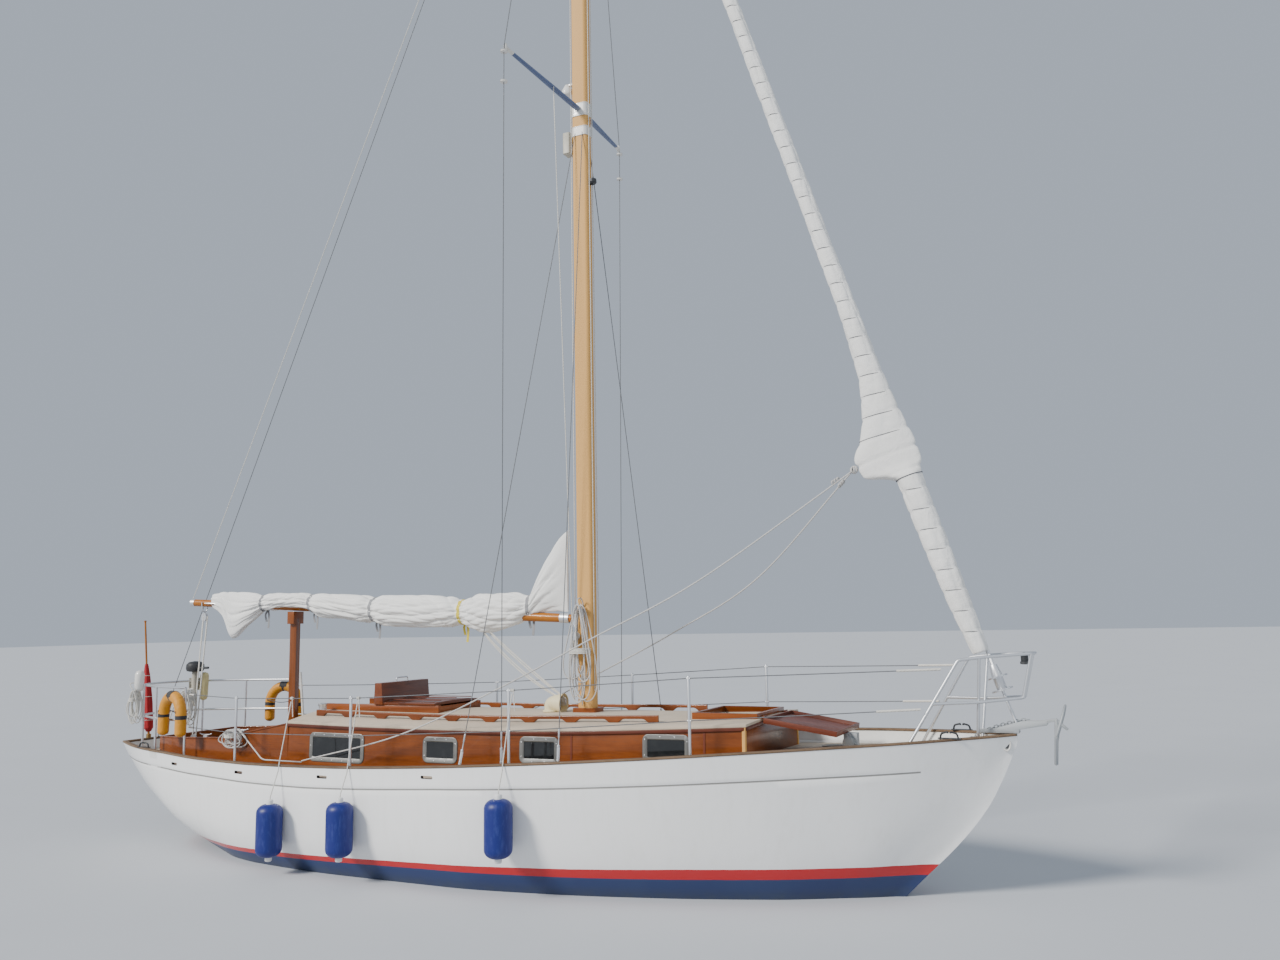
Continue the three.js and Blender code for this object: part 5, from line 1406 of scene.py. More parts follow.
    def hatch_trim(self) -> None:
        """Battens and a grab bar on the companion hatch."""
        lid = Shape()
        for y in (-0.26, 0.0, 0.26):
            lid.add(sweep([(x, y, 1.4985 + 0.013 * (1 - (y / 0.375)**2)) for x in (-1.30, -0.70)],
                          rectangle(0.012, 0.004, 0.003), (0, 0, 1)))
        lid.build("hatch_battens", DARK_AND_SHADED_MAHOGANY, "mahogany", body="companion_hatch")
        grab = rounded([(-1.372, -0.09, 1.672), (-1.372, -0.09, 1.712), (-1.372, 0.09, 1.712),
                        (-1.372, 0.09, 1.672)], 0.03)
        Shape().add(tube(grab, 0.007, 12)).build("hatch_grab", STAINLESS, "stainless", body="companion_hatch")

    def build(self) -> None:
        """Builds the coachroof."""
        dress(MAHOGANY, "mahogany", "cabin_trunk", "hatch_runners", "washboard", bevel=0.002)
        # The fore hatch lid's darker mahogany is painted shade.
        dress(DARK_AND_SHADED_MAHOGANY, "mahogany", "fore_hatch_lid", bevel=0.003)
        dress(ACROSS, "mahogany", "companion_hatch", bevel=0.004)
        dress(MAHOGANY, "mahogany", "fore_hatch_coaming", bevel=0.003)
        dress(DECK, "deck_paint", "cabin_top", bevel=0.006)
        windows = [f"window_{side}_{i}" for side in ("port", "stbd") for i in (1, 2, 3, 4)]
        self.window_frames().build("window_frames", [ALUMINIUM, STAINLESS], "window_glass", crease=30)
        self.panes().build("window_panes", SHADED_GLASS, "window_glass", replaces=windows)
        self.mouldings()
        self.handrails()
        self.hatch_trim()


@dataclass
class Cockpit:
    """The cockpit: coaming with its cap, benches with slats, a grating and turning blocks."""
    slat: float = 0.050
    slat_gap: float = 0.007
    seat: float = 0.6623

    def coaming_cap(self) -> None:
        """A rounded cap along the coaming's top edge, across its aft end and up to the coachroof."""
        side = COAMING + [0, -0.013, 0.006]
        line = np.vstack([side[::-1], mirrored(side)])
        line = rounded(line, 0.05)
        cap = Shape().add(sweep(resample(line, 160), rectangle(0.019, 0.008, 0.006), (0, 0, 1)))
        cap.build("coaming_cap", MAHOGANY, "mahogany")

    def slats(self) -> None:
        """Slats along both benches, each from where the bench is wide enough, and a sole grating."""
        shape = Shape()
        for k in range(7):
            y = 0.345 + self.slat / 2 + k * (self.slat + self.slat_gap)
            start = max(-4.10, -4.13 + (y + self.slat / 2 + 0.012 - 0.484) / 0.248 * 2.005)
            if start > -2.6:
                break
            line = np.array([(start, y, self.seat + 0.006), (-2.14, y, self.seat + 0.006)])
            shape.both(sweep(line, rectangle(self.slat / 2, 0.0062, 0.003), (0, 0, 1)))
        for y in np.linspace(-0.27, 0.27, 9):
            line = np.array([(-2.58, y, 0.3285), (-2.22, y, 0.3285)])
            shape.add(sweep(line, rectangle(0.010, 0.008, 0.002), (0, 0, 1)))
            aft = np.array([(-3.80, y, 0.3285), (-3.42, y, 0.3285)])
            shape.add(sweep(aft, rectangle(0.010, 0.008, 0.002), (0, 0, 1)))
        for x in (-3.76, -3.61, -3.46, -2.54, -2.40, -2.26):
            line = np.array([(x, -0.29, 0.3245), (x, 0.29, 0.3245)])
            shape.add(sweep(line, rectangle(0.012, 0.004, 0.001), (0, 0, 1)))
        shape.build("cockpit_slats", TEAK, "weathered_teak")

    def blocks(self) -> None:
        """Turning blocks on the side decks abreast of the cockpit, and cleats on the coaming."""
        shape = Shape()
        for x in (-1.66, -2.17):
            y = -1.10 if x > -2 else -1.08
            base = LINES.deck_top(x, y)
            cheek = rectangle(0.045, 0.030, 0.028, 8) + [x, base + 0.045]
            for offset in (-0.018, 0.010):
                shape.both(slab(cheek, Axis.Y, y + offset, y + offset + 0.006))
            sheave = [(0.024, 0), (0.019, 0.006), (0.024, 0.018)]
            shape.both(lathe(sheave, (x, y - 0.010, base + 0.047), (0, 1, 0), 20))
            shape.both(block((x - 0.03, y - 0.02, base - 0.002), (x + 0.03, y + 0.016, base + 0.018)))
        for x in (-3.35, -2.75):
            z = float(np.interp(x, COAMING[:, 0], COAMING[:, 2]))
            y = float(np.interp(x, COAMING[:, 0], COAMING[:, 1]))
            horns = smooth([(x - 0.085, y - 0.012, z + 0.052), (x - 0.04, y - 0.012, z + 0.040),
                            (x + 0.04, y - 0.012, z + 0.040), (x + 0.085, y - 0.012, z + 0.052)], 15)
            shape.both(tube(horns, 0.0085 * np.sin(np.linspace(0.5, math.pi - 0.5, 15)), 10))
            shape.both(block((x - 0.025, y - 0.022, z + 0.008), (x + 0.025, y - 0.002, z + 0.040)))
        shape.build("blocks_and_cleats", STAINLESS, "stainless", bevel=0.0015)

    def build(self) -> None:
        """Builds the cockpit."""
        dress(MAHOGANY, "mahogany", "cockpit_coaming", bevel=0.003)
        dress(TEAK, "weathered_teak", "cockpit_seats", bevel=0.003)
        dress(UPRIGHT, "mahogany", "boom_crutch", bevel=0.006)
        dress(MAHOGANY, "mahogany", "tiller", bevel=0.002)
        self.coaming_cap()
        self.slats()
        self.blocks()


@dataclass
class RudderGear:
    """The rudder's blade and stock."""

    @staticmethod
    def axis_x(z: float) -> float:
        """The rudder axis's place along x at a height."""
        return -2.300 - (z + 1.500) * 0.5667

    def build(self) -> None:
        """A blade with a rounded leading edge and a thin trailing edge, straps and the stock."""
        low, high = -1.495, -0.232
        z = np.linspace(low, high, 40)
        lead = np.array([self.axis_x(v) - 0.004 for v in z])
        outline_z = [-1.50, -1.34, -1.00, -0.62, -0.33, -0.225]
        outline_x = [-2.64, -2.96, -3.25, -3.44, -3.48, -3.40]
        trail = np.interp(z, outline_z, outline_x)
        trail = np.minimum(trail, lead - 0.05)
        s = np.linspace(0, 1, 16)
        half = 0.022 * np.clip(np.minimum(np.sqrt(s / 0.06 + 0.02), 1.0), 0, 1) * (1 - 0.72 * s**2)
        across = np.r_[half, -half[::-1]]
        fraction = np.r_[s, s[::-1]]
        ring = np.stack([
            lead[:, None] + (trail - lead)[:, None] * fraction,
            np.broadcast_to(across, (40, 32)),
            np.broadcast_to(z[:, None], (40, 32)),
        ], 2)
        shape = Shape().add(ring)
        stock = np.array([(self.axis_x(v), 0, v) for v in (-1.532, 0.80)])
        shape.add(tube(stock, 0.024, 32), 1)
        for v in (-1.30, -0.85, -0.42):
            x = self.axis_x(v)
            strap = rectangle(0.19, 0.022, 0.008) + [x - 0.20, v - 0.01]
            shape.add(slab(strap, Axis.Y, -0.0245, 0.0245), 1)
        shape.build("rudder_blade", [NAVY, BRONZE], "antifouling", body="rudder", replaces=["rudder"])


@dataclass
class Propeller:
    """The propeller: three pitched blades on a hub, with its shaft."""
    radius: float = 0.172
    pitch: float = 0.30

    @staticmethod
    def shaft(x: float) -> Triple:
        """A point of the shaft's line."""
        return (x, 0.0, -0.850 + (x + 2.470) * SHAFT_RISE)

    def build(self) -> None:
        """Blades as a grid: radius by chord, each section turned by the pitch over its own circle. The
        hub and the shaft join them, and the engine is dressed."""
        axis = np.array([1, 0, SHAFT_RISE]) / math.hypot(1, SHAFT_RISE)
        up = np.array([-axis[2], 0, axis[0]])
        side = np.array([0.0, 1, 0])
        centre = np.array(self.shaft(-2.480))
        r = np.linspace(0.022, self.radius, 24)
        span = (r - 0.022) / (self.radius - 0.022)
        narrowing = np.sqrt(np.clip(1 - np.clip(span - 0.45, 0, 1) ** 2 / 0.305, 0.01, 1))
        chord = 0.052 * narrowing * (0.55 + 0.45 * np.clip(span * 2.4, 0, 1))
        turn = np.arctan2(self.pitch, 2 * math.pi * r)
        s = np.linspace(-1, 1, 12)
        thick = 0.0045 * (1.25 - span)[:, None] * np.sqrt(np.clip(1 - s**2, 0.02, 1))
        s_loop = np.r_[s, s[::-1]]
        d_loop = np.concatenate([thick, -thick[:, ::-1]], 1)
        along = s_loop * chord[:, None] * np.sin(turn)[:, None] + d_loop * np.cos(turn)[:, None]
        round_it = s_loop * chord[:, None] * np.cos(turn)[:, None] - d_loop * np.sin(turn)[:, None]
        shape = Shape()
        for angle in np.radians([0, 120, 240]):
            out = up * math.cos(angle) + side * math.sin(angle)
            beside = np.cross(axis, out)
            blade = centre + along[..., None] * axis + r[:, None, None] * out
            shape.add(blade + round_it[..., None] * beside)
        hub = [(0.006, -0.062), (0.018, -0.056), (0.026, -0.044), (0.031, -0.02), (0.036, 0.03),
               (0.034, 0.042), (0.016, 0.044)]
        shape.add(lathe(hub, centre, tuple(axis), 32))
        shape.add(tube([self.shaft(-2.46), self.shaft(-1.757)], 0.0148, 24), 1)
        finishes = [BRONZE, STAINLESS]
        shape.build("propeller_blades", finishes, "bronze", body="propeller", replaces=["propeller"])
        dress(ENGINE, "engine_paint", "engine", bevel=0.02)


# Spars, sails and rigging

# The stowed mainsail, in millimetres: place along the boom, bottom, top and half-breadth.
BUNDLE = [
    [70, 60, 850, 12], [160, 58, 770, 44], [280, 50, 600, 76], [400, 15, 385, 92], [486, -36, 235, 96],
    [700, -120, 235, 122], [1000, -180, 215, 140], [1240, -140, 175, 142], [1700, -165, 180, 150],
    [2100, -170, 165, 150], [2600, -120, 165, 140], [3000, -100, 165, 128], [3240, -34, 165, 120],
    [3460, -30, 150, 120], [3640, -60, 150, 120], [3750, -85, 140, 112], [3960, -220, 142, 90],
    [4190, -380, 140, 62], [4320, -150, 138, 62], [4470, -46, 110, 50],
]
# The headsail's sleeve, in millimetres: height, half-width along the boat and half-thickness.
SLEEVE_ROWS = [
    [1955, 70, 66], [2300, 92, 82], [2900, 108, 92], [3420, 114, 92], [3560, 262, 60], [3700, 275, 66],
    [3880, 205, 72], [4100, 150, 76], [4400, 108, 78], [5200, 84, 74], [8100, 70, 64],
    [11000, 48, 46], [12700, 26, 26],
]


def on_boom(run: Array | float, across: Array | float = 0.0, lift: Array | float = 0.0) -> Array:
    """Points by their run aft of the gooseneck, across the boom and above its middle, where it lies:
    the boom rises 0.055 to 1 and is turned 3.2 degrees to starboard.

    Args:
        run: Distances aft of the gooseneck.
        across: Distances to port of the boom's middle.
        lift: Heights above it.
    Returns:
        The points, in the frame.
    """
    yaw = math.radians(3.2)
    x = GOOSENECK[0] - run * math.cos(yaw) - across * math.sin(yaw)
    y = -run * math.sin(yaw) + across * math.cos(yaw)
    return np.stack(np.broadcast_arrays(x, y, GOOSENECK[2] + 0.055 * np.asarray(run) + lift), -1)


def forestay(z: Array | float) -> Array:
    """Points of the forestay at heights."""
    z = np.asarray(z, float)
    return np.stack([4.622 - (z - 1.350) / 3.184, np.zeros_like(z), z], -1)


def folds(turns: Array, run: Array, depth: Array, seed: int, families: Sequence[Point]) -> Array:
    """Depths of the folds in gathered cloth: each family is a row of round ridges between sharp creases,
    one minus a root of a cosine, whose phase grows round the section and along the piece and wanders.

    Args:
        turns: Angles round the section, n of them.
        run: Places along the piece, m of them.
        depth: The deepest fold at each place.
        seed: Picks how the phases wander.
        families: Rows of ridges round the section, phase to a metre of run, wander and share of depth.
    Returns:
        How far each point lies inside the smooth section, m by n.
    """
    random = np.random.default_rng(seed)
    total = np.zeros((len(run), len(turns)))
    for count, rate, wander, share in families:
        bends = sum(np.sin(run * random.uniform(1.0, 6.0) + random.uniform(0, 6.3)) for _ in range(4))
        phase = count * turns / 2 + rate * run[:, None] / 2 + wander * bends[:, None]
        total += share * (1 - np.abs(np.cos(phase + 0.35 * np.sin(2 * turns))) ** 0.55)
    return total * depth[:, None]


@dataclass
class Spars:
    """The mast with its fittings, the spreaders and the boom."""
    x: float = 0.800
    head: float = 13.400
    taper: float = 9.800

    def mast(self) -> None:
        """A rounded box section that tapers to its head, with collars, step, winch, lamps and reflector."""
        z = np.r_[1.412, 1.5, 3.0, 5.0, 7.0, 9.0, np.linspace(self.taper, self.head, 10)]
        t = np.clip((z - self.taper) / (self.head - self.taper), 0, 1)
        slim = 1 - 0.34 * t
        section = np.stack([rectangle(0.086 * (1 - 0.38 * k), 0.061 * s, 0.036 * s, 9)
                            for k, s in zip(t, slim)])
        ring = np.concatenate([section + [self.x, 0], np.broadcast_to(z[:, None, None], (len(z), 36, 1))], 2)
        shape = Shape().add(ring)
        white, steel, dark, grey, wood = 1, 2, 3, 4, 5
        for half, low, high, mark in ((0.090, 7.120, 7.210, white), (0.090, 7.330, 7.460, white),
                                      (0.072, 13.180, 13.270, steel)):
            collar = rectangle(half, 0.066, 0.038, 8) + [self.x, 0]
            shape.add(slab(collar, Axis.Z, low, high), mark)
            for edge in (low, high):
                lip = rectangle(half + 0.002, 0.068, 0.039, 8) + [self.x, 0]
                shape.add(slab(lip, Axis.Z, edge - 0.004, edge + 0.004), mark)
        shape.add(slab(rectangle(0.096, 0.046, 0.02) + [self.x + 0.004, 0], Axis.Z, 13.340, 13.430), steel)
        shape.add(slab(rectangle(0.125, 0.095, 0.03) + [self.x, 0], Axis.Z, 1.385, 1.442), wood)
        for low, high in ((2.191, 2.214), (2.302, 2.325)):
            shape.add(slab(rectangle(0.073, 0.016, 0.014) + [self.x - 0.073, 0], Axis.Z, low, high), steel)
        shape.add(slab(rectangle(0.010, 0.070, 0.008) + [self.x - 0.084, 0], Axis.Z, 2.16, 2.36), steel)
        winch = [(0.034, 0), (0.036, 0.010), (0.030, 0.016), (0.027, 0.035), (0.030, 0.056), (0.042, 0.066),
                 (0.042, 0.073), (0.012, 0.075)]
        shape.add(lathe(winch, (self.x - 0.080, -0.055, 2.110), (0, -1, 0), 28), steel)
        lamp = [(0.010, 7.600), (0.058, 7.602), (0.062, 7.612), (0.062, 7.640), (0.050, 7.672),
                (0.024, 7.720)]
        shape.add(lathe(lamp, (self.x - 0.160, 0, 0), sides=28), white)
        shape.add(slab(rectangle(0.037, 0.020, 0.006) + [self.x - 0.115, 0], Axis.Z, 7.700, 7.720), white)
        shape.add(slab(rectangle(0.040, 0.060, 0.012) + [self.x - 0.150, 0], Axis.Z, 6.960, 7.180), grey)
        shape.add(slab(rectangle(0.024, 0.015, 0.003) + [self.x - 0.100, 0], Axis.Z, 7.050, 7.080), grey)
        shape.add(lathe([(0.030, 0), (0.040, 0.015), (0.036, 0.05), (0.010, 0.062)],
                        (self.x + 0.120, 0, 6.60), sides=20), dark)
        shape.add(block((self.x + 0.08, -0.012, 6.600), (self.x + 0.125, 0.012, 6.612)), dark)
        for z0 in (1.55, 1.75):
            horns = np.array([(self.x - 0.02, -0.078, z0 + d) for d in np.linspace(-0.085, 0.085, 13)])
            shape.add(tube(horns, 0.009 * np.sin(np.linspace(0.5, 2.64, 13)), 8), steel)
            shape.add(block((self.x - 0.03, -0.076, z0 - 0.02), (self.x - 0.01, -0.055, z0 + 0.02)), steel)
        finishes = [SPRUCE, WHITE, STAINLESS, DARK, BEIGE, MAHOGANY]
        shape.build("mast_spar", finishes, "spruce", replaces=["mast"], bevel=0.002)

    def spreaders(self) -> None:
        """Flattened arms that taper outwards, white-capped, with two rollers on each cap shroud."""
        t = np.linspace(0, 1, 24)[:, None]
        line = np.array([0.795, 0.067, 7.400]) * (1 - t) + np.array([0.640, 1.176, 7.525]) * t
        k = t[:, 0] ** 1.6
        oval = circle(1, 24)
        section = np.stack([oval * [0.034 * (1 - a) + 0.019 * a, 0.020 * (1 - a) + 0.012 * a] for a in k])
        arm = Shape().both(sweep(line, section, (0, 0, 1)))
        tip = line[-3:]
        arm.both(sweep(tip, oval * [0.0215, 0.0150], (0, 0, 1)), 1)
        arm.both(lathe([(0.014, -0.024), (0.020, -0.018), (0.020, 0.014), (0.014, 0.038)],
                       (0.640, 1.180, 7.525), sides=20), 1)
        nodes = ["spreader_port", "spreader_stbd"]
        arm.build("spreader_arms", [SLATE, WHITE], "slate_blue", replaces=nodes)
        rollers = Shape()
        for z in (7.475, 7.18):
            top, foot = np.array([0.640, 1.206, 7.525]), np.array([0.577, LINES.deck_y(0.577) - 0.095, 0.95])
            centre = top + (foot - top) * (7.525 - z) / (7.525 - 0.95)
            profile = [(0.006, -0.010), (0.034, -0.008), (0.028, 0.0), (0.034, 0.008), (0.006, 0.010)]
            rollers.both(lathe(profile, centre, top - foot, 24))
        rollers.build("shroud_rollers", WHITE, "topside_white")

    def boom(self) -> None:
        """A round spar that tapers aft, its gooseneck fork and pin, end cap, bails and outhaul cleat."""
        run = np.linspace(0.030, 4.762, 30)
        radius = 0.045 - 0.0063 * run / 4.78
        radius[:3] *= [0.82, 0.94, 0.99]
        shape = Shape().add(tube(on_boom(run), radius, 32))
        steel = 1
        ends = on_boom(np.array([4.735, 4.745, 4.785, 4.791]))
        shape.add(tube(ends, np.array([0.0405, 0.0415, 0.0410, 0.034]), 32), steel)
        band = on_boom(np.array([0.055, 0.058, 0.15, 0.153]))
        shape.add(tube(band, np.array([0.044, 0.047, 0.047, 0.044]), 32), steel)
        fork = slab(rectangle(0.034, 0.0135, 0.012) + [0.646, 0], Axis.Z, 2.2155, 2.3005)
        shape.add(fork, steel)
        shape.add(lathe([(0.0098, -0.0605), (0.0098, 0.0265)], GOOSENECK, sides=20), steel)
        for place, reach in ((4.60, 0.10), (1.00, 0.085)):
            corners = [(0.046, 0.01), (0.046, -0.04), (0.02, -reach),
                       (-0.02, -reach), (-0.046, -0.04), (-0.046, 0.01)]
            bail = [on_boom(place, across, lift) for across, lift in corners]
            shape.add(tube(rounded(bail, 0.03), 0.006, 10), steel)
        horns = on_boom(np.linspace(4.40, 4.56, 13), -0.052)
        shape.add(tube(horns, 0.008 * np.sin(np.linspace(0.5, 2.64, 13)), 8), steel)
        shape.build("boom_spar", [BOOM_WOOD, STAINLESS], "mahogany", body="boom", replaces=["boom"])

    def build(self) -> None:
        """Builds the spars."""
        self.mast()
        self.spreaders()
        self.boom()


@dataclass
class Sails:
    """The stowed mainsail with its ties, and the furled headsail in its laced sleeve."""
    ties: tuple[tuple[float, int], ...] = ((0.486, 0), (1.24, 1), (2.30, 0), (3.10, 0), (3.75, 0))
    lacing: float = 0.170
    sleeve_foot: float = 1.955

    def bundle(self, run: Array, turns: Array, out: float = 0.0) -> Array:
        """The bundle's surface: an oval section whose size follows the rows, pinched at each tie and
        gathered into folds.

        Args:
            run: Places along the boom, m of them.
            turns: Angles round the section, n of them.
            out: How far outside the surface to go.
        Returns:
            The points, m by n by 3.
        """
        rows = between_rows(np.array(BUNDLE, float) / 1000, run)
        middle, tall, half = (rows[:, 1] + rows[:, 2]) / 2, (rows[:, 2] - rows[:, 1]) / 2, rows[:, 3]
        pinch = 1 - sum(0.20 * np.exp(-((run - at) / 0.075) ** 2) for at, _ in self.ties)
        size = np.minimum(half, tall)
        families = [(9, 2.6, 0.8, 0.55), (17, -7.0, 1.1, 0.25), (5, 11.0, 1.3, 0.30), (29, 21.0, 0.6, 0.08)]
        inward = folds(turns, run, 0.050 * np.clip(size / 0.11, 0.15, 1.0), 4, families)
        calm = 1 - 0.7 * sum(np.exp(-((run - at) / 0.03) ** 2) for at, _ in self.ties)
        inward *= calm[:, None]
        across = (half * pinch)[:, None] * np.cos(turns)
        lift = (tall * pinch)[:, None] * np.sin(turns)
        length = np.hypot(across, lift) + 1e-9
        scale = 1 - np.minimum(inward - out, length * 0.7) / length
        return on_boom(run[:, None], across * scale, middle[:, None] + lift * scale)

    def mainsail(self) -> None:
        """The bundle and its ties, each with two hanging ends."""
        turns = bearings(120)
        run = np.linspace(0.070, 4.470, 430)
        sail = Shape().add(self.bundle(run, turns)).build("mainsail_bundle", SAIL, "sailcloth", "boom",
                                                          ["stowed_mainsail"], crease=180)
        ties = Shape()
        for at, mark in self.ties:
            wide = 0.016
            sides = [(-wide, 0.001), (wide, 0.001), (wide, 0.0035), (-wide, 0.0035)]
            rings = [self.bundle(np.array([at + d]), turns[::2], out)[0] for d, out in sides]
            ties.add(np.stack(rings, 1), mark, hoop=True)
            start = self.bundle(np.array([at]), np.array([-0.9]), 0.004)[0, 0]
            for lean, drop in ((0.03, 0.20), (-0.02, 0.13)):
                bend, end = start + [lean, -0.02, -drop * 0.4], start + [lean * 0.5, -0.01, -drop]
                tail = smooth([start, bend, end], 16)
                ties.add(sweep(tail, rectangle(0.013, 0.0012, 0.001), (0, 1, 0)), mark)
        ties.build("sail_ties", [GREY_TIE, YELLOW_TIE], "sailcloth", "boom", crease=60)

    def sleeve_rings(self, z: Array, turns: Array, out: float = 0.0, tilt: float = 0.0) -> Array:
        """The sleeve's surface: ovals square to the stay, their middles aft of it by 0.72 of their
        half-width, drawn in a little at each lacing and gathered in slanting folds.

        Args:
            z: Heights of the stay, m of them.
            turns: Angles round the section, n of them.
            out: How far outside the surface to go.
            tilt: How far a ring's aft side hangs below its fore side.
        Returns:
            The points, m by n by 3.
        """
        rows = between_rows(np.array(SLEEVE_ROWS, float) / 1000, z)
        near = (z - self.sleeve_foot) / self.lacing
        drawn = 1 - 0.06 * np.exp(-((near - np.round(near)) * self.lacing / 0.02) ** 2)
        families = [(3, 5.0, 0.7, 0.6), (7, -9.0, 0.9, 0.3), (13, 16.0, 0.6, 0.12)]
        inward = folds(turns, z, 0.016 * np.clip(rows[:, 2] / 0.08, 0.2, 1), 9, families)
        along = (rows[:, 1] * drawn)[:, None] * np.cos(turns)
        across = (rows[:, 2] * drawn)[:, None] * np.sin(turns)
        length = np.hypot(along, across) + 1e-9
        scale = 1 - np.minimum(inward - out, length * 0.6) / length
        forward = along * scale - 0.72 * rows[:, 1:2]
        normal = np.array([0.9541, 0, 0.2996])
        points = forestay(z)[:, None] + forward[..., None] * normal + (across * scale)[..., None] * [0, 1, 0]
        points[..., 2] += tilt * np.cos(turns)
        return points

    def headsail(self) -> None:
        """The sleeve, wide at the clew, with its lacing, and the forestay above it."""
        turns = bearings(64)
        spans = ((self.sleeve_foot, 3.42, 110), (3.42, 3.72, 50), (3.72, 12.70, 520))
        z = np.unique(np.concatenate([np.linspace(*span) for span in spans]))
        rings = self.sleeve_rings(z, turns)
        upper = tube([forestay(12.6), (0.890, 0, 13.380)], 0.006, 10)
        sleeve = Shape().add(rings).build("headsail_sleeve", SLEEVE, "sailcloth", "hull", ["furled_genoa"],
                                          crease=180)
        Shape().add(upper).build("forestay_top", WIRE_LAY, "stainless")
        lacing = Shape()
        for height in np.arange(self.sleeve_foot + self.lacing, 12.6, self.lacing):
            if not 3.38 < height < 3.72:
                ring = self.sleeve_rings(np.full(1, height), turns[::2], 0.003, -0.022)[0]
                lacing.add(self.cord_round(ring, 0.0028), hoop=True)
        foot = self.sleeve_rings(np.full(1, 3.430), turns[::2], 0.002)[0]
        lacing.add(self.cord_round(foot, 0.004), hoop=True)
        lacing.build("sleeve_lacing", DARK_ROPE, "sailcloth", crease=180)

    @staticmethod
    def cord_round(ring: Array, radius: float, sides: int = 6) -> Array:
        """A cord laid round a closed ring: at each point a circle across the ring's own direction.

        Args:
            ring: The ring's points, m by 3.
            radius: The cord's radius.
            sides: Points round the cord.
        Returns:
            The cord's rings, m by sides by 3.
        """
        along = unit(np.roll(ring, -1, 0) - np.roll(ring, 1, 0))
        out = ring - ring.mean(0)
        out = unit(out - np.sum(out * along, 1)[:, None] * along)
        rise = np.cross(along, out)
        section = circle(radius, sides)
        return ring[:, None] + out[:, None] * section[:, :1] + rise[:, None] * section[:, 1:]

    def build(self) -> None:
        """Builds the sails."""
        self.mainsail()
        self.headsail()


def screw(shape: Shape, foot: Array, direction: Array, mark: int) -> None:
    """A turnbuckle on a shroud: a fork, two threaded ends and an open barrel of two side bars.

    Args:
        shape: The shape that it joins.
        foot: The shroud's foot.
        direction: The shroud's direction.
        mark: The turnbuckle's finish.
    """
    fork = [(0.004, 0.035), (0.010, 0.040), (0.010, 0.085), (0.006, 0.092), (0.006, 0.140), (0.014, 0.142),
            (0.014, 0.156), (0.0075, 0.160), (0.0075, 0.252), (0.014, 0.256), (0.014, 0.270), (0.006, 0.272),
            (0.006, 0.330), (0.0088, 0.334), (0.0088, 0.400), (0.0045, 0.404)]
    shape.add(lathe(fork, foot, direction, 16), mark)
    for side in (-1, 1):
        bar = foot + np.outer([0.150, 0.262], direction) + np.array([0.0105 * side, 0, 0])
        shape.add(tube(bar, 0.0035, 8), mark)


@dataclass
class StandingRigging:
    """Shrouds and backstay of laid wire, with turnbuckles and chainplates."""
    wire: float = 0.004

    def build(self) -> None:
        """Each wire is a thin tube from above its turnbuckle to the mast."""
        shape = Shape()
        steel = 1
        lowers = [(0.134, [(0.760, 0.062, 7.150)]), (0.577, [(0.640, 1.206, 7.525), (0.800, 0.062, 13.250)]),
                  (1.097, [(0.840, 0.062, 7.150)])]
        for x, ends in lowers:
            foot = np.array([x, LINES.deck_y(x) - 0.095, LINES.deck_z(x) - 0.020])
            direction = unit(np.array(ends[0]) - foot)
            line = np.vstack([foot + direction * 0.39, *ends])
            for a, b in zip(line, line[1:]):
                shape.both(tube([a, b], self.wire, 10))
            for sign in (1, -1):
                screw(shape, foot * [1, sign, 1], direction * [1, sign, 1], steel)
            y = foot[1]
            plate = rectangle(0.018, 0.031, 0.010) + [x, foot[2] + 0.031]
            shape.both(slab(plate, Axis.Y, y - 0.006, y + 0.006), steel)
            shape.both(slab(rectangle(0.040, 0.020, 0.008) + [x, y], Axis.Z,
                            LINES.deck_top(x, y) - 0.002, LINES.deck_top(x, y) + 0.004), steel)
        foot, head = np.array([-4.892, 0, 1.028]), np.array([0.730, 0, 13.390])
        direction = unit(head - foot)
        shape.add(tube([foot + direction * 0.39, head], self.wire, 10))
        screw(shape, foot, direction, steel)
        lug = rectangle(0.021, 0.031, 0.012) + [-4.891, 1.039]
        shape.add(slab(lug, Axis.Y, -0.009, 0.009), steel)
        names = ("aft_lower", "cap_shroud", "fwd_lower")
        nodes = [f"{name}_{side}" for name in names for side in ("port", "stbd")]
        shape.build("standing_wires", [WIRE_LAY, STAINLESS], "stainless", replaces=[*nodes, "backstay"])


def pulley(shape: Shape, centre: Point, mark: int, size: float = 0.028) -> None:
    """A rope block: two oval cheeks with a sheave between them and a strap over the top.

    Args:
        shape: The shape that it joins.
        centre: Its sheave's middle.
        mark: Its finish.
        size: Its half-width.
    """
    x, y, z = centre
    cheek = rectangle(size, size * 1.35, size * 0.98, 6) + [x, z]
    for low in (-0.014, 0.009):
        shape.add(slab(cheek, Axis.Y, y + low, y + low + 0.005), mark)
    wheel = [(0.004, -0.009), (size * 0.8, -0.009), (size * 0.6, 0), (size * 0.8, 0.009), (0.004, 0.009)]
    shape.add(lathe(wheel, centre, (0, 1, 0), 20), mark)
    high = z + size * 1.9
    strap = [(x, y - 0.014, z), (x, y - 0.014, high), (x, y + 0.014, high), (x, y + 0.014, z)]
    shape.add(tube(rounded(strap, 0.012), 0.003, 8), mark)


def loose_cord(name: str, line: Array, diameter: float, finish: Finish) -> None:
    """Args:
        name: The piece's name.
        line: Its middle line.
        diameter: Its diameter.
        finish: Its finish.
    """
    piece = Shape().add(tube(line, diameter / 2, 8)).build(name, finish, "stainless", crease=180)


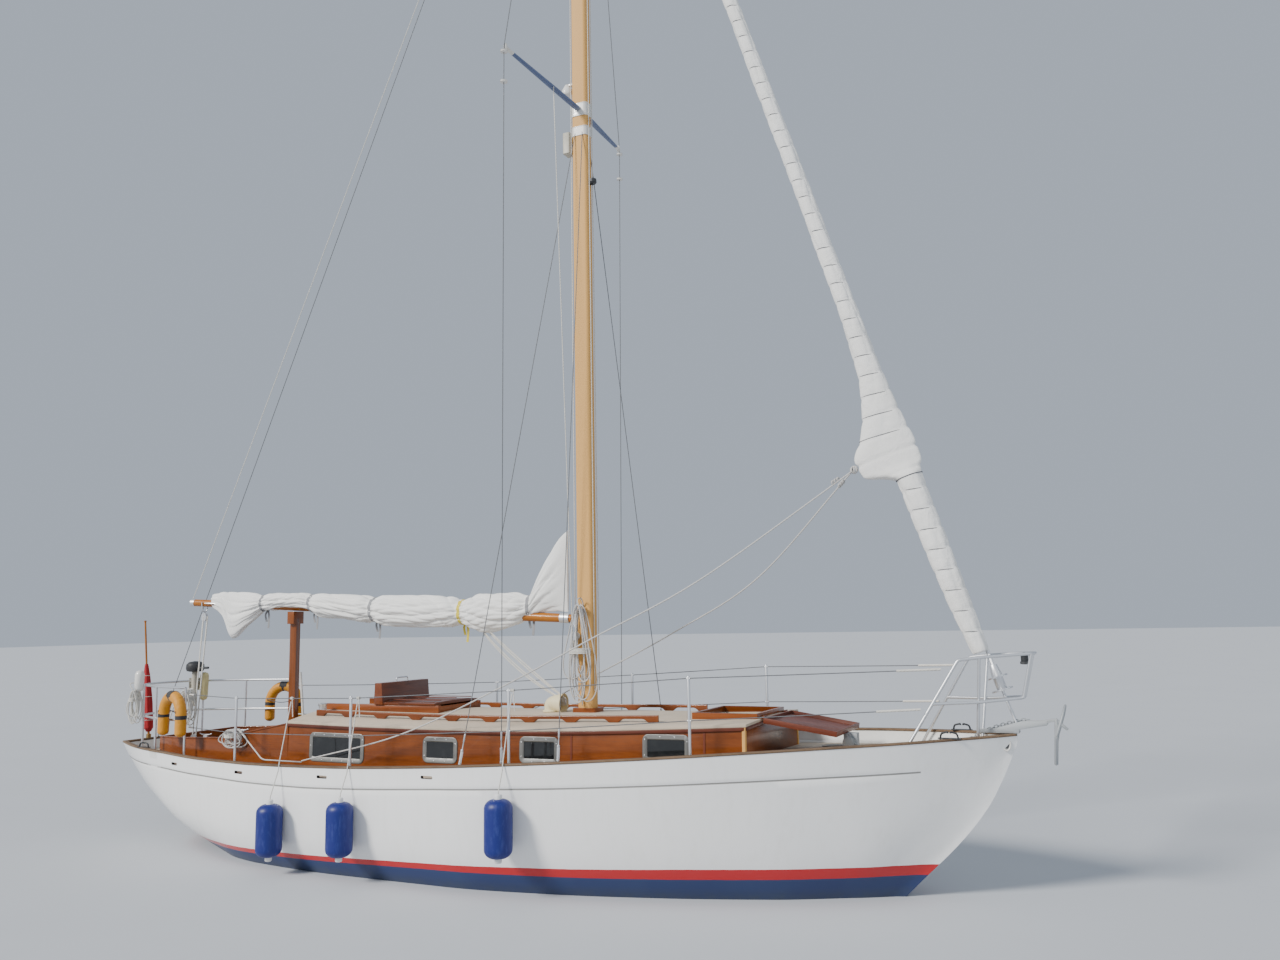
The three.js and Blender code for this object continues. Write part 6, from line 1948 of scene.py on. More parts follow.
@dataclass(frozen=True)
class Hank:
    """A hanging hank of rope: narrow loops side by side, gathered at a neck by rings of rope.

    The lead is the rope's run to the first loop, and the neck lies at a share of the drop.
    """
    name: str
    top: Triple
    width: float
    drop: float
    turns: int
    diameter: float
    finish: Finish
    lead: tuple[Triple, ...]
    yaw: float = 0.0
    neck: float = 0.26

    def turned(self, x: Array, y: Array, z: Array) -> Array:
        """Points turned about the upright by the yaw, from where the hank hangs.

        Args:
            x: Their places along the yacht before the turn.
            y: Their places across it.
            z: Their heights.
        Returns:
            The turned points, m by 3.
        """
        turn = math.radians(self.yaw)
        along, across = x * math.cos(turn) - y * math.sin(turn), x * math.sin(turn) + y * math.cos(turn)
        return np.stack([along, across, z], 1) + self.top

    def line(self) -> Array:
        """The rope's middle line. Sideways, x = half the width times a sine, drawn in round the neck;
        z = half the drop times a cosine less one. Width, drop and middle of a loop wander with its
        number by sines, so that the loops don't lie alike.

        Returns:
            The line's points, the lead's first.
        """
        a = np.linspace(0, 2 * math.pi * self.turns, self.turns * 40 + 1)
        loop = a / (2 * math.pi)
        down = (1 - np.cos(a)) / 2
        lower = self.neck - 0.26
        neck = 1 - 0.62 * np.exp(-((down - self.neck) / 0.13) ** 2) - lower * 3.1 * (1 - down) ** 2
        wide = self.width / 2 * (0.74 + 0.26 * np.sin(2.1 * loop + 0.6))
        x = wide * np.sin(a) * neck + 0.22 * self.width * np.sin(1.3 * loop) * down
        y = self.diameter * 1.25 * (loop - self.turns / 2)
        z = -self.drop * (0.88 + 0.12 * np.sin(2.9 * loop + 1.0)) * down
        line = self.turned(x, y, z)
        line = np.vstack([smooth([*self.lead, line[0]], 24)[:-1], line])
        return resample(eased(line, 3), len(line) * 2)

    def wraps(self) -> Array:
        """Rings of rope round the neck: flat ovals as wide as the neck and as deep as the loops.

        Returns:
            The rings' middle lines, 4 by 28 by 3.
        """
        deep = self.diameter * 1.25 * self.turns / 2 + self.diameter * 1.4
        oval = circle(1, 28) * [self.width * 0.235 + self.diameter, deep]
        levels = (0.02 - self.neck) * self.drop - self.diameter * 1.05 * np.arange(4)
        flat = self.turned(oval[:, 0], oval[:, 1], np.zeros(28))
        return flat + levels[:, None, None] * np.array([0, 0, 1])

    def build(self, wraps: Shape) -> None:
        """Builds the rope, and adds the rings round its neck.

        Args:
            wraps: The shape that the neck's rings join.
        """
        for ring in self.wraps():
            wraps.add(Sails.cord_round(ring, self.diameter / 2, 8), hoop=True)
        loose_cord(self.name, self.line(), self.diameter, self.finish)


HANKS = (
    Hank("mast_hank", (0.800, -0.155, 2.440), 0.38, 1.00, 9, 0.012, FLECK_ROPE,
         ((0.800, -0.066, 2.380), (0.800, -0.120, 2.470)), neck=0.47),
    Hank("sheet_hank", (-4.050, -0.330, 1.600), 0.17, 0.44, 11, 0.012, ROPE,
         ((-4.050, -0.585, 1.085), (-4.050, -0.560, 1.300), (-4.045, -0.470, 1.520)), yaw=20.0),
    Hank("stern_hank", (-4.640, -0.530, 1.590), 0.15, 0.40, 11, 0.011, ROPE,
         ((-4.640, -0.442, 1.642), (-4.655, -0.600, 1.660)), yaw=25.0),
    Hank("coaming_hank", (-2.790, -0.875, 1.240), 0.30, 0.20, 10, 0.011, FLECK_ROPE,
         ((-2.790, -0.790, 1.140), (-2.800, -0.975, 1.180)), yaw=8.0),
)


@dataclass
class RunningRigging:
    """Ropes: halyards, topping lift, mainsheet, vang, headsail sheets and the hanks of their tails."""
    rope: float = 0.0065

    def between_bodies(self) -> None:
        """The topping lift, mainsheet and vang, which run from the hull to the boom."""
        end = on_boom(4.60, 0.0, -0.105)
        lower = np.array([-4.05, -0.235, 0.985])
        sheet = Shape()
        for k, (dx, dy) in enumerate(((-0.030, 0.010), (0.0, -0.012), (0.030, 0.012), (0.055, -0.006))):
            sheet.add(tube([lower + [dx * 0.8, dy, 0.09], end + [dx, dy, -0.04]], self.rope, 10))
        pulley(sheet, end + [0, 0, -0.05], 1, 0.034)
        pulley(sheet, lower + [0, 0, 0.05], 1, 0.034)
        sheet.add(tube([lower + [0, 0, 0.02], [lower[0], lower[1], 0.668]], 0.006, 8), 1)
        piece = sheet.build("mainsheet_falls", [ROPE, STAINLESS], "stainless", body="")
        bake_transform(piece)
        lift = Shape().add(tube([(0.720, -0.03, 13.30), on_boom(4.775, 0.0, 0.045)], 0.0045, 8))
        piece = lift.build("topping_lift", ROPE, "stainless", body="")
        tuple(on_boom(4.775, 0.0, 0.045))
        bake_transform(piece)
        high, low = on_boom(1.00, 0.0, -0.095), np.array([0.560, -0.050, 1.475])
        vang = Shape()
        for k, (dx, dy) in enumerate(((0.050, -0.016), (0.018, 0.016), (-0.018, -0.016), (-0.050, 0.016))):
            fall = sagging(high + [dx, dy, -0.05], low + [dx * 0.7, dy, 0.05], 0.010 + 0.022 * k, 20)
            vang.add(tube(fall, 0.007, 8))
        pulley(vang, high + [0, 0, -0.045], 1)
        pulley(vang, low + [0, 0, 0.02], 1)
        piece = vang.build("vang_falls", [ROPE, STAINLESS], "stainless", body="")
        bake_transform(piece)

    def sheets(self) -> None:
        """Headsail sheets from the clew by the side decks to their blocks, slightly slack."""
        clew = np.array([3.425, 0.0, 3.500])
        shape = Shape()
        near = [clew, (2.21, -0.60, 2.58), (1.30, -0.90, 2.09), (0.50, -1.05, 1.69), (-0.57, -1.05, 1.26),
                (-1.66, -1.118, 0.995)]
        shape.add(tube(smooth(near, 90), self.rope, 10))
        tail = [(-1.66, -1.118, 0.985), (-2.17, -1.098, 0.985), (-2.66, -0.93, 1.24), (-2.75, -0.83, 1.232)]
        shape.add(tube(rounded(tail, 0.05), self.rope, 10))
        far = [clew + [0, 0.01, 0.01], (2.35, 0.50, 2.62), (1.30, 0.92, 2.12), (0.40, 1.08, 1.72),
               (-0.57, 1.07, 1.27), (-1.66, 1.118, 0.995)]
        shape.add(tube(smooth(far, 90), self.rope, 10))
        shape.add(tube(mirrored(rounded(tail, 0.05)), self.rope, 10))
        for angle in (0.0, 0.9, 1.8, 2.5):
            loop = circle(0.030, 16)
            across, up = loop.T
            ring = clew + np.stack([across * math.cos(angle), across * math.sin(angle), up], 1)
            shape.add(Sails.cord_round(ring, self.rope, 8), hoop=True)
        for k, knot in enumerate((clew + [-0.13, -0.055, -0.08], clew + [-0.11, 0.045, -0.09])):
            for step in range(3):
                loop = circle(0.016, 12)
                centre = knot + np.array([-0.02, -0.012 * (1 - 2 * k), -0.014]) * step
                ring = centre + np.stack([loop[:, 0] * 0.4, loop[:, 0], loop[:, 1]], 1)
                shape.add(Sails.cord_round(ring, self.rope, 8), hoop=True)
        shape.build("headsail_sheets", FLECK_ROPE, "stainless", crease=180)

    def halyards(self) -> None:
        """Halyards down the mast's aft and fore sides, and a burgee line to the spreader."""
        shape = Shape()
        runs = [
            ((0.706, -0.030, 13.34), (0.700, -0.055, 2.32)),
            ((0.706, 0.030, 13.34), (0.690, 0.060, 1.56)),
            ((0.900, -0.020, 13.34), (0.895, -0.040, 1.60)),
            ((0.900, 0.024, 13.34), (0.898, 0.045, 1.60)),
            ((0.760, -0.500, 7.440), (0.700, -0.090, 1.76)),
        ]
        for top, foot in runs:
            shape.add(tube(sagging(top, foot, 0.0, 12), 0.0048, 8))
        wraps = np.linspace(0, 2 * math.pi * 5, 120)
        x, z = 0.720 + 0.0345 * np.cos(wraps), 2.110 + 0.0345 * np.sin(wraps)
        coil = np.stack([x, -0.082 - wraps * 0.00115, z], 1)
        shape.add(tube(coil, 0.0045, 8))
        shape.build("halyards", ROPE, "stainless", crease=180)

    def hanks(self) -> None:
        """Hanks of rope: at the mast, on the mainsheet, at the stern and on the coaming."""
        wraps = Shape()
        for hank in HANKS:
            hank.build(wraps)
        wraps.build("hank_wraps", ROPE, "stainless", crease=180)

    def build(self) -> None:
        """Builds the ropes."""
        self.between_bodies()
        self.sheets()
        self.halyards()
        self.hanks()


# Rails, ground tackle, loose gear and the studio

@dataclass
class Rails:
    """Guard rails, pulpit and pushpit of bent tube and wire."""
    tube: float = 0.0125
    posts: tuple[float, ...] = (-2.550, -1.000, 0.685, 2.240)
    heights: tuple[float, ...] = (0.725, 0.390)

    def guard_line(self, level: int) -> Array:
        """A guard wire's points: the pushpit's corner, the four posts and the pulpit's end.

        Args:
            level: 0 for the upper wire, 1 for the lower.
        Returns:
            The points, 6 by 3.
        """
        xs = np.r_[-3.530, self.posts]
        ys = np.r_[0.770, LINES.deck_y(np.array(self.posts)) - 0.034]
        end = ((4.120, 0.372, 1.822), (3.960, 0.432, 1.516))[level]
        return np.vstack([np.stack([xs, ys, LINES.deck_z(xs) + self.heights[level]], 1), end])

    def guard_at(self, x: float, level: int = 0) -> Array:
        """A point of the port guard wire."""
        line = self.guard_line(level)
        return np.array([x, np.interp(x, line[:, 0], line[:, 1]), np.interp(x, line[:, 0], line[:, 2])])

    def foot(self, shape: Shape, x: float, y: float, mark: int) -> None:
        """A socket on both sides of the deck for a post or leg: a round flange and a collar.

        Args:
            shape: The shape that it joins.
            x: Its place along the deck.
            y: Its place to port.
            mark: Its finish.
        """
        z = LINES.deck_top(x, y)
        rows = [(0.006, -0.004), (0.028, -0.002), (0.028, 0.004), (0.020, 0.008), (0.017, 0.034),
                (0.0125, 0.036)]
        shape.both(lathe(rows, (x, y, z), sides=24), mark)

    def guards(self) -> None:
        """Posts with caps and eyes, laid wires, and sleeves of rope at the wires' ends."""
        shape, wire = Shape(), 1
        for x in self.posts:
            y, low = float(LINES.deck_y(x)) - 0.034, float(LINES.deck_z(x))
            z = np.r_[low + 0.005, low + 0.3, low + 0.735, low + 0.742, low + 0.745]
            radius = self.tube * np.array([1, 1, 1, 0.8, 0.35])
            shape.both(tube(np.stack([np.full(5, x), np.full(5, y), z], 1), radius, 20))
            self.foot(shape, x, y, 0)
            for height in self.heights:
                eye = [(0.0048, -0.017), (0.0080, -0.016), (0.0080, 0.016), (0.0048, 0.017)]
                shape.both(lathe(eye, (x, y, low + height), (1, 0, 0), 16))
        for level in (0, 1):
            line = self.guard_line(level)
            for a, b in zip(line, line[1:]):
                shape.both(tube(sagging(a, b, 0.0015, 14), 0.0040, 10), wire)
            ends = line[-1] + np.outer([0.0, 0.34], unit(line[-2] - line[-1]))
            shape.both(tube(ends, 0.0095, 14), 2)
            aft = line[0] + np.outer([0.0, 0.10], unit(line[1] - line[0]))
            shape.both(tube(aft, 0.0085, 10), 2)
        nodes = ["guardrail_port", "guardrail_stbd"]
        shape.build("guard_rails", [STAINLESS, WIRE_LAY, ROPE], "stainless", replaces=nodes)

    def pulpit(self) -> None:
        """A bent top rail, two legs a side, a lower rail, two uprights at the front and a lamp."""
        base = np.array([3.790, LINES.deck_y(3.790) - 0.038, LINES.deck_z(3.790) + 0.004])
        bend, side = np.array([4.245, 0.315, 1.890]), np.array([4.400, 0.262, 1.908])
        shape = Shape()
        front = [(4.640, 0.165, 1.925), (4.770, 0.085, 1.932), (4.798, 0.0, 1.934)]
        top = [base, base + (bend - base) * 0.94, bend, side, *front]
        whole = np.vstack([top, mirrored(np.array(top))[::-1][1:]])
        shape.add(tube(rounded(whole, 0.07, 8), self.tube, 20))
        fore_y = float(LINES.deck_y(4.330)) - 0.034
        shape.both(tube([(4.330, fore_y, LINES.deck_z(4.330) + 0.004), side], self.tube, 20))
        middle = [base + (bend - base) * 0.55, (4.370, 0.224, 1.562), (4.690, 0.064, 1.590)]
        loop = np.vstack([middle, mirrored(np.array(middle))[::-1]])
        shape.add(tube(rounded(loop, 0.06, 8), self.tube, 20))
        shape.both(tube([(4.690, 0.064, 1.590), (4.770, 0.085, 1.932)], self.tube, 20))
        self.foot(shape, float(base[0]), float(base[1]), 0)
        self.foot(shape, 4.330, fore_y, 0)
        lamp = [(0.020, -0.006), (0.036, -0.002), (0.036, 0.016), (0.029, 0.020), (0.029, 0.062),
                (0.034, 0.066), (0.030, 0.078), (0.010, 0.086)]
        shape.add(lathe(lamp, (4.700, 0.118, 1.845), sides=28), 1)
        shape.add(block((4.690, 0.112, 1.925), (4.712, 0.134, 1.936)), 1)
        shape.build("pulpit_tubes", [STAINLESS, DARK], "stainless", replaces=["pulpit"])

    def pushpit(self) -> None:
        """Two rails bent round the stern on three legs a side."""
        corners = np.array([(-3.560, 0.800), (-4.180, 0.640), (-4.640, 0.420), (-4.765, 0.270),
                            (-4.812, 0.0)])
        shape = Shape()
        for z in (1.628, 1.290):
            side = np.insert(corners, 2, z, axis=1)
            line = np.vstack([side, mirrored(side)[::-1][1:]])
            shape.add(tube(rounded(line, 0.11, 8), self.tube, 20))
        for x, y in corners[:3]:
            px, py = x + 0.004, min(y - 0.008, float(LINES.deck_y(x)) - 0.034)
            z = LINES.deck_top(px, py)
            shape.both(tube([(px, py, z), (x, y, 1.628)], self.tube, 20))
            self.foot(shape, px, py, 0)
        shape.build("pushpit_tubes", STAINLESS, "stainless", replaces=["pushpit"])

    def build(self) -> None:
        """Builds the rails, and dresses the furling drum that stands between them."""
        dress(STAINLESS, "stainless", "furler", bevel=0.002)
        self.guards()
        self.pulpit()
        self.pushpit()


@dataclass
class GroundTackle:
    """Bow roller, anchor, chain, windlass, rope coil, fairleads and the stem's oval fairleads."""
    link: float = 0.040

    def chain(self) -> None:
        """Links as rounded loops along the deck, each a quarter turn from the last."""
        path = smooth([(3.300, -0.104, 1.268), (3.42, -0.075, 1.160), (3.75, -0.02, 1.175),
                       (4.15, 0.0, 1.215), (4.40, 0.0, 1.335), (4.62, 0.0, 1.405), (4.700, 0.0, 1.418)], 600)
        count = int(np.linalg.norm(np.diff(path, axis=0), axis=1).sum() / (self.link * 0.66))
        middles = resample(path, count)
        along = unit(np.gradient(middles, axis=0))
        loop = rectangle(self.link / 2 - 0.0035, 0.0105, 0.0104, 4)
        shape = Shape()
        for k, (centre, forward) in enumerate(zip(middles, along)):
            side = unit(np.cross(forward, [0, 0, 1]))
            up = np.cross(side, forward)
            across = side if k % 2 else up
            ring = centre + loop[:, :1] * forward + loop[:, 1:] * across
            shape.add(Sails.cord_round(ring, 0.0034, 6), hoop=True)
        shape.build("anchor_chain", GALVANISED, "galvanised", crease=180)

    def build(self) -> None:
        """Dresses the castings and adds the chain, the fairleads, those at the stem with dark pads that are
        painted shade in their holes, and the coil.
        """
        dress(GALVANISED, "galvanised", "bow_roller", "anchor", "windlass", bevel=0.003)
        self.chain()
        shape = Shape()
        for x in (4.150, -4.300):
            y, z = float(LINES.rail_y(x)) - 0.022, float(LINES.rail_z(x)) + 0.020
            horn = rounded([(x - 0.07, y, z - 0.006), (x - 0.06, y, z + 0.040), (x - 0.012, y, z + 0.052),
                            (x - 0.010, y, z + 0.040)], 0.016)
            shape.both(tube(horn, 0.0075, 10))
            shape.both(tube(horn * [-1, 1, 1] + [2 * x, 0, 0], 0.0075, 10))
            shape.both(block((x - 0.085, y - 0.018, z - 0.001), (x + 0.085, y + 0.018, z + 0.007)))
        shape.build("fairleads", DARK, "galvanised", bevel=0.002)
        stem = Shape()
        for side in (1, -1):
            x, z = 4.560, 1.235
            y = LINES.skin_y(x, z)
            normal = np.array([0.30, 0.95 * side, 0.0])
            base = np.array([x - 0.02, (y + 0.004) * side, z])
            oval = circle(1, 32) * [0.030, 0.055]
            across = unit(np.cross(normal, [0, 0, 1]))
            rim = base + oval[:, :1] * across + oval[:, 1:] * np.array([0, 0, 1])
            stem.add(Sails.cord_round(rim, 0.007, 8), 0, hoop=True)
            # A dark pad fills each rim: painted shade where the fairlead's hole is.
            pad = base + 0.75 * (oval[:, :1] * across + oval[:, 1:] * np.array([0, 0, 1]))
            stem.add(np.stack([pad - normal * 0.004, pad + normal * 0.001]), 1)
        stem.build("stem_fairlead", [WHITE, DARK], "topside_white")
        size, turns = 0.014, 5
        a = np.linspace(0, 2 * math.pi * turns, turns * 30)
        radius = 0.060 + size * 1.12 * a / (2 * math.pi)
        base = LINES.deck_top(3.10, 0.30) + size / 2 + 0.001
        line = np.stack([3.10 + radius * np.cos(a), 0.30 + radius * np.sin(a), np.full(len(a), base)], 1)
        loose_cord("bow_line_coil", line, size, ROPE)


@dataclass
class LooseGear:
    """Fenders, lifebuoys, ensign, cowl vent, cabin winches and what is lashed at the stern."""
    fender_radius: float = 0.118
    rails: Rails = field(default_factory=Rails)

    def fenders(self) -> None:
        """Turned vinyl fenders with white eyes, each on a lanyard over the rail to the guard wire."""
        r, length = self.fender_radius, 0.470
        for number, (x, low) in enumerate(((-1.800, 0.165), (-0.945, 0.235), (0.690, 0.345)), 1):
            high = low + length
            y = -(max(LINES.skin_y(x, low + 0.075), LINES.skin_y(x, high - 0.075)) + r + GAP)
            t = np.linspace(0, math.pi / 2, 9)
            dome = np.stack([0.034 + (r - 0.034) * np.sin(t), 0.075 * (1 - np.cos(t))], 1)
            grooves = [(r, 0.10), (r, length - 0.10)]
            body = [*dome, *grooves, *(dome[::-1] * [1, -1] + [0, length])]
            shape = Shape().add(lathe(body, (x, y, low), sides=48))
            eye = [(0.012, -0.040), (0.026, -0.036), (0.031, -0.028), (0.031, -0.006), (0.036, 0.006)]
            shape.add(lathe(eye, (x, y, low), sides=24), 1)
            shape.add(lathe([(a, length - b) for a, b in eye[::-1]], (x, y, low), sides=24), 1)
            wire = self.rails.guard_at(x + 0.032) * [1, -1, 1]
            rail = np.array([x, -(float(LINES.rail_y(x)) + 0.016), float(LINES.rail_z(x)) + 0.030])
            path = rounded([(x, y, high + 0.020), (x, y + 0.003, high + 0.06), rail + [0, -0.004, -0.05],
                            rail, wire + [-0.004, -0.008, -0.03]], 0.03)
            shape.add(tube(path, 0.0050, 10), 2)
            for step in (-0.011, 0.0, 0.011):
                ring = wire + np.insert(circle(0.0095, 14), 0, 0, axis=1) + [step, 0, 0]
                shape.add(Sails.cord_round(ring, 0.0048, 8), 2, hoop=True)
            tail = sagging(wire + [0.012, -0.010, -0.006], wire + [0.030, -0.018, -0.17], 0.0, 12)
            shape.add(tube(tail, 0.0045, 8), 2)
            shape.build(f"fender_body_{number}", [FENDER, FENDER_EYE, ROPE], "fender_blue",
                        replaces=[f"fender_{number}"], crease=50)

    def lifebuoys(self) -> None:
        """Horseshoes of padded cloth: a round section along an arch on two straight legs, its ends
        rounded, pinched at its seams, with black straps and lashings."""
        slant = math.atan2(0.160, 0.620)
        for name, x, side in (("stbd", -3.700, -1), ("port", -3.750, 1)):
            rail = 0.640 + 0.160 * (x + 4.180) / 0.620
            y = side * (rail + (0.058 + 0.0125 + GAP) / math.cos(slant))
            arch = np.linspace(0, math.pi, 60)[:, None] * [1, 1]
            arch = np.stack([0.185 * np.cos(arch[:, 0]), np.zeros(60), 0.205 * np.sin(arch[:, 0])], 1)
            leg = np.array([(0.185, 0, -0.205)])
            count = 120
            line = resample(np.vstack([leg, arch, leg * [-1, 1, 1]]), count)
            run = np.linspace(0, 1, count)
            ends = np.clip(np.minimum(run, 1 - run) / 0.045, 0.02, 1)
            radius = 0.0575 * np.sqrt(1 - (1 - ends) ** 2 + 0.05)
            seams = sum(np.exp(-((run - at) / 0.010) ** 2) for at in (0.2, 0.36, 0.5, 0.64, 0.8))
            radius *= 1 - 0.07 * seams
            radius = np.minimum(radius, 0.0578)
            turn = np.array([[math.cos(side * slant), -math.sin(side * slant), 0],
                             [math.sin(side * slant), math.cos(side * slant), 0], [0, 0, 1]])
            spot = np.array([x, y, 1.340])
            section = circle(1, 32)
            rings = sweep(line, section * radius[:, None, None], (0, 1, 0))
            cover = Shape().add(rings @ turn.T + spot)
            piece = cover.build(f"lifebuoy_cover_{name}", BUOY, "buoy_yellow", replaces=[f"lifebuoy_{name}"],
                                crease=180)
            straps = Shape()
            for at in (0.2, 0.8, 0.5):
                k = int(at * (count - 1))
                wide = 0.020 if at != 0.5 else 0.045
                steps = [(-wide, 0.95), (-wide, 1.045), (wide, 1.045), (wide, 0.95)]
                along = unit(line[k + 1] - line[k - 1])
                base = sweep(line, section * 0.0555, (0, 1, 0))[k]
                rings = [(line[k] + (base - line[k]) * grow + along * d) @ turn.T + spot for d, grow in steps]
                straps.add(np.stack(rings, 1), 0, hoop=True)
            cross = [(-0.185, -0.066, 0.05), (0.0, -0.070, 0.02), (0.185, -0.066, 0.05)]
            straps.add(tube(smooth(np.array(cross) * [1, side, 1], 20) @ turn.T + spot, 0.004, 8), 1)
            for dx in (-0.185, 0.185):
                loop = np.insert(circle(0.066, 20), 0, dx, axis=1) @ np.diag([1, 1, 0.25]) + [0, 0, 0.05]
                straps.add(Sails.cord_round(loop, 0.0035, 8) @ turn.T + spot, 1, hoop=True)
            straps.build(f"lifebuoy_straps_{name}", [WEBBING, DARK_ROPE], "buoy_yellow", crease=60)

    @staticmethod
    def rolled(size: Array, inward: Array, share: float) -> Array:
        """Sections of a roll of cloth: circles drawn in by its folds.

        Args:
            size: The roll's radius at each place, m of them.
            inward: The folds' depths, m by n.
            share: The greatest part of the radius that a fold takes.
        Returns:
            The sections, m by n by 2.
        """
        reach = size[:, None] - np.minimum(inward, size[:, None] * share)
        return circle(1, inward.shape[1]) * reach[..., None]

    def ensign(self) -> None:
        """A varnished staff with a truck, and the ensign rolled round it in soft spiral folds."""
        foot, head = np.array([-4.890, -0.120, 1.0243]), np.array([-5.030, -0.120, 2.350])
        staff = foot + np.outer(np.linspace(0, 1, 12), head - foot)
        radius = np.linspace(0.014, 0.010, 12)
        shape = Shape().add(tube(staff, radius, 20))
        truck = [(0.010, -0.02), (0.0135, -0.012), (0.0135, 0.0), (0.006, 0.003)]
        shape.add(lathe(truck, head, head - foot, 20))
        shape.add(slab(rectangle(0.021, 0.022, 0.008) + [-4.891, -0.120], Axis.Z, 1.0085, 1.0503), 1)
        shape.build("ensign_pole", [BOOM_WOOD, BRONZE], "ensign_red", replaces=["ensign_staff"])
        run = np.linspace(0.04, 0.62, 170)
        turns = bearings(56)
        size = np.interp(run, [0.04, 0.07, 0.28, 0.50, 0.60, 0.62],
                         [0.030, 0.056, 0.056, 0.040, 0.024, 0.018])
        families = [(4, 3.0, 0.5, 0.7), (9, -9.0, 0.8, 0.4)]
        inward = folds(turns, run * 1.33, 0.016 * size / 0.044, 21, families)
        middle = foot + run[:, None] * (head - foot)
        rings = sweep(middle, self.rolled(size, inward, 0.5))
        flag = Shape().add(rings).build("rolled_ensign", ENSIGN, "ensign_red", crease=180)
        ties = Shape()
        for at in (0.14, 0.34, 0.52):
            loop = circle(float(np.interp(at, run, size)) - 0.002, 24)
            ring = foot + at * (head - foot) + np.insert(loop, 2, 0, axis=1)
            ties.add(Sails.cord_round(ring, 0.003, 8), hoop=True)
        ties.build("ensign_ties", ROPE, "ensign_red", crease=180)

    def vent(self) -> None:
        """A cowl vent: a pipe whose line bends forward and whose radius grows into a rolled mouth."""
        base = float(LINES.top_z(0.430)) - 0.002
        t = np.linspace(0, 1, 40)
        line = smooth([(0.430, -0.060, base), (0.430, -0.060, base + 0.035), (0.440, -0.060, base + 0.070),
                       (0.490, -0.060, base + 0.082), (0.572, -0.060, base + 0.080)], 40)
        radius = np.interp(t, [0, 0.12, 0.3, 0.6, 0.9, 1.0], [0.062, 0.060, 0.064, 0.076, 0.088, 0.093])
        outer = sweep(line, circle(1, 40) * radius[:, None, None], (0, 1, 0))
        inner = sweep(line[12:], circle(1, 40) * (radius[12:, None, None] - 0.006), (0, 1, 0))[::-1]
        lip = sweep(line[-2:], circle(1, 40) * 0.094, (0, 1, 0))[-1:]
        shape = Shape().add(np.concatenate([outer, lip, inner]), 0)
        flange = [(0.072, 0.0), (0.078, 0.004), (0.078, 0.014), (0.064, 0.020)]
        shape.add(lathe(flange, (0.430, -0.060, base), sides=36))
        shape.build("cowl_vent_shell", CREAM, "vent_cream", replaces=["cowl_vent"], crease=45)

    def winches(self) -> None:
        """Cabin winches: a ribbed drum with a flared top."""
        low = float(LINES.top_z(-1.990, 0.480)) - 0.028
        rows = [(0.057, 0), (0.058, 0.014), (0.050, 0.020), (0.041, 0.030), (0.037, 0.045),
                (0.0355, 0.062), (0.0375, 0.080), (0.044, 0.094), (0.046, 0.100), (0.046, 0.108),
                (0.040, 0.112), (0.012, 0.112)]
        shape = Shape().both(lathe(rows, (-1.990, 0.480, low), sides=40))
        for angle in bearings(16):
            x, y = -1.990 + 0.037 * math.cos(angle), 0.480 + 0.037 * math.sin(angle)
            shape.both(tube([(x, y, low + 0.034), (x, y, low + 0.088)], 0.002, 6))
        nodes = ["winch_cabin_port", "winch_cabin_stbd"]
        shape.build("cabin_winches", STAINLESS, "stainless", replaces=nodes)

    def stern(self) -> None:
        """A float, a rolled bag and a capped outboard motor on the pushpit, and a pole in the cockpit."""
        shape = Shape()
        rows = [(0.006, 0), (0.038, 0.012), (0.050, 0.045), (0.050, 0.190), (0.036, 0.225), (0.008, 0.235)]
        shape.add(lathe(rows, (-4.600, -0.520, 1.560), (0.02, 0.0, 1), 28))
        shape.build("stern_float", WHITE, "topside_white", crease=60)
        Shape().add(tube([(-3.02, 0.42, 0.70), (-3.30, 0.60, 1.72)], 0.014, 14)).build(
            "white_pole", WHITE, "topside_white")
        run = np.linspace(0, 1, 40)
        turns = bearings(40)
        size = 0.050 * np.sqrt(np.clip(1 - (2 * run - 1) ** 10, 0.03, 1))
        middle = np.array([-4.600, 0.385, 1.40]) + run[:, None] * np.array([0.01, 0, 0.33])
        inward = folds(turns, run, 0.010 * np.ones(40), 3, [(4, 4.0, 0.6, 0.7), (9, -8.0, 0.8, 0.3)])
        rings = sweep(middle, self.rolled(size, inward, 0.4), (0, 1, 0))
        bag = Shape().add(rings).build("stern_bag", BAG, "buoy_yellow", crease=180)
        motor = Shape()
        x, y = -4.640, 0.285
        cowl = [(0.060, 0.0), (0.095, 0.010), (0.104, 0.040), (0.100, 0.085), (0.070, 0.115), (0.012, 0.124)]
        motor.add(lathe(cowl, (x, y, 1.740), sides=32))
        motor.add(tube([(x, y, 1.34), (x, y, 1.745)], 0.034, 20), 1)
        motor.add(tube([(x + 0.02, y - 0.02, 1.78), (x + 0.28, y - 0.06, 1.79)], 0.014, 14))
        outward, along = np.array([-0.77, 0.64]), np.array([0.64, 0.77])
        clamps = ((0.0, 0.105, 0.040, 1.585, 1.665), (0.085, 0.105, 0.060, 1.520, 1.665))
        for near, far, half, low, high in clamps:
            corners = [(near, -half), (far, -half), (far, half), (near, half)]
            motor.add(slab([outward * d + along * w + [x, y] for d, w in corners], Axis.Z, low, high), 1)
        motor.build("outboard_motor", [DARK, BEIGE], "galvanised", bevel=0.004)

    def build(self) -> None:
        """Builds the loose gear."""
        self.fenders()
        self.lifebuoys()
        self.ensign()
        self.vent()
        self.winches()
        self.stern()


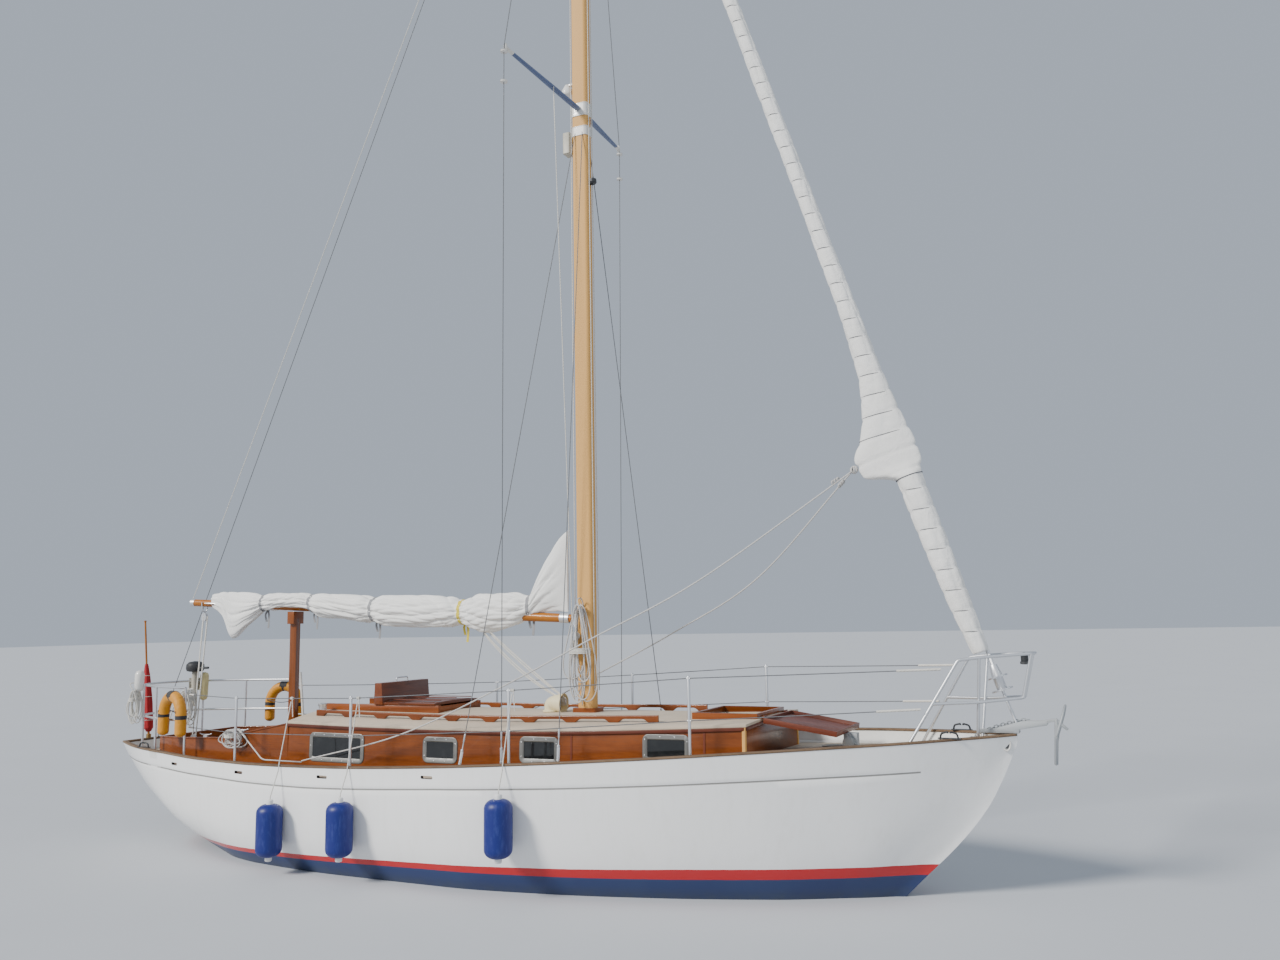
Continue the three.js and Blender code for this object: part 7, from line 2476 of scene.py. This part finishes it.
@dataclass
class Studio:
    """The camera, soft light and the pale floor at the waterline."""
    eye: Triple = (5.507, -8.845, 2.240)
    level: Triple = (-0.42262, 0.90631, 0.0)
    pitch: float = 7.72
    roll: float = 1.06
    lens: float = 29.25

    def camera(self) -> None:
        """A camera that looks along the level direction, tipped up by the pitch and then rolled."""
        forward, up = np.array(self.level), np.array([0.0, 0, 1])
        level = np.cross(forward, up)
        tip, roll = math.radians(self.pitch), math.radians(self.roll)
        raised = up * math.cos(tip) - forward * math.sin(tip)
        forward = forward * math.cos(tip) + up * math.sin(tip)
        right = level * math.cos(roll) - raised * math.sin(roll)
        up = level * math.sin(roll) + raised * math.cos(roll)
        data = bpy.data.cameras.new("camera")
        data.lens, data.sensor_width, data.clip_end = self.lens, 36.0, 400.0
        camera = bpy.data.objects.new("camera", data)
        columns = np.column_stack([right, up, -forward])
        camera.matrix_world = Matrix.Translation(self.eye) @ Matrix(columns.tolist()).to_4x4()
        bpy.context.scene.collection.objects.link(camera)
        bpy.context.scene.camera = camera

    def lamp(self, name: str, power: float, direction: Point, spread: float, colour: Point) -> None:
        """A distant lamp with a soft edge.

        Args:
            name: Its name.
            power: Its strength.
            direction: Where its light goes.
            spread: How many degrees of sky it covers.
            colour: Its colour.
        """
        data = bpy.data.lights.new(name, "SUN")
        data.energy, data.angle, data.color = power, math.radians(spread), colour
        lamp = bpy.data.objects.new(name, data)
        lamp.rotation_euler = Vector(direction).to_track_quat("-Z", "Y").to_euler()
        bpy.context.scene.collection.objects.link(lamp)

    def build(self) -> None:
        """Sets the camera, the lights, the pale sky and the floor."""
        self.camera()
        self.lamp("key", 4.3, (0.50, 0.78, -0.62), 14, (1.0, 0.970, 0.925))
        self.lamp("fill", 0.5, (-0.7, 0.4, -0.5), 70, (0.92, 0.96, 1.0))
        world = bpy.data.worlds.new("sky")
        world.use_nodes = True
        shader = world.node_tree.nodes["Background"]
        shader.inputs["Color"].default_value = (0.70, 0.79, 0.92, 1)
        shader.inputs["Strength"].default_value = 0.62
        bpy.context.scene.world = world
        floor = Shape().add(slab([(-150, -150), (150, -150), (150, 150), (-150, 150)], Axis.Z, -0.02, 0.0))
        plane = bpy.data.objects.new("floor", floor.mesh("floor", 40))
        material = Ground("floor", (0.50, 0.52, 0.55), 0.9).material()
        plane.data.materials.append(material)
        bpy.context.scene.collection.objects.link(plane)


def main() -> None:
    """Builds the yacht, sub-assembly by sub-assembly."""
    logging.basicConfig(level=logging.INFO, format="%(message)s")
    parts = (Studio(), RunningRigging(), Hull(), Coachroof(), Cockpit(), RudderGear(), Propeller(), Spars(),
             Sails(), StandingRigging(), Rails(), GroundTackle(), LooseGear())
    for part in parts:
        part.build()
        LOG.info("%s built", type(part).__name__)


if __name__ == "__main__":
    main()
